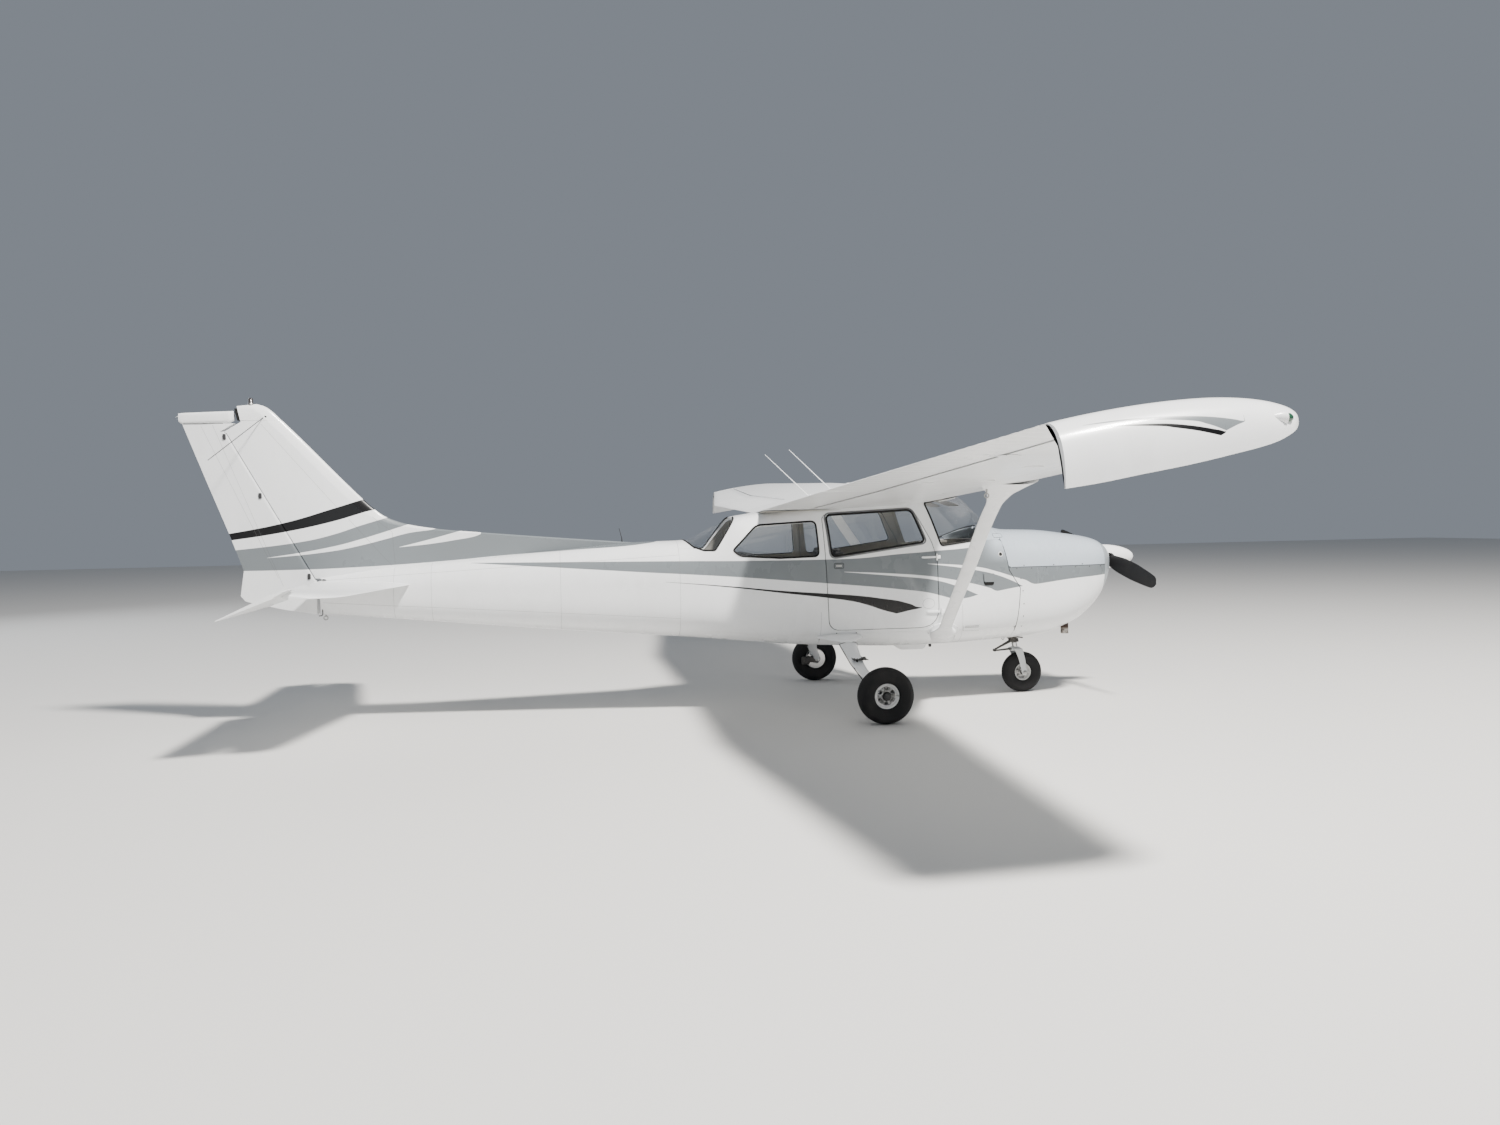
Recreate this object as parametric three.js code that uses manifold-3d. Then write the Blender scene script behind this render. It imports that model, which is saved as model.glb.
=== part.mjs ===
// A four-seat, high-wing light aircraft parked on its three wheels.
// Millimetres, +X to the nose, +Y to the left wing, +Z up, the ground at Z = 0.
// Every X below is counted from the main wheels' axle line; the last group moves the whole aircraft
// so that X = 0 is half-way between spinner tip and tail light.
import * as THREE from 'three';
import { mergeVertices } from 'three/addons/utils/BufferGeometryUtils.js';
import Module from 'manifold-3d';

const wasm = await Module();
wasm.setup();

// Driving dimensions
const spinnerTipX = 2748;
const tailLightX = -5502;
const wheelbase = 1651;
const halfTrack = 1275;
const tipY = 5485;
const skinWall = 28;
const coneWall = 7;
const tailWall = 4;
const cowlWall = 12;
const seam = 0.3;
const doorGap = 6;
const surfaceGap = 8;
const mainTyre = { radius: 222, width: 152, rim: 100 };
const noseTyre = { radius: 183, width: 124, rim: 78 };
const propeller = { x: 2470, z: 1215, radius: 952.5, bladeTilt: 12.6 };
const ringPoints = 24;

// Materials
const paint = (color, roughness = 0.35, metalness = 0) =>
  new THREE.MeshStandardMaterial({ color, roughness, metalness });
const white = paint(0xf2f3f4);
const grey = paint(0xb4bcc2);
const black = paint(0x151618, 0.6);
const rubber = paint(0x1b1b1c, 0.9);
const steel = paint(0x9a9da0, 0.4, 0.8);
const dark = paint(0x3a3c3f, 0.8);
const fabric = paint(0xb9b2a4, 0.95);
const rust = paint(0x3b2d26, 0.85, 0.5);
const glass = new THREE.MeshStandardMaterial({
  color: 0xbfd0d4, roughness: 0.05, transparent: true, opacity: 0.3,
});
const redLens = paint(0x7a1512, 0.2);

// Turning geometry into solids and back
function solidOf(geometry) {
  const bare = geometry.clone();
  bare.deleteAttribute('normal');
  bare.deleteAttribute('uv');
  const merged = mergeVertices(bare, 1e-3);
  return new wasm.Manifold(new wasm.Mesh({
    numProp: 3,
    vertProperties: new Float32Array(merged.attributes.position.array),
    triVerts: new Uint32Array(merged.index.array),
  }));
}

function geometryOf(solid) {
  const mesh = solid.getMesh();
  const geometry = new THREE.BufferGeometry();
  geometry.setAttribute('position', new THREE.BufferAttribute(mesh.vertProperties, 3));
  geometry.setIndex(new THREE.BufferAttribute(mesh.triVerts, 1));
  return geometry;
}

// The same solid on the other side of the aircraft: Y changes sign and each face turns round
function mirrored(solid) {
  const geometry = geometryOf(solid);
  const position = geometry.attributes.position;
  for (let i = 0; i < position.count; i += 1) {
    position.setY(i, -position.getY(i));
  }
  const index = geometry.index.array;
  for (let i = 0; i < index.length; i += 3) {
    const first = index[i];
    index[i] = index[i + 1];
    index[i + 1] = first;
  }
  return solidOf(geometry);
}

const union = (...solids) => solids.reduce((sum, next) => sum.add(next));

// Basic shapes
function box(x0, x1, y0, y1, z0, z1) {
  const geometry = new THREE.BoxGeometry(x1 - x0, y1 - y0, z1 - z0);
  geometry.translate((x0 + x1) / 2, (y0 + y1) / 2, (z0 + z1) / 2);
  return solidOf(geometry);
}

// A closed outline in the XZ plane, carried from y0 to y1
function slabAcross(shape, y0, y1) {
  const options = { depth: y1 - y0, bevelEnabled: false, curveSegments: 3 };
  const geometry = new THREE.ExtrudeGeometry(shape, options);
  geometry.rotateX(Math.PI / 2);
  geometry.translate(0, y1, 0);
  return solidOf(geometry);
}

// A polygon whose corners are rounded by quadratic curves that start `radius` before each corner
function rounded(points, radius) {
  const shape = new THREE.Shape();
  const count = points.length;
  points.forEach(([x, z], i) => {
    const corner = new THREE.Vector2(x, z);
    const before = new THREE.Vector2(...points[(i + count - 1) % count]);
    const after = new THREE.Vector2(...points[(i + 1) % count]);
    const r = Array.isArray(radius) ? radius[i] : radius;
    const start = corner.clone().add(before.clone().sub(corner).setLength(r));
    const end = corner.clone().add(after.clone().sub(corner).setLength(r));
    if (i === 0) {
      shape.moveTo(start.x, start.y);
    } else {
      shape.lineTo(start.x, start.y);
    }
    shape.quadraticCurveTo(corner.x, corner.y, end.x, end.y);
  });
  shape.closePath();
  return shape;
}

// A round bar between two points
function bar(from, to, radius, sides = 12, endRadius = radius) {
  const a = new THREE.Vector3(...from);
  const b = new THREE.Vector3(...to);
  const geometry = new THREE.CylinderGeometry(endRadius, radius, a.distanceTo(b), sides);
  geometry.translate(0, a.distanceTo(b) / 2, 0);
  const upright = new THREE.Vector3(0, 1, 0);
  const turn = new THREE.Quaternion().setFromUnitVectors(upright, b.clone().sub(a).normalize());
  geometry.applyQuaternion(turn);
  geometry.translate(a.x, a.y, a.z);
  return solidOf(geometry);
}

// A profile of (radius, along) turned about an axis through `centre`, 'x' or 'y'
function turned(profile, sides, axis, centre) {
  const geometry = new THREE.LatheGeometry(profile.map(([r, s]) => new THREE.Vector2(r, s)), sides);
  if (axis === 'x') {
    geometry.rotateZ(-Math.PI / 2);
  }
  geometry.translate(...centre);
  let solid = solidOf(geometry);
  if (solid.volume() < 0) {
    geometry.index.array.reverse();
    solid = solidOf(geometry);
  }
  return solid;
}

// Rings of the same number of points, skinned in order and closed by a fan at each end
function loft(rings) {
  const count = rings[0].length;
  const vertices = rings.flat();
  const middle = (ring) => ring.reduce((sum, p) => sum.map((v, k) => v + p[k] / count), [0, 0, 0]);
  const faces = [];
  for (let i = 0; i + 1 < rings.length; i += 1) {
    for (let j = 0; j < count; j += 1) {
      const a = i * count + j;
      const b = i * count + ((j + 1) % count);
      faces.push([a, b, b + count], [a, b + count, a + count]);
    }
  }
  const first = vertices.length;
  vertices.push(middle(rings[0]), middle(rings[rings.length - 1]));
  const lastRing = (rings.length - 1) * count;
  for (let j = 0; j < count; j += 1) {
    const k = (j + 1) % count;
    faces.push([first, k, j], [first + 1, lastRing + j, lastRing + k]);
  }
  const outward = signedVolume(vertices, faces) > 0;
  const geometry = new THREE.BufferGeometry();
  geometry.setAttribute('position', new THREE.Float32BufferAttribute(vertices.flat(), 3));
  geometry.setIndex(faces.map((f) => (outward ? f : [f[0], f[2], f[1]])).flat());
  return solidOf(geometry);
}

function signedVolume(vertices, faces) {
  const a = new THREE.Vector3();
  const b = new THREE.Vector3();
  const c = new THREE.Vector3();
  return faces.reduce((sum, [i, j, k]) => {
    a.fromArray(vertices[i]);
    b.fromArray(vertices[j]);
    c.fromArray(vertices[k]);
    return sum + a.dot(b.cross(c)) / 6;
  }, 0);
}

const mix = (a, b, t) => a + (b - a) * t;

// Body sections from the nose to the end of the tail cone.
// Columns: x, belly z, z of the widest point, top z, half width, power of the lower corner and the upper one
const bodyStations = [
  [2418, 1078, 1192, 1290, 180, 2.2, 2.2],
  [2398, 1000, 1185, 1324, 240, 2.4, 2.3],
  [2356, 905, 1175, 1356, 300, 2.5, 2.4],
  [2300, 828, 1160, 1385, 350, 2.6, 2.5],
  [2200, 735, 1120, 1412, 400, 2.8, 2.6],
  [2050, 632, 1060, 1437, 432, 2.9, 2.6],
  [1755, 538, 1010, 1474, 465, 3.0, 2.7],
  [1446, 510, 1000, 1486, 482, 3.1, 2.8],
  [1265, 501, 1010, 1530, 500, 3.3, 3.0],
  [1120, 497, 1020, 1664, 514, 3.5, 3.4],
  [979, 491, 1030, 1792, 522, 3.7, 4.0],
  [820, 488, 1040, 1850, 530, 3.8, 4.6],
  [400, 486, 1040, 1870, 532, 3.9, 4.6],
  [-136, 507, 1040, 1800, 530, 3.8, 4.6],
  [-588, 536, 1040, 1722, 520, 3.8, 4.5],
  [-820, 560, 1050, 1672, 505, 3.7, 4.2],
  [-1000, 577, 1055, 1642, 487, 3.6, 3.9],
  [-1120, 590, 1060, 1586, 470, 3.5, 3.5],
  [-1444, 622, 1070, 1448, 425, 3.2, 2.8],
  [-1500, 627, 1070, 1445, 417, 3.2, 2.8],
  [-1798, 650, 1075, 1440, 375, 3.0, 2.6],
  [-2500, 712, 1080, 1385, 290, 2.8, 2.4],
  [-3300, 792, 1090, 1322, 205, 2.6, 2.2],
  [-4000, 862, 1100, 1268, 145, 2.4, 2.1],
  [-4440, 897, 1105, 1215, 100, 2.2, 2.0],
];
const coneStart = -1500;
const coneEnd = -4420;

function bodyStation(x) {
  const rows = bodyStations;
  const i = Math.min(Math.max(rows.findIndex((row) => row[0] <= x), 1), rows.length - 1);
  const t = (rows[i - 1][0] - x) / (rows[i - 1][0] - rows[i][0]);
  return rows[i].map((v, k) => mix(rows[i - 1][k], v, t));
}

// One body section as a ring: a rounded box made of two half superellipses
function bodyRing(x, inset) {
  const [, belly, wide, top, half, low, high] = bodyStation(x);
  return Array.from({ length: ringPoints }, (_, i) => {
    const angle = (2 * Math.PI * i) / ringPoints;
    const c = Math.cos(angle);
    const s = Math.sin(angle);
    const power = s < 0 ? low : high;
    const reach = s < 0 ? wide - belly - inset : top - wide - inset;
    const y = (half - inset) * Math.sign(c) * Math.abs(c) ** (2 / power);
    const z = wide + reach * Math.sign(s) * Math.abs(s) ** (2 / power);
    return [x, y, z];
  });
}

function bodyLoft(from, to, inset) {
  const inner = bodyStations.map((row) => row[0]).filter((x) => x < from - 1 && x > to + 1);
  return loft([from, ...inner, to].map((x) => bodyRing(x, inset)));
}

// A hollow stretch of the body, open at both ends
function bodyShell(from, to, outer, inner) {
  return bodyLoft(from, to, outer).subtract(bodyLoft(from + 5, to - 5, inner));
}

// Wing sections. Columns: y, leading edge x, leading edge z, trailing edge x, trailing edge z
const wingStations = [
  [0, 820, 1797, -806, 1669],
  [500, 820, 1820, -806, 1690],
  [2540, 820, 1914, -806, 1776],
  [5283, 690, 2015, -440, 1990],
];
const aerofoil = { thickness: 0.12, camber: 0.02, camberAt: 0.4, steps: 11 };
const rootY = 500;
const wingEndY = 5283;

function wingStation(y) {
  const rows = wingStations;
  const i = Math.min(Math.max(rows.findIndex((row) => row[0] >= y), 1), rows.length - 1);
  const t = (y - rows[i - 1][0]) / (rows[i][0] - rows[i - 1][0]);
  return rows[i].map((v, k) => mix(rows[i - 1][k], v, t));
}

// Four-digit section: camber line and half thickness at a share s of the chord
function camberLine(s) {
  const { camber: m, camberAt: p } = aerofoil;
  const ahead = (m / p ** 2) * (2 * p * s - s ** 2);
  const behind = (m / (1 - p) ** 2) * (1 - 2 * p + 2 * p * s - s ** 2);
  return s < p ? ahead : behind;
}

function halfThickness(s) {
  const series = 0.2969 * Math.sqrt(s) - 0.126 * s - 0.3516 * s ** 2 + 0.2843 * s ** 3 - 0.1036 * s ** 4;
  return (aerofoil.thickness / 0.2) * series;
}

// Point of the wing at station y: share s of the chord, side +1 above, -1 below, 0 on the camber line
function wingPoint(y, s, side, grow = 0) {
  const [, leX, leZ, teX, teZ] = wingStation(y);
  const chord = leX - teX;
  const offset = chord * (camberLine(s) + side * halfThickness(s)) + side * (1.5 + grow);
  return [mix(leX, teX, s) + (s === 0 ? 2 + grow : 0), y, mix(leZ, teZ, s) + offset];
}

function wingRing(y, grow = 0) {
  const steps = aerofoil.steps;
  const share = (i) => (1 - Math.cos((Math.PI * i) / steps)) / 2;
  const upper = Array.from({ length: steps }, (_, i) => wingPoint(y, share(steps - i), 1, grow));
  const nose = [wingPoint(y, 0, 0, grow)];
  const lower = Array.from({ length: steps }, (_, i) => wingPoint(y, share(i + 1), -1, grow));
  return [...upper, ...nose, ...lower];
}

const wingSolid = (y0, y1, grow = 0) => {
  const inner = wingStations.map((row) => row[0]).filter((y) => y > y0 + 1 && y < y1 - 1);
  return loft([y0, ...inner, y1].map((y) => wingRing(y, grow)));
};

// The round-nosed wedge behind a hinge line: a control surface fills it, and its cove is the same wedge,
// larger. Each end has a point `at` and a nose of `radius`; `aft` and `side` are unit directions.
function hingeWedge(ends, aft, side, reach) {
  const arcSteps = 6;
  return loft(ends.map(({ at, radius }) => {
    const ring = [];
    for (let i = 0; i <= arcSteps; i += 1) {
      const angle = Math.PI / 2 + (Math.PI * i) / arcSteps;
      const along = radius * Math.cos(angle);
      const across = radius * Math.sin(angle);
      ring.push(at.map((v, k) => v + aft[k] * along + side[k] * across));
    }
    ring.push(at.map((v, k) => v + aft[k] * reach - side[k] * radius));
    ring.push(at.map((v, k) => v + aft[k] * reach + side[k] * radius));
    return ring;
  }));
}

// Share of the chord at which the flap's and aileron's hinge line lies. Columns of a span: inner y, outer y
const hingeShare = (y) => {
  const [, leX, , teX] = wingStation(y);
  const hingeX = mix(-420, -205, Math.max(0, y - 2540) / (wingEndY - 2540));
  return (leX - hingeX) / (leX - teX);
};
function hingeEnd(y, extra) {
  const s = hingeShare(y);
  const upper = wingPoint(y, s, 1);
  const lower = wingPoint(y, s, -1);
  return { at: [upper[0], y, (upper[2] + lower[2]) / 2], radius: (upper[2] - lower[2]) / 2 + extra };
}
function wingWedge(y0, y1, extra) {
  const breakY = 2540;
  const ys = y0 < breakY - 1 && y1 > breakY + 1 ? [y0, breakY, y1] : [y0, y1];
  return hingeWedge(ys.map((y) => hingeEnd(y, extra)), [-1, 0, 0], [0, 0, 1], 700);
}
const flapSpan = [570, 2640];
const aileronSpan = [2656, 5225];

const flapTracksAt = [900, 2300];
const aileronHingesAt = [3000, 4900];
function wingHalf() {
  const whole = wingSolid(rootY + seam, wingEndY);
  const cove = (span) => wingWedge(span[0] - surfaceGap, span[1] + surfaceGap, surfaceGap);
  const [from, to] = aileronSpan.map((y) => hingeEnd(y, 0).at);
  const axis = unit(to.map((v, k) => v - from[k]));
  const ahead = unit([1 - axis[0] * axis[0], -axis[0] * axis[1], -axis[0] * axis[2]]);
  const hinges = aileronHingesAt.map((y) => {
    const t = (y - from[1]) / (to[1] - from[1]);
    const { radius } = hingeEnd(y, 0);
    const at = from.map((v, k) => mix(v, to[k], t));
    return controlHinge({ at, axis, ahead, radius, reach: radius + surfaceGap + 12 });
  });
  const outer = withHinges(whole.subtract(cove(flapSpan)).subtract(cove(aileronSpan)),
    whole.intersect(wingWedge(...aileronSpan, -0.5)), hinges);
  const flap = whole.intersect(wingWedge(...flapSpan, -0.5));
  const inner = withHinges(outer.fixed, flap, flapTracksAt.map(flapHinge));
  return { wing: inner.fixed, flap: inner.moving, aileron: outer.moving };
}

// A hinge on a control surface's axis: a plate on the fixed side reaches the axis between two cheeks of the
// moving side, whose pin crosses the plate's hole. `axis` runs along the hinge, `ahead` to the fixed side.
const hingePlate = { half: 3, pin: 5, sideGap: 5 };
function controlHinge({ at, axis, ahead, radius, reach }) {
  const { half, pin, sideGap } = hingePlate;
  const boss = pin + 7;
  const move = (point, along, forward) => point.map((v, k) => v + axis[k] * along + ahead[k] * forward);
  const across = new THREE.Vector3(...axis).cross(new THREE.Vector3(...ahead)).toArray();
  const arm = loft([-half, half].map((along) => [[0, -boss], [reach, -boss], [reach, boss], [0, boss]]
    .map(([forward, side]) => move(at, along, forward).map((v, k) => v + across[k] * side))));
  const round = bar(move(at, -half, 0), move(at, half, 0), boss, 8);
  const hole = bar(move(at, -20, 0), move(at, 20, 0), pin + seam + 0.3, 8);
  const room = bar(move(at, -half - sideGap, 0), move(at, half + sideGap, 0), radius + 1, 12);
  return {
    plate: union(arm, round).subtract(hole),
    room,
    rib: bar(move(at, -half - sideGap - 6, 0), move(at, half + sideGap + 6, 0), radius + 16, 10),
    pin: bar(move(at, -half - sideGap - 4, 0), move(at, half + sideGap + 4, 0), pin, 8),
  };
}
const unit = (vector) => vector.map((v) => v / Math.hypot(...vector));
function withHinges(fixed, moving, hinges) {
  return {
    fixed: hinges.reduce((sum, hinge) => sum.add(hinge.plate), fixed),
    moving: hinges.reduce((sum, hinge) => sum.subtract(hinge.room).add(hinge.pin), moving),
  };
}

// Flap tracks: curved slots about one low axis, in plates that reach into the flap, where its rollers run
const flapTrack = { drop: 180, half: 14, plate: 3, roller: 5, sideGap: 5, travel: 40 };
function arcBand(at, radii, angles, y0, y1) {
  const steps = 6;
  const point = (radius, degrees) => {
    const angle = THREE.MathUtils.degToRad(degrees);
    const centreZ = at[2] - flapTrack.drop;
    return new THREE.Vector2(at[0] - radius * Math.sin(angle), centreZ + radius * Math.cos(angle));
  };
  const turn = Array.from({ length: steps + 1 }, (_, i) => mix(angles[0], angles[1], i / steps));
  const outerArc = turn.map((t) => point(radii[1], t));
  const innerArc = turn.reverse().map((t) => point(radii[0], t));
  const outline = [...outerArc, ...innerArc];
  return slabAcross(new THREE.Shape(outline), y0, y1);
}
function flapHinge(y) {
  const { drop, half, plate, roller, sideGap, travel } = flapTrack;
  const { at } = hingeEnd(y, 0);
  const play = roller + seam + 0.15;
  const slot = arcBand(at, [drop - play, drop + play], [-2, travel + 2], y - 20, y + 20);
  const roomRadii = [drop - half - sideGap, drop + half + sideGap];
  const room = arcBand(at, roomRadii, [-40, travel + 9], y - plate - sideGap, y + plate + sideGap);
  return {
    plate: arcBand(at, [drop - half, drop + half], [-27, travel + 5], y - plate, y + plate).subtract(slot),
    room,
    pin: bar([at[0], y - plate - sideGap - 4, at[2]], [at[0], y + plate + sideGap + 4, at[2]], roller, 8),
  };
}

// Drooped wing tip: sections across X, the upper skin rolling over and down to a sharp lower edge.
// Columns: x, z of the drooped edge, y of the outermost skin
const droopStations = [
  [-440, 1712, 5478],
  [-300, 1732, 5482],
  [-100, 1768, tipY],
  [100, 1803, tipY],
  [300, 1845, 5483],
  [480, 1888, 5474],
  [600, 1936, 5440],
  [660, 1976, 5390],
  [690, 2010, 5330],
];
function droopTip() {
  const root = wingEndY + seam;
  const steps = 5;
  const rings = droopStations.map(([x, edgeZ, outerY]) => {
    const [, leX, , teX] = wingStation(wingEndY);
    const share = Math.min(Math.max((leX - x) / (leX - teX), 0.0008), 1);
    const top = wingPoint(wingEndY, share, 1)[2];
    const low = wingPoint(wingEndY, share, -1)[2];
    const ring = [];
    for (let i = 0; i <= steps; i += 1) {
      const angle = (Math.PI / 2) * (i / steps);
      const y = root + (outerY - root) * Math.sin(angle) ** 0.9;
      ring.push([x, y, edgeZ + (top - edgeZ) * Math.cos(angle) ** 0.8]);
    }
    for (let i = 0; i <= steps; i += 1) {
      const angle = (Math.PI / 2) * (1 - i / steps);
      const edgeY = outerY - 12;
      const y = root + (edgeY - root) * Math.sin(angle);
      ring.push([x, y, edgeZ - 1 + (low - edgeZ) * Math.cos(angle) ** 1.2]);
    }
    return ring;
  });
  return loft(rings);
}

// A streamlined bar between two ends: chord along X, thickness across the bar
function blade(ends, sides = 10) {
  return loft(ends.map(({ at, chord, thick, across }) =>
    Array.from({ length: sides }, (_, i) => {
      const angle = (2 * Math.PI * i) / sides;
      const nose = 0.5 * Math.cos(angle);
      const width = 0.5 * Math.sin(angle) * (0.75 + 0.25 * Math.cos(angle));
      return [
        at[0] + chord * nose + thick * width * across[0],
        at[1] + thick * width * across[1],
        at[2] + thick * width * across[2],
      ];
    })));
}

// Door, windows and other side outlines, as (x, z) corners
const doorOutline = [[-312, 1650], [478, 1690], [640, 1402], [690, 1250], [704, 662], [-262, 662],
  [-288, 1246]];
const doorRadii = [60, 50, 40, 60, 170, 100, 40];
const doorWindow = [[-272, 1638], [466, 1672], [580, 1398], [-231, 1288]];
const rearWindow = [[-363, 1592], [-340, 1297], [-672, 1288], [-1001, 1311], [-1059, 1360], [-857, 1566]];
const windshieldOutline = [[592, 1728], [724, 1362], [1022, 1400], [1160, 1462], [1282, 1530],
  [1340, 1640], [1120, 1810], [985, 1796]];
const backlightOutline = [[-1442, 1458], [-1375, 1393], [-1290, 1362], [-1203, 1362], [-1005, 1648],
  [-975, 1800], [-1442, 1800]];
const baggageOutline = [[-700, 1215], [-700, 800], [-1090, 815], [-1090, 1215]];

// The same outline pulled in by `gap` towards its middle, edge by edge
function inset(points, gap) {
  const count = points.length;
  const area = points.reduce((sum, [x, z], i) => {
    const [nx, nz] = points[(i + 1) % count];
    return sum + x * nz - nx * z;
  }, 0);
  const turn = Math.sign(area);
  const lines = points.map(([x, z], i) => {
    const [nx, nz] = points[(i + 1) % count];
    const length = Math.hypot(nx - x, nz - z);
    const normal = [(-(nz - z) / length) * turn, ((nx - x) / length) * turn];
    return { x: x + normal[0] * gap, z: z + normal[1] * gap, dx: nx - x, dz: nz - z };
  });
  return lines.map((line, i) => {
    const before = lines[(i + count - 1) % count];
    const cross = before.dx * line.dz - before.dz * line.dx;
    const t = ((line.x - before.x) * line.dz - (line.z - before.z) * line.dx) / cross;
    return [before.x + before.dx * t, before.z + before.dz * t];
  });
}

// Where cowl and cabin meet, seen from the side
const cowlSeam = [[1288, 1560], [1288, 1478], [1349, 1133], [1450, 980], [1427, 590], [1427, 400]];
const farOut = 700;
const forwardOf = (gap) => slabAcross(new THREE.Shape([
  ...cowlSeam.map(([x, z]) => new THREE.Vector2(x + gap, z)),
  new THREE.Vector2(2600, 400),
  new THREE.Vector2(2600, 1560),
]), -farOut, farOut);

const roofGrown = wingSolid(0, rootY + 60, seam).add(mirrored(wingSolid(0, rootY + 60, seam)));
const doorPrism = slabAcross(rounded(doorOutline, doorRadii), 100, farOut);
const doorBlank = slabAcross(rounded(inset(doorOutline, doorGap), doorRadii), 100, farOut);
const doorWindowPrism = slabAcross(rounded(doorWindow, 45), 100, farOut);
const rearWindowPrism = slabAcross(rounded(rearWindow, [45, 45, 10, 30, 20, 45]), 100, farOut);
const baggagePrism = slabAcross(rounded(baggageOutline, 45), 100, farOut);
const windshieldPrism = slabAcross(rounded(windshieldOutline, 22), -farOut, farOut);
const backlightPrism = slabAcross(rounded(backlightOutline, 14), -farOut, farOut);

const glassSkin = (prismPoints, radii, y0) => bodyShell(1500, coneStart, 7, 13)
  .subtract(roofGrown)
  .intersect(slabAcross(rounded(inset(prismPoints, seam), radii), y0, farOut));

const cabinStretch = bodyShell(1500, coneStart, 0, skinWall).subtract(roofGrown).subtract(forwardOf(0));

// The cabin's skin panels: a belly, two sides, the deck ahead of the windshield, the top behind the wing.
// Each region is an outline in side view, (x, z)
const bellyEdge = [[1500, 638], [-560, 638], [-1500, 700]];
const deckFoot = 1400;
const topFoot = 1380;
const deckRegion = [[1000, deckFoot], [1500, deckFoot], [1500, 1700], [1000, 1700]];
const topRegion = [[-1300, topFoot], [-1300, 1900], [-1500, 1900], [-1500, topFoot]];
const largest = (solid) => solid.decompose().sort((a, b) => b.volume() - a.volume())[0];
function cabinPanels() {
  const shell = cabinStretch
    .subtract(doorPrism)
    .subtract(mirrored(doorPrism))
    .subtract(rearWindowPrism)
    .subtract(mirrored(rearWindowPrism))
    .subtract(baggagePrism)
    .subtract(windshieldPrism)
    .subtract(backlightPrism);
  const region = (points, by) => slabAcross(
    new THREE.Shape(points.map(([x, z]) => new THREE.Vector2(x, z + by))), -farOut, farOut);
  const under = (by) => region([...bellyEdge, [-1510, 300], [1510, 300]], by);
  const deck = region(deckRegion, 0);
  const top = region(topRegion, 0);
  const sides = shell.subtract(under(seam)).subtract(region(deckRegion, -seam))
    .subtract(region(topRegion, -seam));
  const knuckles = doorHinge.fixed.map((leaf) => onSkin(leaf, (solid) => solid.subtract(doorPrism)));
  const small = baggageHinge.fixed.map((leaf) => onSkin(leaf, (solid) => solid.subtract(baggagePrism)));
  const left = box(-1500, 1500, 0, farOut, 400, 1900);
  const right = box(-1500, 1500, -farOut, 0, 400, 1900);
  return {
    belly: shell.intersect(under(0)),
    deck: shell.intersect(deck),
    top: shell.intersect(top),
    left: union(largest(sides.intersect(left)), ...knuckles, ...small),
    right: union(largest(sides.intersect(right)), ...knuckles.map(mirrored)),
  };
}

// Door hinges outside the skin: a knuckle on the body between two on the door, along a nearly upright axis.
// Columns: x, y, z of the two hinge middles, upper first
const cabinHinges = [[680, 541, 1266], [716, 541, 800]];
const baggageHinges = [[-703, 524, 1130], [-703, 524, 880]];
const knuckle = { radius: 8, half: 16, gap: 0.3, arm: 62 };
function hingeSides([upper, lower]) {
  const along = unit(upper.map((v, k) => v - lower[k]));
  const { radius, half, gap, arm } = knuckle;
  const shifted = (point, by) => point.map((v, k) => v + along[k] * by);
  const stretch = (point, from, to) => bar(shifted(point, from), shifted(point, to), radius, 8);
  const leaf = ([x, y, z], x0, x1, from, to) => box(x + x0, x + x1, y - 24, y + 3, z + from, z + to);
  const fixed = [upper, lower].map((point) => union(
    stretch(point, -half / 2, half / 2),
    leaf(point, 2, 34, -half / 2 + 1, half / 2 - 1),
  ));
  const moving = [upper, lower].map((point) => union(...[-1, 1].map((side) => {
    const ends = [side * (half / 2 + gap), side * (half / 2 + gap + 12)].sort((p, q) => p - q);
    return union(stretch(point, ...ends), leaf(point, -arm, -2, ends[0] + 1, ends[1] - 1));
  })));
  return { fixed, moving };
}

const doorHinge = hingeSides(cabinHinges);
const baggageHinge = hingeSides(baggageHinges);
const cabinInside = bodyLoft(1446, coneStart, 2);
const cabinOutside = bodyLoft(1446, coneStart, -1);
// A hinge leaf sinks 2 mm into the panel that carries it and stands 1 mm off the panel on the other side
const onSkin = (leaf, carried) => union(carried(leaf).subtract(cabinInside), leaf.subtract(cabinOutside));
const doorPanel = () => {
  const panel = cabinStretch.intersect(doorBlank).subtract(doorWindowPrism);
  const leaves = doorHinge.moving.map((leaf) => onSkin(leaf, (solid) => solid.intersect(doorBlank)));
  return union(panel, ...leaves);
};
const baggageDoor = () => {
  const blank = slabAcross(rounded(inset(baggageOutline, doorGap), 40), 100, farOut);
  const leaves = baggageHinge.moving.map((leaf) => onSkin(leaf, (solid) => solid.intersect(blank)));
  return union(cabinStretch.intersect(blank), ...leaves);
};

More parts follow.
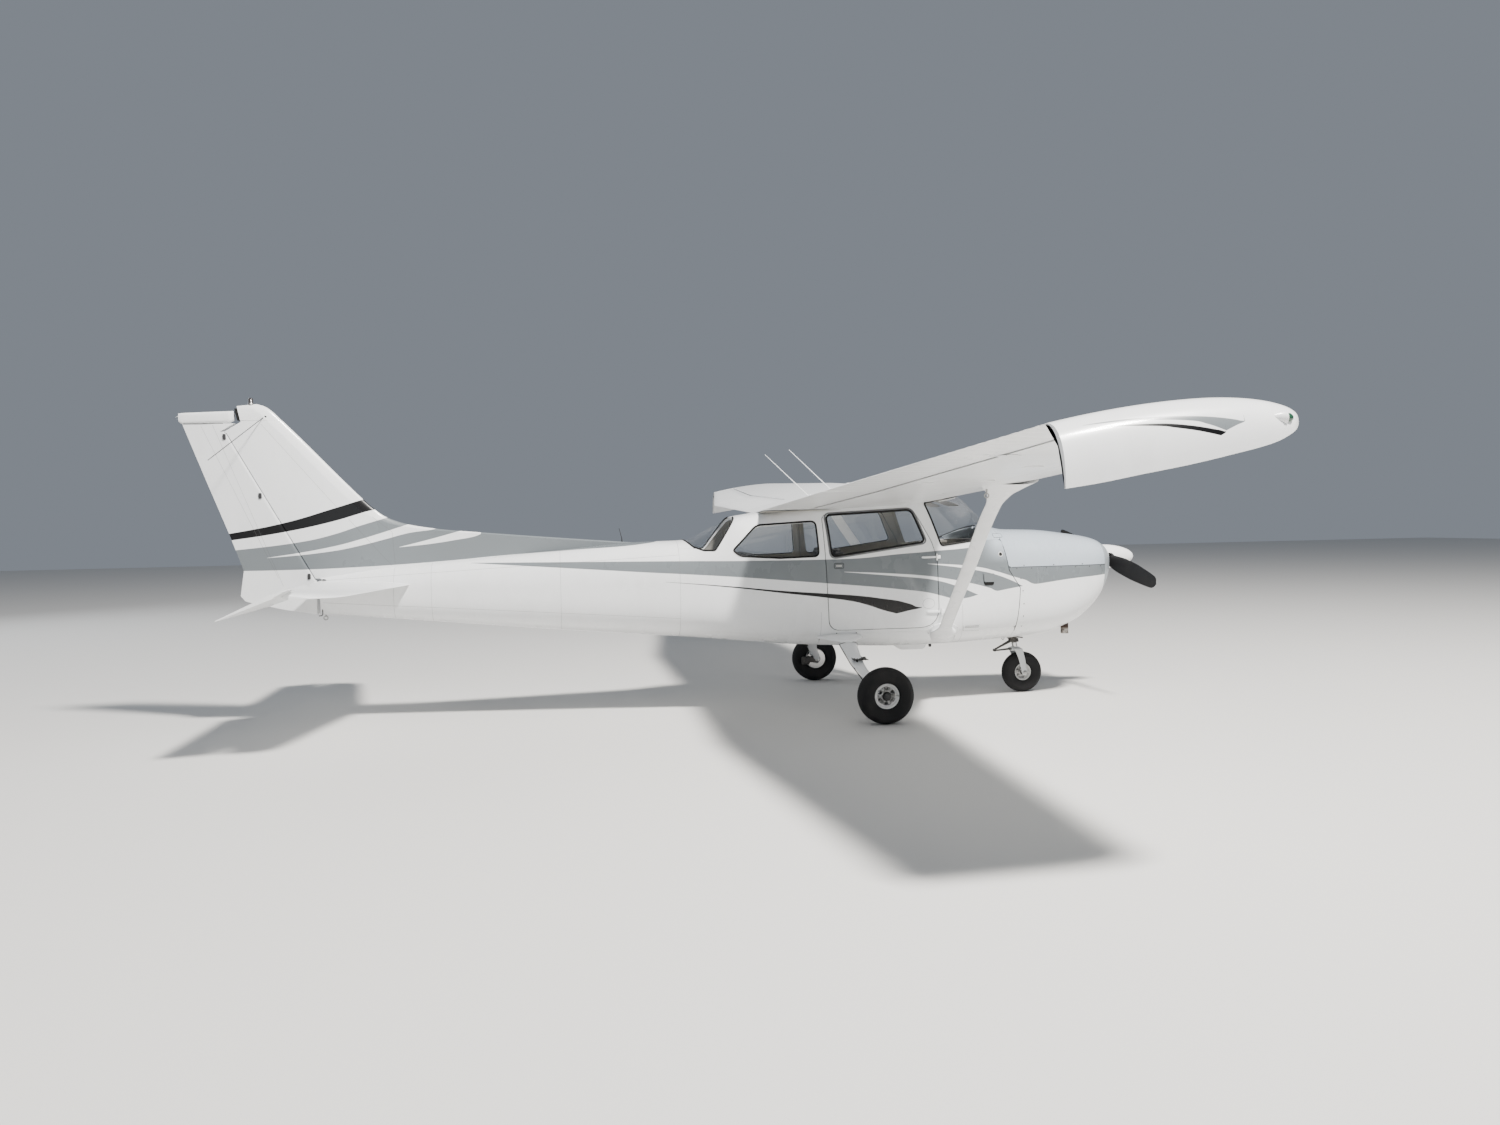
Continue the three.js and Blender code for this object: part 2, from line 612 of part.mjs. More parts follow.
// Cowling
const cowlSplitZ = 1160;
const bowlX = 2300;
const noseX = bodyStations[0][0];
function cowlPieces() {
  const shell = bodyShell(noseX - 1, 1200, 0, cowlWall).intersect(forwardOf(0.5));
  const skin = shell.intersect(box(1200, bowlX - seam / 2, -farOut, farOut, 300, 1700));
  const outlet = box(1480, 1690, -110, 110, 300, 620);
  const pipeHole = bar([exhaust.x, exhaust.y, 500], [exhaust.x, exhaust.y, 800], exhaust.radius + 0.6, 16);
  const noseCap = bodyLoft(noseX, bowlX + seam / 2, 0)
    .subtract(bodyLoft(noseX - cowlWall, bowlX - 20, cowlWall));
  const shaftHole = bar([2300, 0, propeller.z], [2500, 0, propeller.z], 62, 16);
  const inlet = (side) => slabForward(inletShape(side), 2300, 2500);
  return {
    upper: skin.intersect(box(1200, 2500, -farOut, farOut, cowlSplitZ + seam / 2, 1700)),
    lower: skin.intersect(box(1200, 2500, -farOut, farOut, 300, cowlSplitZ - seam / 2))
      .subtract(outlet).subtract(pipeHole),
    bowl: noseCap.subtract(shaftHole).subtract(inlet(1)).subtract(inlet(-1)),
  };
}

// A closed outline in the YZ plane, carried from x0 to x1
function slabForward(shape, x0, x1) {
  const options = { depth: x1 - x0, bevelEnabled: false, curveSegments: 3 };
  const geometry = new THREE.ExtrudeGeometry(shape, options);
  geometry.applyMatrix4(new THREE.Matrix4().makeBasis(
    new THREE.Vector3(0, 1, 0), new THREE.Vector3(0, 0, 1), new THREE.Vector3(1, 0, 0)));
  geometry.translate(x0, 0, 0);
  return solidOf(geometry);
}
const inletShape = (side) => rounded(
  [[side * 92, 1150], [side * 235, 1160], [side * 240, 1245], [side * 100, 1262]], 26);

const firewallX = [1400, 1403];
const exhaust = { x: 1981, y: -200, radius: 34, bottom: 540 };
const engine = { x0: 1480, x1: 2150, half: 335, z0: 930, z1: 1270 };
// The engine as one block, with the four tubes that carry it from the firewall
function engineBlock() {
  const { x0, x1, half, z0, z1 } = engine;
  const tubes = [-1, 1].flatMap((side) => [z0 + 30, z1 - 30].map((z) =>
    bar([firewallX[1] + 2 * seam, side * 190, z], [x0 + 40, side * 190, z], 14, 8)));
  return union(box(x0, x1, -half, half, z0, z1), ...tubes);
}

// Spinner: a hollow ogive on its back plate, open where the blades come through
const spinnerShape = { base: 2438, radius: 110, wall: 4, sides: 16, steps: 5 };
const hubHalf = 26;
const bladeRoom = 62;
function ogive(radius, length, lift) {
  const { steps } = spinnerShape;
  const profile = [[0, lift], [radius, lift]];
  for (let i = 1; i <= steps; i += 1) {
    const t = i / steps;
    profile.push([i === steps ? 0 : radius * Math.sqrt(1 - t ** 1.9), lift + length * t]);
  }
  return turned(profile, spinnerShape.sides, 'x', [spinnerShape.base, 0, propeller.z]);
}
function spinner() {
  const { base, radius, wall } = spinnerShape;
  const length = spinnerTipX - base;
  const shell = ogive(radius, length, 0).subtract(ogive(radius - wall, length - 2 * wall, wall));
  const shaftHole = bar([base - 10, 0, propeller.z], [base + 20, 0, propeller.z], 50, 16);
  const bladeHole = bar([propeller.x, -140, 0], [propeller.x, 140, 0], bladeRoom, 12);
  return shell.subtract(shaftHole).subtract(propellerTurn(bladeHole));
}

// Two twisted blades on a hub inside the spinner.
// Columns: share of the radius, chord, thickness, pitch in degrees
const bladeStations = [
  [0.06, 92, 56, 52],
  [0.2, 118, 42, 40],
  [0.35, 142, 27, 30],
  [0.55, 146, 19, 23],
  [0.75, 132, 14, 18],
  [0.92, 108, 10, 15],
  [0.985, 76, 7, 14],
  [1, 34, 4, 14],
];
function bladeLoft(sign) {
  return loft(bladeStations.map(([share, chord, thick, pitch]) => {
    const along = sign * share * propeller.radius;
    const lean = THREE.MathUtils.degToRad(pitch);
    return Array.from({ length: 10 }, (_, i) => {
      const angle = (2 * Math.PI * i) / 10;
      const u = (chord / 2) * Math.cos(angle);
      const w = (thick / 2) * Math.sin(angle);
      const forward = u * Math.sin(lean) + w * Math.cos(lean);
      const across = sign * (u * Math.cos(lean) - w * Math.sin(lean));
      return [propeller.x + forward, -along, across];
    });
  }));
}
// From the blades lying along Y at the shaft's axis to their parked angle
function propellerTurn(solid) {
  const geometry = geometryOf(solid);
  geometry.rotateX(THREE.MathUtils.degToRad(propeller.bladeTilt));
  geometry.translate(0, 0, propeller.z);
  return solidOf(geometry);
}
function propellerSolid() {
  const back = spinnerShape.base + spinnerShape.wall + seam;
  const hub = turned([[0, 0], [82, 0], [82, 2 * hubHalf], [0, 2 * hubHalf]], 20, 'x', [back, 0, 0]);
  const shaft = bar([engine.x1 + seam, 0, 0], [back + 1, 0, 0], 46, 16);
  return propellerTurn(union(bladeLoft(1), bladeLoft(-1), hub, shaft));
}

// Wheels
function tyreProfile({ radius, width, rim }) {
  const half = width / 2;
  return [
    [rim, -half * 0.62], [rim + (radius - rim) * 0.35, -half * 0.95], [rim + (radius - rim) * 0.62, -half],
    [radius - 20, -half * 0.78], [radius, -half * 0.36],
    [radius, half * 0.36], [radius - 20, half * 0.78],
    [rim + (radius - rim) * 0.62, half], [rim + (radius - rim) * 0.35, half * 0.95], [rim, half * 0.62],
    [rim, -half * 0.62],
  ];
}
const tyreSides = 26;
const rimSides = 16;
function tyre(size, centre) {
  return turned(tyreProfile(size), tyreSides, 'y', centre);
}
function rim(size, centre, bore) {
  const outer = size.rim * Math.cos(Math.PI / tyreSides) - seam;
  const half = size.width * 0.31;
  const flange = size.width * 0.305;
  const profile = [
    [bore, -half * 0.45],
    [outer * 0.62, -half * 0.5],
    [outer * 0.74, -flange],
    [outer, -flange],
    [outer, flange],
    [outer * 0.74, flange],
    [outer * 0.62, half * 0.5],
    [bore, half * 0.45],
    [bore, -half * 0.45],
  ];
  return turned(profile, rimSides, 'y', centre);
}

const mainAxle = [0, halfTrack, mainTyre.radius];
const noseAxle = [wheelbase, 0, noseTyre.radius];

// Main gear leg with its faired top. Columns: x, y, z, chord, thickness
const legStations = [
  [-126, 400, 640, 158, 62],
  [-126, 560, 582, 150, 56],
  [-112, 850, 432, 106, 44],
  [-70, 1010, 336, 84, 38],
  [-8, 1130, 252, 64, 36],
  [0, 1165, 226, 56, 36],
];
function gearLeg(bodyGrown) {
  const across = [0, 0.5, 0.86];
  const leg = blade(legStations.map(([x, y, z, chord, thick]) => (
    { at: [x, y, z], chord, thick, across })));
  const fairing = blade([
    { at: [-170, 380, 615], chord: 400, thick: 74, across: [0, 0, 1] },
    { at: [-170, 520, 612], chord: 384, thick: 60, across: [0, 0, 1] },
    { at: [-150, 610, 592], chord: 190, thick: 46, across: [0, 0, 1] },
  ], 14);
  const axle = bar([0, 1150, mainTyre.radius], [0, 1336, mainTyre.radius], 19, 12);
  const caliper = box(-150, -62, 1162, 1190, 168, 250);
  const bracket = box(-80, 10, 1150, 1170, 190, 246);
  const stepTread = box(-150, -28, 868, 872, 462, 470);
  const stepArm = box(-150, -28, 800, 870, 456, 466);
  return union(leg, fairing, axle, caliper, bracket, stepTread, stepArm).subtract(bodyGrown);
}

// Strut between the lower cabin corner and the wing, with a flared cuff at each end
const strutLow = new THREE.Vector3(758, 400, 566);
const strutHigh = new THREE.Vector3(442, 2620, 1842);
// Columns: share of the length, chord, thickness, shift forward
const strutStations = [
  [0, 240, 120, 0],
  [0.045, 226, 110, 0],
  [0.07, 134, 46, 0],
  [0.085, 112, 40, 0],
  [0.87, 116, 40, 0],
  [0.93, 178, 48, 12],
  [0.965, 300, 66, 20],
  [1, 420, 90, 40],
];
function strut(bodyGrown, wingGrown) {
  const run = new THREE.Vector3().subVectors(strutHigh, strutLow);
  const across = run.cross(new THREE.Vector3(1, 0, 0)).normalize().toArray();
  const ends = strutStations.map(([t, chord, thick, shift]) => {
    const point = strutLow.clone().lerp(strutHigh, t).toArray();
    point[0] += shift;
    return { at: point, chord, thick, across };
  });
  return union(blade(ends, 12), tieDownLug(...wingLug)).subtract(bodyGrown).subtract(wingGrown);
}

// Nose gear
const steer = { lowX: 1672, tiltX: -0.1976 };
const steerX = (z) => steer.lowX + steer.tiltX * z;
const onSteer = (z, dx = 0, y = 0) => [steerX(z) + dx, y, z];
const barrelFoot = 500;
function noseStrut() {
  const barrel = bar(onSteer(barrelFoot), onSteer(900), 38, 16);
  const bracketTop = box(firewallX[1] + seam, steerX(860), -45, 45, 840, 890);
  const bracketLow = box(firewallX[1] + seam, steerX(620), -60, 60, 600, 650);
  return union(barrel, bracketTop, bracketLow);
}
function noseFork() {
  const crownZ = 392;
  const piston = bar(onSteer(crownZ), onSteer(barrelFoot - seam), 25, 12);
  const collar = bar(onSteer(456), onSteer(492), 46, 12);
  const crownPlate = box(steerX(crownZ) - 34, steerX(crownZ) + 40, -82, 82, 376, 404);
  const crown = union(bar(onSteer(374), onSteer(410), 48, 12), crownPlate);
  const legs = [-1, 1].map((side) => loft([
    { x: steerX(crownZ), z: crownZ, chord: 76 },
    { x: 1628, z: 300, chord: 60 },
    { x: wheelbase, z: noseTyre.radius, chord: 52 },
    { x: wheelbase + 3, z: 160, chord: 40 },
  ].map(({ x, z, chord }) => {
    const inner = side * 69;
    const outer = side * 83;
    const rear = x - chord / 2;
    const front = x + chord / 2;
    return [[rear, inner, z], [front, inner, z], [front, outer, z], [rear, outer, z]];
  })));
  const axle = bar([wheelbase, -92, noseTyre.radius], [wheelbase, 92, noseTyre.radius], 12, 12);
  const apex = [1392, 0, 388];
  const link = (from, width) => loft([from, apex].map(([x, , z]) => [
    [x - 10, -width, z - 10], [x - 10, width, z - 10], [x + 10, width, z + 10], [x + 10, -width, z + 10],
  ]));
  const links = union(link([1556, 0, 470], 20), link([1572, 0, 396], 16));
  return union(piston, collar, crown, ...legs, axle, links);
}

// Tie-down lug: a plate across Y with a hole, its top sunk in what carries it
const lug = { width: 38, half: 3, hole: 9, drop: 30 };
function tieDownLug(x, y, top) {
  const [reach, low] = [lug.width / 2, top - lug.drop - lug.width / 2];
  const plate = box(x - reach, x + reach, y - lug.half, y + lug.half, low, top + 12);
  return plate.subtract(bar([x, y - 10, top - lug.drop], [x, y + 10, top - lug.drop], lug.hole, 8));
}
const tailLug = [-4398, 0, 898];
const wingLug = [356, 2542, 1774];
function tailCone() {
  const cone = bodyShell(coneStart - seam, coneEnd, 0, coneWall).subtract(elevatorSlot);
  return cone.add(tieDownLug(...tailLug).subtract(bodyLoft(coneStart, coneEnd, coneWall - 1)));
}

// Tail
const elevatorHinge = { x: -4410, z: 1150, innerY: 84, tipY: 1727, hornY: 1510 };
const elevatorDroop = 23;
// Stabilizer sections. Columns: y, leading edge x, half thickness at the rear, fullness of the nose
const stabilizerRows = [
  [60, -3682, 30, 24],
  [900, -3839, 27, 20],
  [1560, -3962, 24, 15],
  [1640, -3992, 22, 12],
  [1695, -4050, 20, 8],
  [1726, -4160, 17, 4],
];
function stabilizerRing([y, leadX, rearHalf, thick], wall, from, to) {
  const steps = 5;
  const top = [];
  const low = [];
  for (let i = 0; i <= steps; i += 1) {
    const s = mix(from, to, (1 - Math.cos((Math.PI * i) / steps)) / 2);
    const half = thick * Math.sqrt(Math.max(1 - (1 - s) ** 2.4, 0)) * (1 - s) + rearHalf * s - wall;
    const x = mix(leadX, elevatorHinge.x, s);
    const z = mix(1132, elevatorHinge.z, s);
    top.push([x, y, z + half]);
    if (i > 0 || wall > 0) {
      low.unshift([x, y, z - half]);
    }
  }
  return [...top, ...low];
}
const elevatorHingesAt = [330, 1250];
const elevatorHinges = elevatorHingesAt.map((y) => controlHinge({
  at: [elevatorHinge.x, y, elevatorHinge.z],
  axis: [0, 1, 0],
  ahead: [1, 0, 0],
  radius: mix(29, 18, y / 1650),
  reach: 48,
}));
// Sheet-metal shell, open at its root inside the fuselage joint
function stabilizer(bodyGrown) {
  const whole = loft(stabilizerRows.map((row) => stabilizerRing(row, 0, 0, 1)));
  const [root, middle, outer] = stabilizerRows;
  const hollow = loft([root, middle, outer].map(([y, ...rest], i) =>
    stabilizerRing([[20, y, 1490][i], ...rest], tailWall, 0.04, 0.86)));
  const cove = hingeWedge([
    { at: [elevatorHinge.x, 0, elevatorHinge.z], radius: 30 + surfaceGap },
    { at: [elevatorHinge.x, 1800, elevatorHinge.z], radius: 18 + surfaceGap },
  ], [-1, 0, 0], [0, 0, 1], 200);
  const hornSlot = box(-4600, -4296, elevatorHinge.hornY - surfaceGap, 1800, 1000, 1300);
  const shell = whole.subtract(hollow).subtract(cove).subtract(hornSlot).subtract(bodyGrown);
  return elevatorHinges.reduce((sum, hinge) => sum.add(hinge.plate), shell);
}

// Elevator half at neutral, drooped afterwards about its hinge
function elevatorHalf() {
  const { x, z, innerY, tipY: outerY, hornY } = elevatorHinge;
  const section = (y, noseR, reach, halfAft = 2.5) => {
    const ring = [];
    for (let i = 0; i <= 6; i += 1) {
      const angle = Math.PI / 2 - (Math.PI * i) / 6;
      ring.push([x + noseR * Math.cos(angle), y, z + noseR * Math.sin(angle)]);
    }
    ring.push([x - reach, y, z - halfAft], [x - reach, y, z + halfAft]);
    return ring;
  };
  const main = loft([
    section(innerY, 29, 60),
    section(innerY + 42, 28.8, 200),
    section(225, 28.4, 402),
    section(1650, 18, 402),
    section(outerY, 16, 396),
  ]);
  const horn = loft([hornY, outerY - 30, outerY].map((y, i) => [
    [x - 40, y, z + 15 - i], [x + 40, y, z + 15 - i], [x + 96, y, z + 12 - i], [x + 106 - 8 * i, y, z],
    [x + 96, y, z - 12 + i], [x + 40, y, z - 15 + i], [x - 40, y, z - 15 + i],
  ]));
  return elevatorHinges.reduce((sum, hinge) => sum.subtract(hinge.room).add(hinge.pin), union(main, horn));
}
function elevators() {
  const half = elevatorHalf();
  const { x, z } = elevatorHinge;
  const tube = bar([x, -120, z], [x, 120, z], 15, 16);
  const geometry = geometryOf(union(half, mirrored(half), tube));
  geometry.translate(-elevatorHinge.x, 0, -elevatorHinge.z);
  geometry.rotateY(THREE.MathUtils.degToRad(-elevatorDroop));
  geometry.translate(elevatorHinge.x, 0, elevatorHinge.z);
  return solidOf(geometry);
}

// The slot that the elevators' torque tube and inner ends turn in
const slotHalf = 45;
const elevatorSlot = box(-4600, elevatorHinge.x + slotHalf, -200, 200,
  elevatorHinge.z - slotHalf, elevatorHinge.z + slotHalf);

// Fin, rudder and their caps share one hinge line, raked aft
const finHinge = { lowX: -4468, lowZ: 1159, topX: -5123, topZ: 2367 };
const finHingeX = (z) => {
  const { lowX, lowZ, topX, topZ } = finHinge;
  return mix(lowX, topX, (z - lowZ) / (topZ - lowZ));
};
const finHalf = (z) => mix(50, 33, Math.min(Math.max((z - 1150) / 1400, 0), 1));
const capZ = 2492;
// Leading edge of fin and dorsal fillet, from the cap down to the body: (x, z)
const finLead = [[-4691, 2495], [-4555, 2353], [-4074, 1841], [-3988, 1760], [-3909, 1699], [-3733, 1631],
  [-3463, 1583], [-2975, 1535], [-2477, 1490], [-1850, 1437]];

// Half thickness of the fin at distance d ahead of the hinge line, rounded off near the leading edge
function finProfile(d, toLead, z) {
  const body = finHalf(z) * (1 + 0.22 * Math.sin(Math.min(d / 700, 1) * Math.PI));
  const dorsal = 16;
  const blend = THREE.MathUtils.smoothstep(d, 500, 1150);
  return mix(body, dorsal, blend) * Math.sqrt(Math.min(toLead / 110, 1));
}
function leadXAt(z) {
  for (let i = 0; i + 1 < finLead.length; i += 1) {
    const [x0, z0] = finLead[i];
    const [x1, z1] = finLead[i + 1];
    if (z <= z0 && z >= z1) {
      return mix(x0, x1, (z0 - z) / (z0 - z1));
    }
  }
  return z > finLead[0][1] ? finLead[0][0] - (z - finLead[0][1]) * 0.96 : finLead[finLead.length - 1][0];
}
function finRing(z, wall = 0) {
  const edge = leadXAt(z);
  const rear = wall ? finHingeX(z) + finHalf(z) + surfaceGap + 2 * wall : finHingeX(z) - 70;
  const lead = wall ? edge - 5 * wall : edge;
  const steps = wall ? 4 : 7;
  const left = [];
  const right = [];
  for (let i = 0; i <= steps; i += 1) {
    const s = (i / steps) ** 1.6;
    const x = mix(lead, rear, s);
    const half = finProfile(Math.max(x - finHingeX(z), 0), edge - x, z) - wall;
    if (i === 0) {
      left.push([x, 0, z]);
    } else {
      left.push([x, half, z]);
      right.unshift([x, -half, z]);
    }
  }
  return [...left, ...right];
}
const finEnd = (z, gap) => ({ at: [finHingeX(z), 0, z], radius: finHalf(z) + gap });
const tailUp = (gap) => hingeWedge([1000, 2700].map((z) => finEnd(z, gap)),
  [-1, 0, 0], [0, 1, 0], 1400);
const hornCut = (gap) => slabAcross(new THREE.Shape([
  [-5148 + gap, 2404 - gap],
  [-5008 + gap, 2488 - gap],
  [-5056 + gap, 2700],
  [-5800, 2700],
  [-5800, 2404 - gap],
].map(([x, z]) => new THREE.Vector2(x, z))), -120, 120);

const rudderHingesAt = [1380, 2200];
const rudderHinges = rudderHingesAt.map((z) => {
  const axis = unit([finHinge.topX - finHinge.lowX, 0, finHinge.topZ - finHinge.lowZ]);
  const ahead = [axis[2], 0, -axis[0]];
  const radius = finHalf(z);
  const reach = radius + surfaceGap + tailWall;
  return controlHinge({ at: [finHingeX(z), 0, z], axis, ahead, radius, reach });
});
function finSolid(bodyGrown) {
  const levels = [1150, 1437, 1490, 1535, 1583, 1631, 1699, 1760, 1841, 2353, capZ - 0.5];
  const hollow = loft([1140, 1437, 1535, 1631, 1841, capZ - 6].map((z) => finRing(z, tailWall)));
  const shell = loft(levels.map((z) => finRing(z))).subtract(hollow).subtract(tailUp(surfaceGap))
    .subtract(hornCut(surfaceGap)).subtract(bodyGrown).subtract(elevatorSlot);
  return rudderHinges.reduce((sum, hinge) => sum.add(hinge.plate), shell);
}
function finCapWhole(grow) {
  const rows = [[capZ, -4692, 1], [2540, -4736, 0.97], [2585, -4786, 0.86], [2612, -4832, 0.62],
    [2626, -4880, 0.28]]
    .map(([z, lead, share]) => [z === capZ ? z : z + grow, lead, share]);
  const whole = loft(rows.map(([z, lead, share]) => {
    const rear = -5150;
    const left = [];
    const right = [];
    for (let i = 0; i <= 7; i += 1) {
      const x = mix(lead, rear, (i / 7) ** 1.5);
      const half = (42 + grow) * share * Math.sqrt(Math.min((lead + grow - x) / 110, 1));
      if (i === 0) {
        left.push([x, 0, z]);
      } else {
        left.push([x, half, z]);
        right.unshift([x, -half, z]);
      }
    }
    return [...left, ...right];
  }));
  const slopeCut = slabAcross(new THREE.Shape([[-4882, 2627], [-5300, 2574], [-5300, 2800], [-4600, 2800],
    [-4600, 2627]]
    .map(([x, z]) => new THREE.Vector2(x, z + grow))), -120, 120);
  return whole.subtract(slopeCut);
}

function finCap() {
  return union(finCapWhole(0).subtract(hornCut(surfaceGap)), finAntenna(1), finAntenna(-1));
}

// Rudder outline: (x, z) up the trailing edge reversed, along the bottom, then the nose
const rudderOutline = [[-5452, 2470], [-5287, 2016], [-5124, 1576], [-5021, 1274], [-5054, 1068],
  [-5017, 1022],
  [-4725, 950], [-4452, 900], [-4452, 1207], [-4400, 1207], [-4800, 2404], [-5120, 2404], [-5130, 2470]];
function rudderWedge(wall) {
  return loft([880, 2700].map((z) => {
    const x = finHingeX(z);
    const half = finHalf(z) - 0.5 - wall;
    const ring = [];
    for (let i = 0; i <= 6; i += 1) {
      const angle = Math.PI / 2 + (Math.PI * i) / 6;
      ring.push([x - half * Math.cos(angle), half * Math.sin(angle), z]);
    }
    const tail = mix(-5010, -5500, (z - 1100) / 1370) - 120 + 22 * wall;
    ring.push([tail, -3, z], [tail, 3, z]);
    return ring;
  }));
}
// Sheet-metal shell with two lightening holes in the nose, inside the fin's cove
function rudderSolid() {
  const outline = (points) => {
    const corners = points.map(([x, z]) => new THREE.Vector2(x, z));
    return slabAcross(new THREE.Shape(corners), -200, 200);
  };
  const hollow = rudderHinges.reduce((sum, hinge) => sum.subtract(hinge.rib),
    rudderWedge(tailWall).intersect(outline(inset(rudderOutline, 2 * tailWall))));
  const holes = [1560, 2030].map((z) => box(finHingeX(z) - 20, finHingeX(z) + 90, -16, 16, z - 40, z + 40));
  const full = rudderWedge(0).intersect(outline(rudderOutline));
  const shell = full.subtract(hollow).subtract(holes[0]).subtract(holes[1]);
  return rudderHinges.reduce((sum, hinge) => sum.subtract(hinge.room).add(hinge.pin), shell);
}
function rudderCap() {
  const rows = [
    { x: -5056, z0: 2494, z1: 2572, half: 22 },
    { x: -5100, z0: 2474, z1: 2570, half: 34 },
    { x: -5180, z0: 2471, z1: 2567, half: 34 },
    { x: -5360, z0: 2470, z1: 2560, half: 24 },
    { x: -5455, z0: 2470, z1: 2556, half: 16 },
    { x: -5480, z0: 2486, z1: 2552, half: 12 },
  ];
  return loft(rows.map(({ x, z0, z1, half }) => Array.from({ length: 12 }, (_, i) => {
    const angle = (2 * Math.PI * i) / 12;
    const c = Math.cos(angle);
    const s = Math.sin(angle);
    const y = half * Math.sign(c) * Math.abs(c) ** 0.7;
    return [x, y, (z0 + z1) / 2 + ((z1 - z0) / 2) * Math.sign(s) * Math.abs(s) ** 0.5];
  })));
}

// Cabin fittings
const linerGap = skinWall + seam;
const interior = bodyLoft(1430, coneStart, linerGap);
function firewall() {
  return interior.intersect(box(...firewallX, -farOut, farOut, 400, 1700));
}
const floorTop = 612;
function cabinFloor() {
  const front = box(-560, 1399.7, -farOut, farOut, floorTop - 16, floorTop);
  const rear = box(-1309.7, -560, -farOut, farOut, 690, 706);
  const riser = box(-572, -560, -farOut, farOut, floorTop - 16, 706);
  const wall = box(-1322, -1310, -farOut, farOut, 640, 1375);
  const rearLip = box(-1322, -1300, -farOut, farOut, 690, 706);
  return interior.intersect(union(front, rear.add(rearLip), riser, wall));
}
function instrumentPanel() {
  const board = box(1112, 1130, -farOut, farOut, 1010, 1396);
  const shade = box(1130, 1258, -farOut, farOut, 1384, 1396);
  return union(interior.intersect(union(board, shade)), yoke(235), yoke(-235));
}
function yoke(y) {
  const wheel = slabForward(new THREE.Shape([[-145, 1230], [-120, 1130], [120, 1130], [145, 1230],
    [110, 1235],
    [90, 1165], [-90, 1165], [-110, 1235]].map(([dy, z]) => new THREE.Vector2(y + dy, z))), 905, 925);
  const shaft = bar([915, y, 1150], [1120, y, 1150], 12, 8);
  return union(wheel, shaft);
}
function frontSeat(y) {
  const cushion = slabAcross(rounded([[-30, floorTop + 190], [470, floorTop + 225], [470, floorTop + 330],
    [0, floorTop + 290]], 40), y - 225, y + 225);
  const backOutline = [[30, floorTop + 230], [-70, floorTop + 260], [-205, 1395], [-125, 1405]];
  const back = slabAcross(rounded(backOutline, 30),
    y - 220, y + 220);
  const foot = floorTop + seam;
  const leg = (x, from, top) => box(x, x + 40, from, from + 30, foot, top);
  const legs = union(
    leg(20, y - 150, 850),
    leg(20, y + 120, 850),
    leg(380, y - 150, 860),
    leg(380, y + 120, 860),
  );
  return union(cushion, back, legs);
}
function rearBench() {
  const cushion = slabAcross(rounded([[-800, 800], [-330, 850], [-330, 940], [-770, 900]], 30), -455, 455);
  const back = slabAcross(rounded([[-740, 860], [-830, 850], [-940, 1375], [-860, 1385]], 28), -440, 440);
  const base = box(-780, -400, -380, 380, 706 + seam, 830);
  const front = box(-540, -400, -340, 340, floorTop + seam, 830);
  return union(cushion, back, base.subtract(box(-560, -300, -500, 500, 600, 830)), front);
}

// The exhaust pipe hangs from the engine block. Its bore is open at the bottom and closed inside the cowl.
function exhaustPipe() {
  const { x, y, bottom, radius } = exhaust;
  const wall = 4;
  const boreTop = 700;
  const whole = bar([x, y, bottom], [x, y, engine.z0 - seam], radius, 16);
  return whole.subtract(bar([x, y, bottom - 100], [x, y, boreTop], radius - wall, 16));
}

// Small fittings on the skin
const beaconShape = { x: -4928, foot: 2615, base: 2634, top: 2678 };
function beacon() {
  const { x, foot, base, top } = beaconShape;
  const profile = [[0, foot], [22, foot], [22, base], [18, base], [18, top - 8], [12, top], [0, top]];
  const geometry = new THREE.LatheGeometry(profile.map(([r, z]) => new THREE.Vector2(r, z)), 12);
  geometry.rotateX(Math.PI / 2);
  geometry.translate(x, 0, 0);
  return solidOf(geometry).subtract(finCapWhole(seam));
}
function tailLight() {
  const startX = -5480 - seam;
  const profile = [[0, tailLightX], [9, tailLightX + 3], [13, tailLightX + 10], [13, startX], [0, startX]];
  return turned(profile, 12, 'x', [0, 0, 2519]);
}
// Two whip antennas that lean aft from feet on the roof. Columns: x, y of the foot
const whipFeet = [[-330, -160], [-120, -160]];
function roofAntenna([x, y], roof) {
  const [, leX, , teX] = wingStation(Math.abs(y));
  const skin = wingPoint(Math.abs(y), (leX - x) / (leX - teX), 1)[2];
  const foot = bar([x, y, skin - 8], [x, y, skin + 14], 20, 10);
  const whip = bar([x, y, skin + 8], [x - 390, y, skin + 372], 4, 6);
  return union(foot, whip).subtract(roof);
}
// Two rods that run aft and out from the fin cap
function finAntenna(side) {
  return bar([-4822, side * 34, 2519], [-5142, side * 450, 2150], 3.5, 6);
}

// Assembly
const aircraft = new THREE.Group();
const airframe = new THREE.Group();
aircraft.add(airframe);
airframe.position.x = -(spinnerTipX + tailLightX) / 2;

function add(name, solid, material) {
  const mesh = new THREE.Mesh(geometryOf(solid), material);
  mesh.name = name;
  airframe.add(mesh);
}
function addPair(name, solid, material) {
  add(`${name}_left`, solid, material);
  add(`${name}_right`, mirrored(solid), material);
}

const bodyGrown = bodyLoft(1446, -4429, -0.6);
const wingGrown = wingSolid(rootY - 100, wingEndY, seam + 0.2);
const { wing, flap, aileron } = wingHalf();
const cowl = cowlPieces();

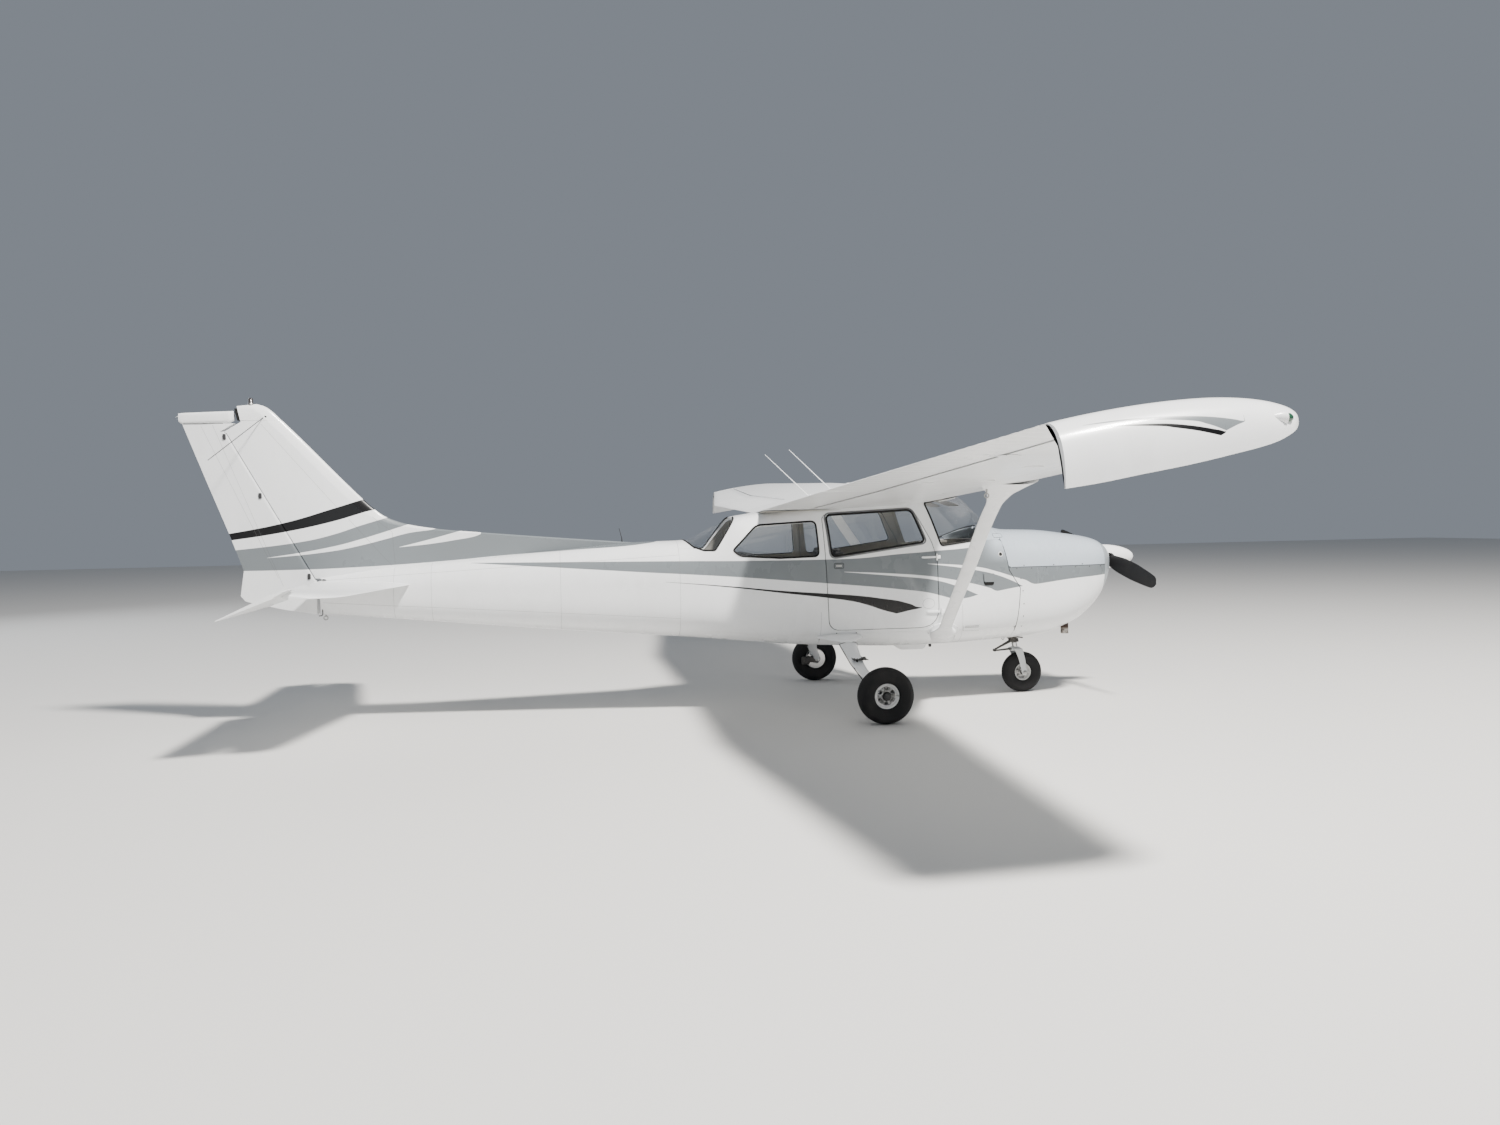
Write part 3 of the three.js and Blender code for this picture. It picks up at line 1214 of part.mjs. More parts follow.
const panels = cabinPanels();
add('cabin_side_left', panels.left, white);
add('cabin_side_right', panels.right, white);
add('cabin_belly', panels.belly, white);
add('cabin_deck', panels.deck, white);
add('cabin_top_rear', panels.top, white);
add('firewall', firewall(), steel);
add('cabin_floor', cabinFloor(), dark);
add('instrument_panel', instrumentPanel(), black);
const roofHalf = wingSolid(0, rootY - seam, 0);
const roofNear = wingSolid(0, rootY - seam, seam);
add('roof_section', union(roofHalf, mirrored(roofHalf)), white);
add('antenna_rear', roofAntenna(whipFeet[0], union(roofNear, mirrored(roofNear))), dark);
add('antenna_front', roofAntenna(whipFeet[1], union(roofNear, mirrored(roofNear))), dark);
add('windshield', glassSkin(windshieldOutline, 22, -farOut), glass);
add('rear_glass', glassSkin(backlightOutline, 14, -farOut), glass);
addPair('door', doorPanel(), white);
addPair('door_glass', glassSkin(doorWindow, 45, 100), glass);
addPair('side_glass', glassSkin(rearWindow, [45, 45, 10, 30, 20, 45], 100), glass);
add('baggage_door', baggageDoor(), white);
add('front_seat_left', frontSeat(245), fabric);
add('front_seat_right', frontSeat(-245), fabric);
add('rear_bench', rearBench(), fabric);

add('cowl_upper', cowl.upper, grey);
add('cowl_lower', cowl.lower, white);
add('nose_bowl', cowl.bowl, grey);
add('engine_block', engineBlock(), dark);
add('exhaust_pipe', exhaustPipe(), rust);
add('propeller', propellerSolid(), black);
add('spinner', spinner(), white);

addPair('wing', wing, white);
addPair('wing_tip', droopTip(), white);
addPair('flap', flap, white);
addPair('aileron', aileron, white);
addPair('wing_strut', strut(bodyGrown, wingGrown), white);

add('tail_cone', tailCone(), white);
addPair('stabilizer', stabilizer(bodyGrown), white);
add('elevators', elevators(), white);
add('fin', finSolid(bodyGrown), white);
add('fin_cap', finCap(), white);
add('rudder', rudderSolid(), white);
add('rudder_cap', rudderCap(), white);
add('tail_light', tailLight(), glass);
add('beacon', beacon(), redLens);

addPair('main_gear_leg', gearLeg(bodyGrown), white);
addPair('main_rim', rim(mainTyre, mainAxle, 19 + 1), white);
addPair('main_tyre', tyre(mainTyre, mainAxle), rubber);
add('nose_strut', noseStrut(), steel);
add('nose_fork', noseFork(), steel);
add('nose_rim', rim(noseTyre, noseAxle, 12 + 1), steel);
add('nose_tyre', tyre(noseTyre, noseAxle), rubber);

export default aircraft;
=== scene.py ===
# %% [markdown]
# # A parked high-wing light aircraft
# The solids of the aircraft come in as a fixed frame, in metres: X runs to the nose, Y to the left wing
# tip, Z up. Sheet metal looks smooth because light slides over it, and a faceted solid can't show that. So
# this lesson computes the skins again as smooth surfaces, each a function of two numbers, and lays them
# over the same solids.

# %% Load the frame
import numpy as np
import bmesh
import bpy
from mathutils import Matrix


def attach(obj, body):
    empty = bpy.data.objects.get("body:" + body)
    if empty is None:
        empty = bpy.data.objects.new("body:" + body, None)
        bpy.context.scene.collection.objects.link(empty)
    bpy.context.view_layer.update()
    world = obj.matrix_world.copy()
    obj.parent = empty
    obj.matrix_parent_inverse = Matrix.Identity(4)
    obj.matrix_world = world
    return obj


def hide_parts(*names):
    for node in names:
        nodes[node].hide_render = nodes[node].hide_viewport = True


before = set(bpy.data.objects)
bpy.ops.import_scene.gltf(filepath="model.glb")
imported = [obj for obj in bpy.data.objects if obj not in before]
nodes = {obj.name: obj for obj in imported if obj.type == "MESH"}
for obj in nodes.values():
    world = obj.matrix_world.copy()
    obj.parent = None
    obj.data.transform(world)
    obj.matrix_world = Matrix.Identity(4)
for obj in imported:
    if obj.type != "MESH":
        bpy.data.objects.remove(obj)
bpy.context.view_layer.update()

# %% [markdown]
# ## Camera
# The aircraft's own sizes are known, so the place of the camera was solved from them: it stands 9.8 m to
# the right of the middle line, at eye height, and looks slightly down and forward. A wide lens of 27 mm
# fits the frame.

# %% Camera
camera_place = np.array([-1.082, -9.831, 1.607])
yaw, pitch, roll = np.radians([9.339, -2.115, -1.074])
look = np.array([np.sin(yaw) * np.cos(pitch), np.cos(yaw) * np.cos(pitch), np.sin(pitch)])
level = np.array([np.cos(yaw), -np.sin(yaw), 0.0])
upright = np.cross(level, look)
right = level * np.cos(roll) + upright * np.sin(roll)
up = upright * np.cos(roll) - level * np.sin(roll)
camera_data = bpy.data.cameras.new("camera")
camera_data.sensor_width = 36.0
camera_data.lens = 27.343
camera_data.clip_end = 200.0
camera = bpy.data.objects.new("camera", camera_data)
matrix = np.identity(4)
matrix[:3, 0], matrix[:3, 1], matrix[:3, 2], matrix[:3, 3] = right, up, -look, camera_place
camera.matrix_world = Matrix(matrix.tolist())
bpy.context.scene.collection.objects.link(camera)
bpy.context.scene.camera = camera

# %% [markdown]
# ## Floor and light
# A pale floor and large soft lights let the paint show its own colours. The main light is high ahead of the
# nose on the camera's side, as in the open, and a wide weak one from above fills the shade under the wing.

# %% Floor and light
world = bpy.data.worlds.new("studio")
bpy.context.scene.world = world
world.use_nodes = True
world.node_tree.nodes["Background"].inputs["Color"].default_value = (0.72, 0.80, 0.92, 1.0)
world.node_tree.nodes["Background"].inputs["Strength"].default_value = 0.30


def soft_light(name, place, target, size, watts, colour=(1.0, 1.0, 1.0)):
    """A square area light at `place`, turned so that it shines at `target`."""
    data = bpy.data.lights.new(name, "AREA")
    data.size = size
    data.energy = watts
    data.color = colour
    lamp = bpy.data.objects.new(name, data)
    away = np.array(place, float) - np.array(target, float)
    away /= np.linalg.norm(away)
    side = np.cross([0.0, 0.0, 1.0], away)
    side /= np.linalg.norm(side)
    turned = np.identity(4)
    turned[:3, 0], turned[:3, 1], turned[:3, 2], turned[:3, 3] = side, np.cross(away, side), away, place
    lamp.matrix_world = Matrix(turned.tolist())
    bpy.context.scene.collection.objects.link(lamp)


soft_light("key", (6.0, -9.5, 18.0), (0.0, 0.0, 1.0), 2.2, 12500.0, (1.0, 0.97, 0.93))
soft_light("side_fill", (-4.0, -16.0, 5.0), (0.0, 0.0, 1.0), 9.0, 330.0, (0.95, 0.98, 1.0))
soft_light("rear_fill", (-12.0, 10.0, 8.0), (0.0, 0.0, 1.0), 9.0, 700.0, (0.9, 0.95, 1.0))

floor_data = bpy.data.meshes.new("floor")
reach = 45.0
floor_data.from_pydata([(-reach, -reach, 0), (reach, -reach, 0), (reach, reach, 0), (-reach, reach, 0)], [],
                       [(0, 1, 2, 3)])
floor = bpy.data.objects.new("floor", floor_data)
bpy.context.scene.collection.objects.link(floor)
floor_paint = bpy.data.materials.new("floor_paint")
floor_paint.use_nodes = True
floor_paint.node_tree.nodes["Principled BSDF"].inputs["Base Color"].default_value = (0.62, 0.61, 0.59, 1.0)
floor_paint.node_tree.nodes["Principled BSDF"].inputs["Roughness"].default_value = 0.85
floor_data.materials.append(floor_paint)

# %% [markdown]
# ## Making a mesh from arrays
# Every new piece is a grid of points worked out as whole arrays. One helper turns points and faces into an
# object, gives a sheet its thickness, marks its sharp edges, and hangs it on the body that carries it.

# %% Arrays to pieces
AXLE = 1.377
SIDES = ((1, "left"), (-1, "right"))


def row(points):
    """Points counted from the main wheels' axle line, moved into the frame's own place along X."""
    return np.asarray(points, float) + [AXLE, 0.0, 0.0]


def piece(name, part, material, body="airframe", node=None, wall=0.0, sharp=35.0, turn=None, slot=None):
    """A mesh object from a part's points and faces. A sheet gets its wall inwards, and edges over `sharp`
    degrees stay hard. `turn` says whether the faces are turned round, None leaves it to the volume that
    they enclose."""
    points, faces = part
    vertices = row(points)
    if turn is None:
        turn = bool(wall) and volume(vertices, faces) <= 0.0
    if turn:
        faces = [face[::-1] for face in faces]
    mesh = bpy.data.meshes.new(name)
    mesh.from_pydata(vertices.tolist(), [], [list(map(int, face)) for face in faces])
    form = bmesh.new()
    form.from_mesh(mesh)
    bmesh.ops.remove_doubles(form, verts=form.verts, dist=1e-6)
    if not wall:
        bmesh.ops.holes_fill(form, edges=[edge for edge in form.edges if edge.is_boundary])
        if form.calc_volume(signed=True) < 0:
            bmesh.ops.reverse_faces(form, faces=form.faces)
    form.to_mesh(mesh)
    form.free()
    made = bpy.data.objects.new(name, mesh)
    bpy.context.scene.collection.objects.link(made)
    for entry in material if isinstance(material, (list, tuple)) else [material]:
        mesh.materials.append(entry)
    if wall:
        solidify = made.modifiers.new("wall", "SOLIDIFY")
        solidify.thickness = wall
        solidify.offset = -1.0
        solidify.material_offset = len(material) - 1 if isinstance(material, (list, tuple)) else 0
        depsgraph = bpy.context.evaluated_depsgraph_get()
        made.data = bpy.data.meshes.new_from_object(made.evaluated_get(depsgraph))
        made.modifiers.clear()
    made.data.shade_smooth()
    made.data.set_sharp_from_angle(angle=np.radians(sharp))
    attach(made, body)
    if node:
        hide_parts(*([node] if isinstance(node, str) else node))
    return made


def grid_faces(rows, columns, closed=False):
    """Quads of a grid of rows x columns points. A closed grid joins its last column to its first."""
    i, j = np.meshgrid(np.arange(rows - 1), np.arange(columns if closed else columns - 1), indexing="ij")
    k = (j + 1) % columns
    quads = np.stack([i * columns + j, (i + 1) * columns + j, (i + 1) * columns + k, i * columns + k], -1)
    return quads.reshape(-1, 4).tolist()


def volume(vertices, faces):
    """Signed volume inside the faces, positive when they point outward, measured from the middle of the
    points."""
    centred = vertices - vertices.mean(0)
    total = 0.0
    for corners in (3, 4):
        chosen = np.array([face for face in faces if len(face) == corners], int).reshape(-1, corners)
        for k in range(1, corners - 1):
            a, b, c = (centred[chosen[:, j]] for j in (0, k, k + 1))
            total += np.einsum("ij,ij->i", a, np.cross(b, c)).sum() / 6
    return total


def facing_out(vertices, faces):
    """The same part with its faces turned round when they point inward."""
    vertices = np.asarray(vertices, float)
    return (vertices, [face[::-1] for face in faces]) if volume(vertices, faces) < 0 else (vertices, faces)


def capped(points):
    """A tube of rings (rows, columns, 3) with a fan at each end: its points and faces."""
    rows, columns = points.shape[:2]
    vertices = np.concatenate([points.reshape(-1, 3), points[0].mean(0)[None], points[-1].mean(0)[None]])
    faces = grid_faces(rows, columns, True)
    j = np.arange(columns)
    k = (j + 1) % columns
    first = rows * columns
    last = (rows - 1) * columns
    faces += np.stack([np.full_like(j, first), j, k], -1).tolist()
    faces += np.stack([np.full_like(j, first + 1), last + k, last + j], -1).tolist()
    return facing_out(vertices, faces)


def joined(*parts):
    """Several (points, faces) lists as one."""
    vertices, faces, start = [], [], 0
    for points, quads in parts:
        points = np.asarray(points, float).reshape(-1, 3)
        vertices.append(points)
        faces += [[index + start for index in face] for face in quads]
        start += len(points)
    return np.concatenate(vertices), faces


def flipped(part):
    """The same (points, faces) on the other side of the aircraft, with its faces turned round."""
    points, faces = part
    return np.asarray(points, float) * [1.0, -1.0, 1.0], [face[::-1] for face in faces]


def on_side(part, side):
    """The left part itself, or its mirror image on the right side."""
    return part if side > 0 else flipped(part)


def both_sides(name, part, material, slot, **ends):
    """A left part and its mirror image as two pieces. Name, body and node all end in _left or _right."""
    for side, label in SIDES:
        links = {key: value + "_" + label for key, value in ends.items()}
        piece(name + "_" + label, on_side(part, side), material, slot=slot, **links)


def spread(x, y, z):
    """Points from three arrays of coordinates that are stretched to one shape."""
    return np.stack(np.broadcast_arrays(x, y, z), -1)


def signed_power(value, exponent):
    """The value's size raised to the exponent, with the value's own sign."""
    return np.sign(value) * np.abs(value) ** exponent


# %% [markdown]
# ## Materials
# Paint on sheet metal is a coloured layer with a clear coat. Outdoors it gets faint dirt streaks and dull
# patches. That wear is one node group that every painted part shares, with its own strength in each.

# %% Shader helpers
class Net:
    """Short names for making and joining shader nodes in one tree."""

    def __init__(self, tree):
        self.tree = tree

    def put(self, socket, value):
        if isinstance(value, bpy.types.NodeSocket):
            self.tree.links.new(value, socket)
        elif value is not None:
            socket.default_value = value

    def node(self, kind, inputs=None, **settings):
        made = self.tree.nodes.new(kind)
        for key, value in settings.items():
            setattr(made, key, value)
        for key, value in (inputs or {}).items():
            self.put(made.inputs[key], value)
        return made

    def math(self, operation, a, b=None, c=None, clamp=False):
        made = self.node("ShaderNodeMath", operation=operation, use_clamp=clamp)
        for socket, value in zip(made.inputs, (a, b, c)):
            self.put(socket, value)
        return made.outputs[0]

    def mix(self, factor, a, b):
        made = self.node("ShaderNodeMix", data_type="RGBA")
        self.put(made.inputs[0], factor)
        self.put(made.inputs[6], a)
        self.put(made.inputs[7], b)
        return made.outputs[2]

    def axes(self, vector):
        made = self.node("ShaderNodeSeparateXYZ", {0: vector})
        return made.outputs

    def place(self):
        return self.node("ShaderNodeTexCoord").outputs["Object"]

    def noise(self, vector, scale, detail=4.0, roughness=0.55, stretch=None):
        if stretch:
            vector = self.node("ShaderNodeMapping", {"Vector": vector, "Scale": stretch}).outputs[0]
        return self.node("ShaderNodeTexNoise", {"Vector": vector, "Scale": scale, "Detail": detail,
                                                "Roughness": roughness}).outputs["Fac"]

    def ramp(self, value, low, high):
        """0 below low, 1 above high, straight in between."""
        made = self.node("ShaderNodeMapRange", {"Value": value, "From Min": low, "From Max": high})
        return made.outputs[0]


def group(name, inputs, outputs):
    """An empty node group with named sockets, and the net to fill it with."""
    tree = bpy.data.node_groups.new(name, "ShaderNodeTree")
    for label, kind, value in inputs:
        socket = tree.interface.new_socket(name=label, in_out="INPUT", socket_type=kind)
        if value is not None:
            socket.default_value = value
    for label, kind in outputs:
        tree.interface.new_socket(name=label, in_out="OUTPUT", socket_type=kind)
    net = Net(tree)
    return net, net.node("NodeGroupInput").outputs, net.node("NodeGroupOutput").inputs


VECTOR, FLOAT = "NodeSocketVector", "NodeSocketFloat"

# %% Outdoor wear
net, given, out = group("outdoor wear", [("Place", VECTOR, None), ("Dirt", FLOAT, 0.3)],
                        [("Dirt", FLOAT), ("Dullness", FLOAT), ("Height", FLOAT)])
cloud = net.noise(given["Place"], 1.7, 5.0)
streak = net.noise(given["Place"], 5.0, 5.0, 0.6, (1.6, 1.6, 0.8))
speck = net.noise(given["Place"], 160.0, 2.0)
blotch = net.math("MULTIPLY", net.ramp(cloud, 0.42, 0.75), net.ramp(streak, 0.4, 0.8))
spots = net.math("MULTIPLY", net.ramp(speck, 0.68, 0.74), 0.45)
total = net.math("ADD", net.math("MULTIPLY", blotch, 0.6), spots)
net.put(out["Dirt"], net.math("MULTIPLY", total, given["Dirt"], clamp=True))
net.put(out["Dullness"], net.math("MULTIPLY_ADD", cloud, 0.2, net.math("MULTIPLY", streak, 0.12)))
net.put(out["Height"], net.noise(given["Place"], 5.0, 3.0))
outdoor_wear = net.tree

# %% [markdown]
# The panels are held by rows of rivets and meet in thin dark lines. One group draws a row: a line where one
# coordinate passes a value, with dots every few centimetres along another. The skin's bump reads the dots.

# %% Seam groups
def line_and_rivets(net, off, along, pitch):
    """A line where `off` is zero, and rivets 11 mm beside it, one for every `pitch` along it."""
    line = net.math("SUBTRACT", 1.0, net.ramp(net.math("ABSOLUTE", off), 0.0009, 0.0019), clamp=True)
    beside = net.math("SUBTRACT", net.math("ABSOLUTE", off), 0.011)
    share = net.math("SUBTRACT", net.math("FRACT", net.math("DIVIDE", along, pitch)), 0.5)
    cell = net.math("MULTIPLY", share, pitch)
    reach = net.math("SQRT", net.math("ADD", net.math("MULTIPLY", beside, beside),
                                      net.math("MULTIPLY", cell, cell)))
    return line, net.math("SUBTRACT", 1.0, net.ramp(reach, 0.0018, 0.0034), clamp=True)


net, given, out = group("riveted seam", [("Across", FLOAT, 0.0), ("Along", FLOAT, 0.0), ("At", FLOAT, 0.0),
                                         ("Pitch", FLOAT, 0.03)], [("Line", FLOAT), ("Rivets", FLOAT)])
away = net.math("SUBTRACT", given["Across"], given["At"])
line, rivets = line_and_rivets(net, away, given["Along"], given["Pitch"])
net.put(out["Line"], line)
net.put(out["Rivets"], rivets)
riveted_seam = net.tree

net, given, out = group("line between points",
                        [(label, FLOAT, 0.0) for label in ("U", "V", "U0", "V0", "U1", "V1")]
                        + [("Pitch", FLOAT, 0.03)], [("Line", FLOAT), ("Rivets", FLOAT)])
du = net.math("SUBTRACT", given["U1"], given["U0"])
dv = net.math("SUBTRACT", given["V1"], given["V0"])
length = net.math("SQRT", net.math("ADD", net.math("MULTIPLY", du, du), net.math("MULTIPLY", dv, dv)))
pu = net.math("SUBTRACT", given["U"], given["U0"])
pv = net.math("SUBTRACT", given["V"], given["V0"])
along = net.math("DIVIDE", net.math("ADD", net.math("MULTIPLY", pu, du), net.math("MULTIPLY", pv, dv)),
                 length)
off = net.math("DIVIDE", net.math("SUBTRACT", net.math("MULTIPLY", pu, dv), net.math("MULTIPLY", pv, du)),
               length)
between = net.math("MULTIPLY", net.math("GREATER_THAN", along, 0.0), net.math("LESS_THAN", along, length))
line, rivets = line_and_rivets(net, off, along, given["Pitch"])
net.put(out["Line"], net.math("MULTIPLY", line, between))
net.put(out["Rivets"], net.math("MULTIPLY", rivets, between))
seam_between = net.tree


# %% [markdown]
# ## The paint scheme
# Seen from the side the scheme is a set of long swooshes. Each is bounded by an upper and a lower curve
# over X, so it is a short table of (x, low z, high z), and a curve node runs smoothly through each column.

# %% Stripe masks
STRIPE_EDGE = 0.0012


def stripe(net, x, z, table):
    """1 inside the band between two curves over x. Rows: x from the axle line, lower z, upper z."""
    table = np.array(table, float)
    x0, x1 = table[0, 0] + AXLE, table[-1, 0] + AXLE
    z0, z1 = table[:, 1:].min() - 0.01, table[:, 1:].max() + 0.01
    share = net.ramp(x, x0, x1)
    edges = []
    for column in (1, 2):
        curve = net.node("ShaderNodeFloatCurve", {"Value": share})
        track = curve.mapping.curves[0]
        across, height = (table[:, 0] + AXLE - x0) / (x1 - x0), (table[:, column] - z0) / (z1 - z0)
        for k, place in enumerate(zip(across, height)):
            if k in (0, len(table) - 1):
                point = track.points[min(k, 1)]
            else:
                point = track.points.new(*place)
            point.location = place
            before, after = table[max(k - 1, 0)], table[min(k + 1, len(table) - 1)]
            slopes = [(b[column] - a[column]) / max(b[0] - a[0], 1e-6)
                      for a, b in ((before, table[k]), (table[k], after))]
            if 0 < k < len(table) - 1 and abs(slopes[1] - slopes[0]) > 0.2:
                point.handle_type = "VECTOR"
        curve.mapping.update()
        edges.append(net.math("MULTIPLY_ADD", curve.outputs[0], z1 - z0, z0))
    above = net.ramp(net.math("SUBTRACT", z, edges[0]), -STRIPE_EDGE, STRIPE_EDGE)
    below = net.ramp(net.math("SUBTRACT", edges[1], z), -STRIPE_EDGE, STRIPE_EDGE)
    ends = net.math("MULTIPLY", net.ramp(x, x0 - 0.001, x0 + 0.001), net.ramp(x, x1 + 0.001, x1 - 0.001))
    return net.math("MULTIPLY", net.math("MULTIPLY", above, below), ends)


def any_of(net, masks):
    """The largest of several masks."""
    total = masks[0]
    for mask in masks[1:]:
        total = net.math("MAXIMUM", total, mask)
    return total


# %% Side scheme
SIDE_GREY = [
    [[-3.21, 1.296, 1.298], [-2.7, 1.26, 1.293], [-2.27, 1.228, 1.288], [-1.8, 1.193, 1.283],
     [-1.4, 1.166, 1.278], [-1.0, 1.136, 1.272], [-0.64, 1.103, 1.27], [-0.28, 1.068, 1.268],
     [0.0, 1.041, 1.272], [0.36, 1.0, 1.3], [0.58, 0.97, 1.312], [0.72, 0.935, 1.322], [0.82, 0.905, 1.33],
     [0.913, 0.906, 1.336], [1.062, 0.935, 1.352], [1.122, 0.943, 1.360], [1.130, 0.944, 1.6],
     [1.487, 0.996, 1.6], [1.62, 1.01, 1.6], [1.88, 1.04, 1.6], [2.5, 1.1, 1.6]],
]
SIDE_WHITE = [
    [[-0.128, 1.159, 1.161], [0.18, 1.13, 1.146], [0.355, 1.11, 1.131], [0.574, 1.086, 1.11],
     [0.70, 1.062, 1.092], [0.838, 1.021, 1.067], [0.95, 0.978, 1.043], [1.062, 0.931, 1.016],
     [1.16, 0.9, 0.988], [1.259, 0.9, 0.96]],
    [[0.6, 1.21, 1.212], [0.916, 1.167, 1.19], [1.052, 1.142, 1.172], [1.22, 1.101, 1.131],
     [1.378, 1.042, 1.082], [1.487, 0.99, 1.05], [1.619, 0.95, 1.01]],
    [[0.584, 1.318, 1.4], [0.95, 1.338, 1.41], [1.040, 1.346, 1.43], [1.122, 1.360, 1.44]],
]
SIDE_BLACK = [
    [[-1.62, 1.108, 1.110], [-1.32, 1.079, 1.088], [-1.07, 1.051, 1.061], [-0.64, 0.994, 1.014],
     [-0.27, 0.945, 0.981], [-0.05, 0.908, 0.961], [0.09, 0.869, 0.944], [0.2, 0.829, 0.926],
     [0.321, 0.795, 0.907], [0.44, 0.819, 0.875], [0.554, 0.842, 0.844]],
]
FIN_BLACK = [[[-5.13, 1.521, 1.577], [-4.9, 1.552, 1.616], [-4.68, 1.585, 1.66], [-4.32, 1.66, 1.763],
              [-4.07, 1.733, 1.842], [-3.88, 1.792, 1.906]]]
FIN_GREY = [[[-5.1, 1.272, 1.441], [-4.77, 1.272, 1.471], [-4.53, 1.273, 1.505], [-4.32, 1.277, 1.552],
             [-4.09, 1.284, 1.626], [-3.88, 1.292, 1.69], [-3.6, 1.306, 1.8], [-3.3, 1.325, 1.8],
             [-3.02, 1.347, 1.8], [-2.38, 1.386, 1.8], [-1.82, 1.421, 1.6], [-1.6, 1.46, 1.6]]]
FIN_WHITE = [
    [[-4.833, 1.374, 1.376], [-4.55, 1.386, 1.41], [-4.32, 1.419, 1.456], [-4.09, 1.462, 1.514],
     [-3.9, 1.509, 1.571], [-3.72, 1.555, 1.628], [-3.48, 1.595, 1.7]],
    [[-3.793, 1.439, 1.441], [-3.56, 1.449, 1.502], [-3.366, 1.486, 1.548], [-3.13, 1.538, 1.62]],
]
WHITE = (0.83, 0.84, 0.845, 1.0)
GREY = (0.160, 0.178, 0.188, 1.0)
PALE_GREY = (0.42, 0.47, 0.52, 1.0)
BLACK = (0.004, 0.004, 0.0045, 1.0)


def livery(net):
    """The side scheme's colour at each point of the fuselage and fin, with a fade of painted light ahead of
    the windshield.
    """
    x, _, z = net.axes(net.place())
    grey = any_of(net, [stripe(net, x, z, t) for t in SIDE_GREY + FIN_GREY])
    white = any_of(net, [stripe(net, x, z, t) for t in SIDE_WHITE + FIN_WHITE])
    black = any_of(net, [stripe(net, x, z, t) for t in SIDE_BLACK + FIN_BLACK])
    # Ahead of the windshield the grey band fades up into pale grey between z 1.20 and 1.37: painted light,
    # the side lighter towards the top. The pale grey itself is the upper cowl's paint.
    forward, upward = net.ramp(x, 1.08 + AXLE, 1.24 + AXLE), net.ramp(z, 1.20, 1.37)
    top_fade_painted_light = net.mix(net.math("MULTIPLY", forward, upward), GREY, PALE_GREY)
    colour = net.mix(grey, WHITE, top_fade_painted_light)
    colour = net.mix(white, colour, WHITE)
    return net.mix(black, colour, BLACK)


# %% Paint material
def new_material(name):
    """A new material, the net of its nodes and its Principled shader."""
    material = bpy.data.materials.new(name)
    material.use_nodes = True
    return material, Net(material.node_tree), material.node_tree.nodes["Principled BSDF"]


def worn(net, place, dirt):
    """The outdoor wear in one material, with that material's own share of dirt."""
    wear = net.node("ShaderNodeGroup", node_tree=outdoor_wear)
    net.put(wear.inputs["Place"], place)
    wear.inputs["Dirt"].default_value = dirt
    return wear.outputs


def paint(name, colour=WHITE, scheme=None, seams=(), lines=(), dirt=0.35, rough=0.24):
    """Gloss paint: a colour or a scheme, dirt over it, riveted seams in its bump. Seams: (axis, at, along,
    pitch). Lines: (first axis, second axis, from, to), each end a pair of numbers on those axes."""
    material, net, shader = new_material(name)
    place = net.place()
    wear = worn(net, place, dirt)
    base = scheme(net) if scheme else colour
    if scheme:
        light = net.node("ShaderNodeRGBToBW", {"Color": base}).outputs[0]
        soiled = net.math("MULTIPLY", wear["Dirt"], net.ramp(light, 0.01, 0.6))
        net.put(shader.inputs["Coat Weight"],
                net.math("MULTIPLY_ADD", net.ramp(light, 0.01, 0.12), 0.26, 0.02))
    else:
        soiled = wear["Dirt"]
    base = net.mix(soiled, base, (0.24, 0.22, 0.19, 1.0))
    height = net.math("MULTIPLY", wear["Height"], 0.25)
    xyz = net.axes(place)
    if seams or lines:
        marks, dots = [], []
        for first, second, start, stop in lines:
            seam = net.node("ShaderNodeGroup", node_tree=seam_between)
            net.put(seam.inputs["U"], xyz[first])
            net.put(seam.inputs["V"], xyz[second])
            for end, (u, v) in (("0", start), ("1", stop)):
                seam.inputs["U" + end].default_value = u + (AXLE if first == 0 else 0.0)
                seam.inputs["V" + end].default_value = v + (AXLE if second == 0 else 0.0)
            marks.append(seam.outputs["Line"])
            dots.append(seam.outputs["Rivets"])
        for axis, at, along, pitch in seams:
            seam = net.node("ShaderNodeGroup", node_tree=riveted_seam)
            net.put(seam.inputs["Across"], xyz[axis])
            net.put(seam.inputs["Along"], xyz[along])
            seam.inputs["At"].default_value = at
            seam.inputs["Pitch"].default_value = pitch
            marks.append(seam.outputs["Line"])
            dots.append(seam.outputs["Rivets"])
        mark, dot = any_of(net, marks), any_of(net, dots)
        base = net.mix(net.math("MULTIPLY", mark, 0.55), base, (0.10, 0.10, 0.10, 1.0))
        base = net.mix(net.math("MULTIPLY", dot, 0.12), base, (0.2, 0.19, 0.18, 1.0))
        relief = net.math("SUBTRACT", net.math("MULTIPLY", dot, 0.5), net.math("MULTIPLY", mark, 0.8))
        height = net.math("ADD", height, relief)
    net.put(shader.inputs["Base Color"], base)
    net.put(shader.inputs["Roughness"], net.math("ADD", wear["Dullness"], rough - 0.12))
    shader.inputs["Specular IOR Level"].default_value = 0.3
    if not scheme:
        shader.inputs["Coat Weight"].default_value = 0.28
    shader.inputs["Coat Roughness"].default_value = 0.1
    bumped = net.node("ShaderNodeBump", {"Height": height, "Strength": 0.15, "Distance": 0.004})
    net.put(shader.inputs["Normal"], bumped.outputs[0])
    return material


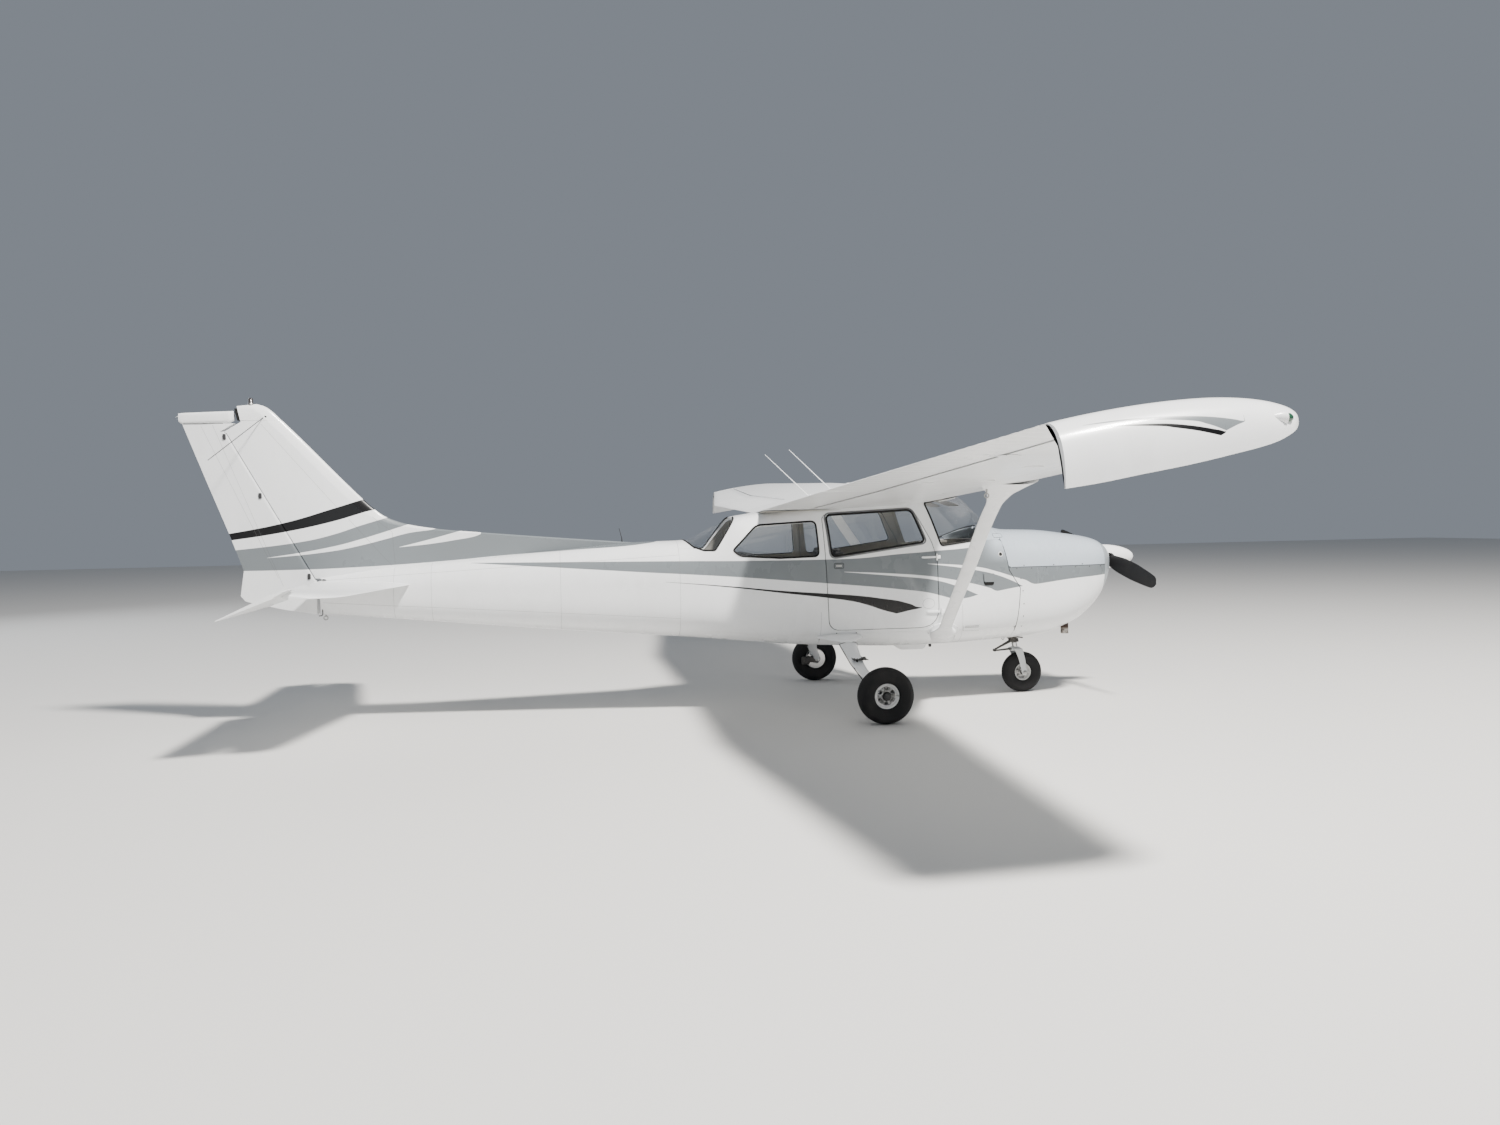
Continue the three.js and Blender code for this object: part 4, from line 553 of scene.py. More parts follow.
def plain(name, colour, rough=0.5, metallic=0.0, grain=60.0, shift=0.25, bump=0.1, coat=0.0, dust=0.2,
          specular=0.5):
    """A worn plain finish: two tones of one colour in a noise, dust in patches, and a fine bump."""
    material, net, shader = new_material(name)
    place = net.place()
    wear = worn(net, place, dust)
    fine = net.noise(place, grain, 4.0)
    darker = tuple(channel * (1.0 - shift) for channel in colour[:3]) + (1.0,)
    base = net.mix(fine, darker, tuple(colour[:3]) + (1.0,))
    base = net.mix(wear["Dirt"], base, (0.27, 0.24, 0.2, 1.0))
    net.put(shader.inputs["Base Color"], base)
    net.put(shader.inputs["Roughness"], net.math("MULTIPLY_ADD", fine, 0.2, rough - 0.1))
    shader.inputs["Metallic"].default_value = metallic
    shader.inputs["Specular IOR Level"].default_value = specular
    shader.inputs["Coat Weight"].default_value = coat
    bumped = net.node("ShaderNodeBump", {"Height": fine, "Strength": bump, "Distance": 0.001})
    net.put(shader.inputs["Normal"], bumped.outputs[0])
    return material


body_seams = [(0, AXLE + x, 2, 0.032) for x in (-1.5, -2.48, -3.53)]
body_lines = [(0, 2, (-4.458, 1.212), (-3.791, 1.287)), (0, 2, (-3.829, 1.301), (-3.835, 0.85)),
              (0, 2, (-0.326, 0.54), (-0.329, 0.826)), (0, 2, (0.931, 0.50), (0.905, 0.86)),
              (0, 2, (-1.5, 0.80), (-4.40, 1.00)), (0, 2, (-1.5, 1.33), (-4.40, 1.18))]
fuselage_paint = paint("fuselage_paint", scheme=livery, seams=body_seams, lines=body_lines)
cowl_paint = paint("cowl_paint", scheme=livery, dirt=0.3)
upper_cowl_paint = paint("upper_cowl_paint", PALE_GREY, dirt=0.3)
nose_paint = paint("nose_paint", (0.30, 0.33, 0.35, 1.0), dirt=0.35, rough=0.32)
white_paint = paint("white_paint", dirt=0.3)
wing_paint = paint("wing_paint",
                   seams=[(1, y * side, 0, 0.035) for y in (0.9, 1.7, 2.54, 3.5, 4.4) for side in (1, -1)]
                   + [(0, AXLE + 0.28, 1, 0.035)], dirt=0.45, rough=0.3)
tail_paint = paint("tail_paint", dirt=0.35, rough=0.28)
leg_paint = paint("leg_paint", dirt=0.8, rough=0.35)
rubber = plain("tyre_rubber", (0.016, 0.016, 0.017), 0.85, grain=90.0, bump=0.3, dust=0.18, specular=0.25)
seal = plain("black_seal", (0.010, 0.010, 0.010), 0.7, dust=0.1, specular=0.25)
bare_metal = plain("bare_metal", (0.42, 0.42, 0.41), 0.4, 0.85, dust=0.5)
polished = plain("polished_steel", (0.62, 0.62, 0.62), 0.2, 1.0, dust=0.1)
oily_metal = plain("oily_metal", (0.11, 0.105, 0.10), 0.45, 0.6, grain=25.0, shift=0.6, dust=0.8)
dark_plastic = plain("dark_plastic", (0.03, 0.03, 0.032), 0.5)
black_blade = plain("black_blade", (0.008, 0.008, 0.009), 0.6, grain=30.0, dust=0.10, specular=0.25)
white_blade = paint("white_blade", dirt=0.5, rough=0.35)
interior_dark = plain("interior_dark", (0.035, 0.037, 0.042), 0.8, grain=200.0, bump=0.3)
cabin_lining = plain("cabin_lining", (0.52, 0.50, 0.45), 0.75, grain=220.0, shift=0.1, bump=0.2)
carpet = plain("carpet", (0.06, 0.065, 0.075), 0.95, grain=500.0, shift=0.5, bump=0.6)
engine_grey = plain("engine_grey", (0.09, 0.09, 0.095), 0.55, 0.5, grain=20.0, shift=0.5, dust=0.5)

# %% [markdown]
# Clear acrylic is hardly a surface at all: nearly all light goes straight through, and only its gloss shows
# it. So the glazing has a low alpha, which lets the light in and keeps the cabin bright, and a sharp gloss.

# %% Glass and rust
def glazing(name, tint=(0.84, 0.90, 0.89, 1.0), clear=0.90):
    """Thin glazing: a mostly transparent surface with a sharp gloss and a few scratches in its
    roughness."""
    material, net, shader = new_material(name)
    scratch = net.noise(net.place(), 30.0, 6.0, 0.7, (1.0, 1.0, 8.0))
    net.put(shader.inputs["Roughness"], net.math("MULTIPLY_ADD", net.ramp(scratch, 0.6, 0.85), 0.02, 0.005))
    shader.inputs["Base Color"].default_value = tint
    shader.inputs["Transmission Weight"].default_value = 1.0
    shader.inputs["Alpha"].default_value = 1.0 - clear
    shader.inputs["IOR"].default_value = 1.49
    material.surface_render_method = "BLENDED"
    return material


window_glass = glazing("window_glass")
lens_glass = glazing("lens_glass", (0.9, 0.93, 0.95, 1.0), 0.6)
red_lens = plain("red_lens", (0.16, 0.012, 0.010), 0.12, coat=0.8)
green_lens = plain("green_lens", (0.012, 0.07, 0.035), 0.12, coat=0.8)
beacon_glass = plain("beacon_glass", (0.030, 0.026, 0.028), 0.2, coat=0.5)


def rusty_pipe():
    """Exhaust steel: brown rust in two scales with a pale band where the heat has burnt it clean."""
    material, net, shader = new_material("rusty_pipe")
    place = net.place()
    coarse = net.noise(place, 18.0, 6.0, 0.65)
    fine = net.noise(place, 140.0, 4.0)
    _, _, z = net.axes(place)
    pale = net.math("MULTIPLY", net.ramp(z, 0.60, 0.575), net.ramp(coarse, 0.42, 0.55))
    base = net.mix(net.ramp(coarse, 0.35, 0.65), (0.014, 0.011, 0.010, 1.0), (0.085, 0.042, 0.026, 1.0))
    base = net.mix(pale, base, (0.5, 0.47, 0.43, 1.0))
    net.put(shader.inputs["Base Color"], base)
    shader.inputs["Metallic"].default_value = 0.3
    net.put(shader.inputs["Roughness"], net.math("MULTIPLY_ADD", fine, 0.25, 0.6))
    bumped = net.node("ShaderNodeBump", {"Height": fine, "Strength": 0.4, "Distance": 0.001})
    net.put(shader.inputs["Normal"], bumped.outputs[0])
    return material


exhaust_steel = rusty_pipe()

# %% [markdown]
# ## The fuselage surface
# A section of this fuselage is a box with rounded corners: two half superellipses, whose power says how
# square the corner is. The table gives the section at 25 places along X, and a cubic that never overshoots
# joins them.

# %% Body sections
# Columns: x from the axle line, belly z, z of the widest point, top z, half width, lower power, upper power
BODY = np.array([
    [2.418, 1.078, 1.192, 1.290, 0.180, 2.2, 2.2], [2.398, 1.000, 1.185, 1.324, 0.240, 2.4, 2.3],
    [2.356, 0.905, 1.175, 1.356, 0.300, 2.5, 2.4], [2.300, 0.828, 1.160, 1.385, 0.350, 2.6, 2.5],
    [2.200, 0.735, 1.120, 1.412, 0.400, 2.8, 2.6], [2.050, 0.632, 1.060, 1.437, 0.432, 2.9, 2.6],
    [1.755, 0.538, 1.010, 1.474, 0.465, 3.0, 2.7], [1.446, 0.510, 1.000, 1.486, 0.482, 3.1, 2.8],
    [1.265, 0.501, 1.010, 1.530, 0.500, 3.3, 3.0], [1.120, 0.497, 1.020, 1.664, 0.514, 3.5, 3.4],
    [0.979, 0.491, 1.030, 1.792, 0.522, 3.7, 4.0], [0.820, 0.488, 1.040, 1.850, 0.530, 3.8, 4.6],
    [0.400, 0.486, 1.040, 1.870, 0.532, 3.9, 4.6], [-0.136, 0.507, 1.040, 1.800, 0.530, 3.8, 4.6],
    [-0.588, 0.536, 1.040, 1.722, 0.520, 3.8, 4.5], [-0.820, 0.560, 1.050, 1.672, 0.505, 3.7, 4.2],
    [-1.000, 0.577, 1.055, 1.642, 0.487, 3.6, 3.9], [-1.120, 0.590, 1.060, 1.586, 0.470, 3.5, 3.5],
    [-1.444, 0.622, 1.070, 1.448, 0.425, 3.2, 2.8], [-1.500, 0.627, 1.070, 1.445, 0.417, 3.2, 2.8],
    [-1.798, 0.650, 1.075, 1.440, 0.375, 3.0, 2.6], [-2.500, 0.712, 1.080, 1.385, 0.290, 2.8, 2.4],
    [-3.300, 0.792, 1.090, 1.322, 0.205, 2.6, 2.2], [-4.000, 0.862, 1.100, 1.268, 0.145, 2.4, 2.1],
    [-4.440, 0.897, 1.105, 1.215, 0.100, 2.2, 2.0],
])[::-1]


def smooth(x, xs, ys):
    """Cubic through a table that never overshoots: its slope is the harmonic mean of the two beside it, or
    0."""
    xs, ys = np.asarray(xs, float), np.asarray(ys, float)
    ys = ys if ys.ndim > 1 else ys[:, None]
    step = np.diff(xs)
    rise = np.diff(ys, axis=0) / step[:, None]
    slope = np.zeros_like(ys)
    slope[0], slope[-1] = rise[0], rise[-1]
    product = rise[:-1] * rise[1:]
    with np.errstate(divide="ignore", invalid="ignore"):
        slope[1:-1] = np.where(product > 0, 2 * product / (rise[:-1] + rise[1:]), 0.0)
    x = np.clip(np.asarray(x, float), xs[0], xs[-1])
    i = np.clip(np.searchsorted(xs, x) - 1, 0, len(xs) - 2)
    t = ((x - xs[i]) / step[i])[..., None]
    h = step[i][..., None]
    value = ((1 + 2 * t) * (1 - t) ** 2 * ys[i] + t * (1 - t) ** 2 * h * slope[i]
             + t ** 2 * (3 - 2 * t) * ys[i + 1] + t ** 2 * (t - 1) * h * slope[i + 1])
    return value[..., 0] if value.shape[-1] == 1 else value


def even_turn():
    """Angles round a typical section that are even along its edge, so that panels get even cells."""
    angle = np.linspace(0, 2 * np.pi, 2881)
    c, s = np.cos(angle), np.sin(angle)
    power = np.where(s < 0, 3.6, 4.0)
    y = 0.53 * signed_power(c, 2 / power)
    z = np.where(s < 0, 0.54, 0.72) * signed_power(s, 2 / power)
    length = np.concatenate([[0], np.cumsum(np.hypot(np.diff(y), np.diff(z)))])
    return length / length[-1], angle


TURN_SHARE, TURN_ANGLE = even_turn()


def body_point(x, turn, inset=0.0):
    """Point of the fuselage at x from the axle line. turn: 0 left side, about 0.25 top, 0.5 right side,
    0.75 belly."""
    _, belly, wide, top, half, low, high = np.moveaxis(smooth(x, BODY[:, 0], BODY), -1, 0)
    angle = np.interp(np.mod(turn, 1.0), TURN_SHARE, TURN_ANGLE)
    c, s = np.cos(angle), np.sin(angle)
    power = np.where(s < 0, low, high)
    tall = np.where(s < 0, wide - belly - inset, top - wide - inset)
    y = (half - inset) * signed_power(c, 2 / power)
    z = wide + tall * signed_power(s, 2 / power)
    return spread(x, y, z)


def body_half(x, z):
    """Half width of the fuselage at x and z: the section's own equation, solved for y."""
    _, belly, wide, top, half, low, high = np.moveaxis(smooth(x, BODY[:, 0], BODY), -1, 0)
    power = np.where(z < wide, low, high)
    share = np.where(z < wide, (wide - z) / (wide - belly), (z - wide) / (top - wide))
    s = np.clip(share, 0.0, 1.0) ** (power / 2)
    return half * np.sqrt(1 - s ** 2) ** (2 / power)


def half_at(x, z):
    """The same half width at one place, as a plain number."""
    return float(body_half(np.array([x]), np.array([z]))[0])


print("body at the door:", body_half(0.2, 1.0), "m half width")

# %% [markdown]
# ## Cutting doors and windows out of a skin
# A skin is a fine grid. For each grid point a signed distance says how far inside the panel it lies. Where
# the sign changes between two neighbours, the nearer one slides along the grid line onto the edge, and then
# every cell is either kept or dropped. The edge comes out clean, and no point leaves the smooth surface.

# %% Outlines and cutting
def rounded(points, radius):
    """A polygon whose corners are quadratic curves that start `radius` before each corner."""
    points = np.array(points, float)
    radius = np.broadcast_to(radius, len(points))
    t = np.linspace(0, 1, 7)[:, None]
    arcs = []
    for i, corner in enumerate(points):
        before, after = points[i - 1], points[(i + 1) % len(points)]
        start = corner + (before - corner) / np.linalg.norm(before - corner) * radius[i]
        end = corner + (after - corner) / np.linalg.norm(after - corner) * radius[i]
        arcs.append((1 - t) ** 2 * start + 2 * t * (1 - t) * corner + t ** 2 * end)
    return np.concatenate(arcs)


def inside(outline, x, z):
    """Signed distance to a closed outline, positive inside: the nearest edge, with the sign by counting
    crossings."""
    shape = np.shape(x)
    p = np.stack([np.ravel(x), np.ravel(z)], -1)
    best = np.full(len(p), 1e9)
    crossings = np.zeros(len(p), int)
    for q, r in zip(outline, np.roll(outline, -1, axis=0)):
        edge = r - q
        t = np.clip((p - q) @ edge / max(edge @ edge, 1e-12), 0, 1)
        best = np.minimum(best, np.hypot(*(p - q - t[:, None] * edge).T))
        cross = (q[1] > p[:, 1]) != (r[1] > p[:, 1])
        with np.errstate(divide="ignore", invalid="ignore"):
            at = q[0] + (p[:, 1] - q[1]) / (r[1] - q[1]) * (r[0] - q[0])
        crossings += cross & (p[:, 0] < at)
    return (best * np.where(crossings % 2 == 1, 1, -1)).reshape(shape)


def pulled_in(points, gap):
    """The same outline, `gap` further in: each corner moves to where its two shifted edges meet."""
    points = np.array(points, float)
    after = np.roll(points, -1, axis=0)
    area = np.sum(points[:, 0] * after[:, 1] - after[:, 0] * points[:, 1])
    edge = after - points
    edge /= np.linalg.norm(edge, axis=1)[:, None]
    normal = np.sign(area) * np.stack([-edge[:, 1], edge[:, 0]], -1)
    start = points + normal * gap
    previous_start, previous_edge = np.roll(start, 1, axis=0), np.roll(edge, 1, axis=0)
    cross = previous_edge[:, 0] * edge[:, 1] - previous_edge[:, 1] * edge[:, 0]
    delta = start - previous_start
    t = (delta[:, 0] * edge[:, 1] - delta[:, 1] * edge[:, 0]) / cross
    return previous_start + previous_edge * t[:, None]


def cut(surface, u, v, keep):
    """The part of surface(u, v) where keep(points) is positive, as points and faces. u and v are even
    steps."""
    U, V = np.meshgrid(u, v, indexing="ij")
    field = keep(surface(U, V))
    nearest = np.full(field.shape, 0.5)
    moved_u, moved_v = U.copy(), V.copy()
    for axis, step in ((0, 1), (0, -1), (1, 1), (1, -1)):
        other = np.roll(field, -step, axis)
        limit = [slice(None), slice(None)]
        limit[axis] = -1 if step == 1 else 0
        other[tuple(limit)] = field[tuple(limit)]
        with np.errstate(divide="ignore", invalid="ignore"):
            t = np.where(field * other < 0, field / (field - other), 2.0)
        closer = t <= nearest
        nearest = np.where(closer, t, nearest)
        grid = (u if axis == 0 else v)
        shift = t * step * (grid[1] - grid[0])
        moved_u = np.where(closer, U + (shift if axis == 0 else 0), moved_u)
        moved_v = np.where(closer, V + (shift if axis == 1 else 0), moved_v)
    on_edge = (moved_u != U) | (moved_v != V)
    points = surface(moved_u, moved_v)
    state = np.where(on_edge, 0.0, field)
    rows, columns = state.shape
    index = np.arange(rows * columns).reshape(rows, columns)
    corners = np.stack([index[:-1, :-1], index[1:, :-1], index[1:, 1:], index[:-1, 1:]], -1).reshape(-1, 4)
    values = state.reshape(-1)[corners]
    middle = keep(surface(moved_u.reshape(-1)[corners].mean(1)[None],
                          moved_v.reshape(-1)[corners].mean(1)[None]))[0]
    whole = (values >= 0).all(1) & ((values > 0).any(1) | (middle > 0))
    faces = corners[whole].tolist()
    for k in range(4):
        order = [(k + 1) % 4, (k + 2) % 4, (k + 3) % 4]
        partly = (values[:, k] < 0) & (values[:, order] >= 0).all(1) & (values[:, order] > 0).any(1)
        faces += corners[partly][:, order].tolist()
    flat = points.reshape(-1, 3)
    used = np.unique(np.concatenate([np.ravel(face) for face in faces]) if faces else [])
    renumber = np.zeros(len(flat), int)
    renumber[used] = np.arange(len(used))
    return flat[used], [renumber[face].tolist() for face in faces]


# %% Door, window and seam outlines
DOOR = [[-0.312, 1.650], [0.478, 1.690], [0.640, 1.402], [0.690, 1.250], [0.704, 0.662], [-0.262, 0.662],
        [-0.288, 1.246]]
DOOR_CORNERS = [0.06, 0.05, 0.04, 0.06, 0.17, 0.10, 0.04]
DOOR_WINDOW = [[-0.272, 1.638], [0.466, 1.672], [0.580, 1.398], [-0.231, 1.288]]
REAR_WINDOW = [[-0.363, 1.592], [-0.340, 1.297], [-0.672, 1.288], [-1.001, 1.311], [-1.059, 1.360],
               [-0.857, 1.566]]
WINDSHIELD = [[0.592, 1.728], [0.724, 1.362], [1.022, 1.400], [1.160, 1.462], [1.282, 1.530], [1.340, 1.640],
              [1.120, 1.810], [0.985, 1.796]]
BACKLIGHT = [[-1.442, 1.458], [-1.375, 1.393], [-1.290, 1.362], [-1.203, 1.362], [-1.005, 1.648],
             [-0.975, 1.800], [-1.442, 1.800]]
BAGGAGE = [[-0.700, 1.215], [-0.700, 0.800], [-1.090, 0.815], [-1.090, 1.215]]
COWL_SEAM = np.array([[0.40, 1.427], [0.59, 1.427], [0.98, 1.450], [1.133, 1.349], [1.478, 1.288],
                      [1.60, 1.288]])

door_edge = rounded(DOOR, DOOR_CORNERS)
door_leaf = rounded(pulled_in(DOOR, 0.006), DOOR_CORNERS)
door_window = rounded(DOOR_WINDOW, 0.045)
rear_window = rounded(REAR_WINDOW, [0.045, 0.045, 0.01, 0.03, 0.02, 0.045])
windshield_edge = rounded(WINDSHIELD, 0.022)
backlight_edge = rounded(BACKLIGHT, 0.014)
baggage_edge = rounded(BAGGAGE, 0.045)
baggage_leaf = rounded(pulled_in(BAGGAGE, 0.006), 0.04)


def behind_seam(points, gap=0.0):
    """Distance behind the line where the cowl meets the cabin, in side view."""
    return np.interp(points[..., 2], COWL_SEAM[:, 0], COWL_SEAM[:, 1]) - gap - points[..., 0]


# %% [markdown]
# ## The wing's surface
# The wing section is a four-digit aerofoil: a camber line of two parabolas, with a thickness laid off above
# and below it. A table gives the leading and trailing edge at four places along the span.

# %% Wing sections
# Columns: y, leading edge x, leading edge z, trailing edge x, trailing edge z
WING = np.array([[0.0, 0.820, 1.797, -0.806, 1.669], [0.5, 0.820, 1.820, -0.806, 1.690],
                 [2.54, 0.820, 1.914, -0.806, 1.776], [5.283, 0.690, 2.015, -0.440, 1.990]])
TIP_JOINT = 5.283


def wing_edges(y):
    """Leading edge x and z, then trailing edge x and z, at station y."""
    return [np.interp(y, WING[:, 0], WING[:, k]) for k in range(1, 5)]


def wing_point(y, s, side):
    """Point at station y and share s of the chord, on the upper (side 1) or lower (side -1) skin."""
    le_x, le_z, te_x, te_z = wing_edges(y)
    chord = le_x - te_x
    m, p = 0.02, 0.4
    camber = np.where(s < p, m / p ** 2 * (2 * p * s - s ** 2),
                      m / (1 - p) ** 2 * (1 - 2 * p + 2 * p * s - s ** 2))
    thick = 0.6 * (0.2969 * np.sqrt(s) - 0.126 * s - 0.3516 * s ** 2 + 0.2843 * s ** 3 - 0.1036 * s ** 4)
    z = le_z + (te_z - le_z) * s + chord * (camber + side * thick) + side * (0.0015 * (s > 0))
    return spread(le_x + (te_x - le_x) * s, y, z)


def wing_height(x, y, side):
    """Height of the wing's upper (side 1) or lower (side -1) skin at one place."""
    le_x, _, te_x, _ = wing_edges(y)
    return float(wing_point(y, np.array((le_x - x) / (le_x - te_x)), side)[2])


def below_skin(points, margin):
    """How far a point lies below the wing's lower skin, once that is lifted by the margin."""
    y = np.abs(points[..., 1])
    le_x, _, te_x, _ = wing_edges(y)
    s = np.clip((le_x - points[..., 0]) / (le_x - te_x), 0.0, 1.0)
    return wing_point(y, s, -1.0)[..., 2] + margin - points[..., 2]


def hinge_share(y):
    """Share of the chord at the hinge line of flap and aileron."""
    le_x, _, te_x, _ = wing_edges(y)
    hinge_x = -0.42 + 0.215 * np.maximum(0, y - 2.54) / (TIP_JOINT - 2.54)
    return (le_x - hinge_x) / (le_x - te_x)


def under_wing(points):
    """How far a point lies below the wing's lower skin, or a large number where there is no wing over
    it."""
    le_x, _, te_x, _ = wing_edges(np.abs(points[..., 1]))
    clear = np.maximum(points[..., 0] - le_x, te_x - points[..., 0])
    return np.maximum(below_skin(points, 0.006), clear)


# %% Cabin skins
CELL = 0.021


def body_skin(name, x0, x1, turn0, turn1, keep, material, inset=0.0, cell=CELL, **more):
    """A panel of the fuselage skin between two places along X and two turns, cut to where keep is
    positive."""
    u = np.linspace(0, 1, int((x1 - x0) / cell) + 2)
    v = np.linspace(0, 1, int(abs(turn1 - turn0) * 4.3 / cell) + 2)
    surface = lambda a, b: body_point(x0 + (x1 - x0) * a, turn0 + (turn1 - turn0) * b, inset)
    points, faces = cut(surface, u, v, keep)
    middle = np.array([(x0 + x1) / 2, 0.0, 1.05])
    first = np.array([face[:3] for face in faces])
    a, b, c = (points[first[:, k]] for k in range(3))
    turn = float(np.einsum("ij,ij->", np.cross(b - a, c - a), (a - middle) * [0.0, 1.0, 1.0])) < 0
    return piece(name, (points, faces), material, turn=turn, **more)


def cabin_keep(points):
    """Positive on the cabin's fixed skin: outside the doors and windows, behind the cowl, under the
    wing."""
    x, y, z = np.moveaxis(points, -1, 0)
    parts = [-inside(door_edge, x, z), -inside(rear_window, x, z), -inside(windshield_edge, x, z),
             -inside(backlight_edge, x, z), behind_seam(points, 0.0015), under_wing(points)]
    parts.append(np.where(y > 0, -inside(baggage_edge, x, z), 1.0))
    return np.minimum.reduce(parts)


BELLY_LINE = np.array([[-1.5, 0.70], [-0.56, 0.638], [1.5, 0.638]])


def above_belly(points):
    """Height above the seam between side and belly."""
    return points[..., 2] - np.interp(points[..., 0], BELLY_LINE[:, 0], BELLY_LINE[:, 1])


def in_deck(points):
    """Positive on the deck between cowl and windshield."""
    return np.minimum(points[..., 2] - 1.40, points[..., 0] - 1.0)


def in_top(points):
    """Positive on the top behind the rear window."""
    return np.minimum(points[..., 2] - 1.38, -1.30 - points[..., 0])


# Half the width of the seam between two panels
SEAM = 0.0006
# Rear and front end of the cabin
CABIN_REAR, CABIN_FRONT = -1.5, 1.46
LINED = [fuselage_paint, cabin_lining]


def side_keep(points):
    """Positive on the side panels: the cabin's skin less belly, deck and rear top."""
    return np.minimum.reduce([cabin_keep(points), above_belly(points) - SEAM, -in_deck(points) - SEAM,
                              -in_top(points) - SEAM])


for label, turns in (("left", (-0.26, 0.25)), ("right", (0.25, 0.76))):
    body_skin("side_skin_" + label, CABIN_REAR, CABIN_FRONT, *turns, side_keep, LINED, wall=0.028,
              node="cabin_side_" + label, slot="white_skin")
body_skin("belly_skin", CABIN_REAR, CABIN_FRONT, 0.55, 0.95,
          lambda p: np.minimum(cabin_keep(p), -above_belly(p) - SEAM),
          fuselage_paint, wall=0.02, node="cabin_belly", slot="white_skin", cell=0.026)
body_skin("deck_skin", 0.98, CABIN_FRONT, 0.02, 0.48, lambda p: np.minimum(cabin_keep(p), in_deck(p) - SEAM),
          upper_cowl_paint, wall=0.02, node="cabin_deck", slot="grey_skin")
body_skin("rear_top_skin", CABIN_REAR, -1.28, 0.02, 0.48,
          lambda p: np.minimum(cabin_keep(p), in_top(p) - SEAM),
          LINED, wall=0.02, node="cabin_top_rear", slot="white_skin")

# %% [markdown]
# ## Doors and glazing
# A door is the same skin inside its own outline, less its window, so its curve runs on from the panel
# beside it. The panes sit 7 mm inside the skin, like the real ones in their rubber channels.

# %% Doors
PANE_GAP, PANE_INSET, PANE_WALL = 0.0004, 0.007, 0.005


def within(outline, gap=0.0):
    """A keep function: the distance inside an outline in side view, less a gap all round."""
    return lambda points: inside(outline, points[..., 0], points[..., 2]) - gap


def leaf_keep(points):
    """Positive on a door's skin, round its window."""
    return np.minimum(within(door_leaf)(points), -within(door_window)(points))


def pane(name, x0, x1, turns, outline, **more):
    """A window pane just inside the skin."""
    body_skin(name, x0, x1, *turns, within(outline, PANE_GAP), window_glass, inset=PANE_INSET,
              wall=PANE_WALL,
              slot="window", **more)


for label, turns in (("left", (-0.19, 0.2)), ("right", (0.3, 0.69))):
    door = "cabin_door_" + label
    body_skin("door_skin_" + label, -0.33, 0.72, *turns, leaf_keep, LINED, wall=0.028, cell=0.016, body=door,
              node="door_" + label, slot="white_skin")
    pane("door_pane_" + label, -0.29, 0.6, turns, door_window, cell=0.02, body=door,
         node="door_glass_" + label)
    pane("side_pane_" + label, -1.08, -0.32, turns, rear_window, cell=0.02, node="side_glass_" + label)
body_skin("baggage_skin", -1.1, -0.68, -0.19, 0.19, within(baggage_leaf), LINED, wall=0.02,
          body="baggage_door",
          node="baggage_door", slot="white_skin")
pane("windshield_pane", 0.58, 1.36, (-0.02, 0.52), windshield_edge, cell=0.018, node="windshield")
pane("rear_pane", -1.46, -0.95, (-0.02, 0.52), backlight_edge, cell=0.018, node="rear_glass")

# %% [markdown]
# ## Cowling
# The cowl is two halves that meet in a level seam, and a nose bowl with two air inlets. The bowl's front is
# the last ring drawn in to the shaft, so one more stretch of the same grid covers it.

# %% Cowling
SPLIT, BOWL_X, NOSE_X, SHAFT_Z = 1.160, 2.300, 2.418, 1.215
OUTLET = (1.480, 1.690, 0.110)
PIPE = (1.981, -0.200, 0.034)


def ahead(points):
    """Distance ahead of the seam between cowl and cabin."""
    return -behind_seam(points, 0.0) - 0.0015


def outlet_keep(points):
    """Positive outside the cooling outlet in the belly and the exhaust's hole."""
    x, y, z = np.moveaxis(points, -1, 0)
    slot = np.minimum.reduce([x - OUTLET[0], OUTLET[1] - x, OUTLET[2] - np.abs(y), 0.62 - z])
    hole = np.minimum(PIPE[2] + 0.002 - np.hypot(x - PIPE[0], y - PIPE[1]), 0.8 - z)
    return np.minimum(-slot, -hole)


body_skin("upper_cowl", 1.27, BOWL_X - 0.001, -0.03, 0.53,
          lambda p: np.minimum(ahead(p), p[..., 2] - SPLIT - 0.001),
          upper_cowl_paint, wall=0.012, node="cowl_upper", slot="grey_skin")
body_skin("lower_cowl", 1.27, BOWL_X - 0.001, 0.41, 1.09,
          lambda p: np.minimum.reduce([ahead(p), SPLIT - 0.001 - p[..., 2], outlet_keep(p)]),
          cowl_paint, wall=0.012, node="cowl_lower", slot="white_skin")


def bowl_point(a, turn):
    """a from 0 to 1: the skin from the seam to the nose ring, and from 1 to 2: in to the shaft, slightly
    domed."""
    x = BOWL_X + 0.001 + (NOSE_X - BOWL_X - 0.001) * np.minimum(a, 1.0)
    point = body_point(x, turn)
    inward = np.clip(a - 1.0, 0.0, 1.0)[..., None]
    angle = 2 * np.pi * turn
    shaft_ring = spread(NOSE_X + 0 * x, 0.064 * np.cos(angle), SHAFT_Z + 0.064 * np.sin(angle))
    point = point * (1 - inward) + shaft_ring * inward
    point[..., 0] += 0.007 * np.sin(np.pi * 0.5 * inward[..., 0])
    return point


inlets = [rounded([[side * 0.092, 1.150], [side * 0.235, 1.160], [side * 0.240, 1.245],
                   [side * 0.100, 1.262]], 0.026)
          for side in (1, -1)]


def bowl_keep(points):
    """Positive outside both inlets in front view."""
    left, right = (inside(inlet, points[..., 1], points[..., 2]) for inlet in inlets)
    return np.minimum(-left, -right)


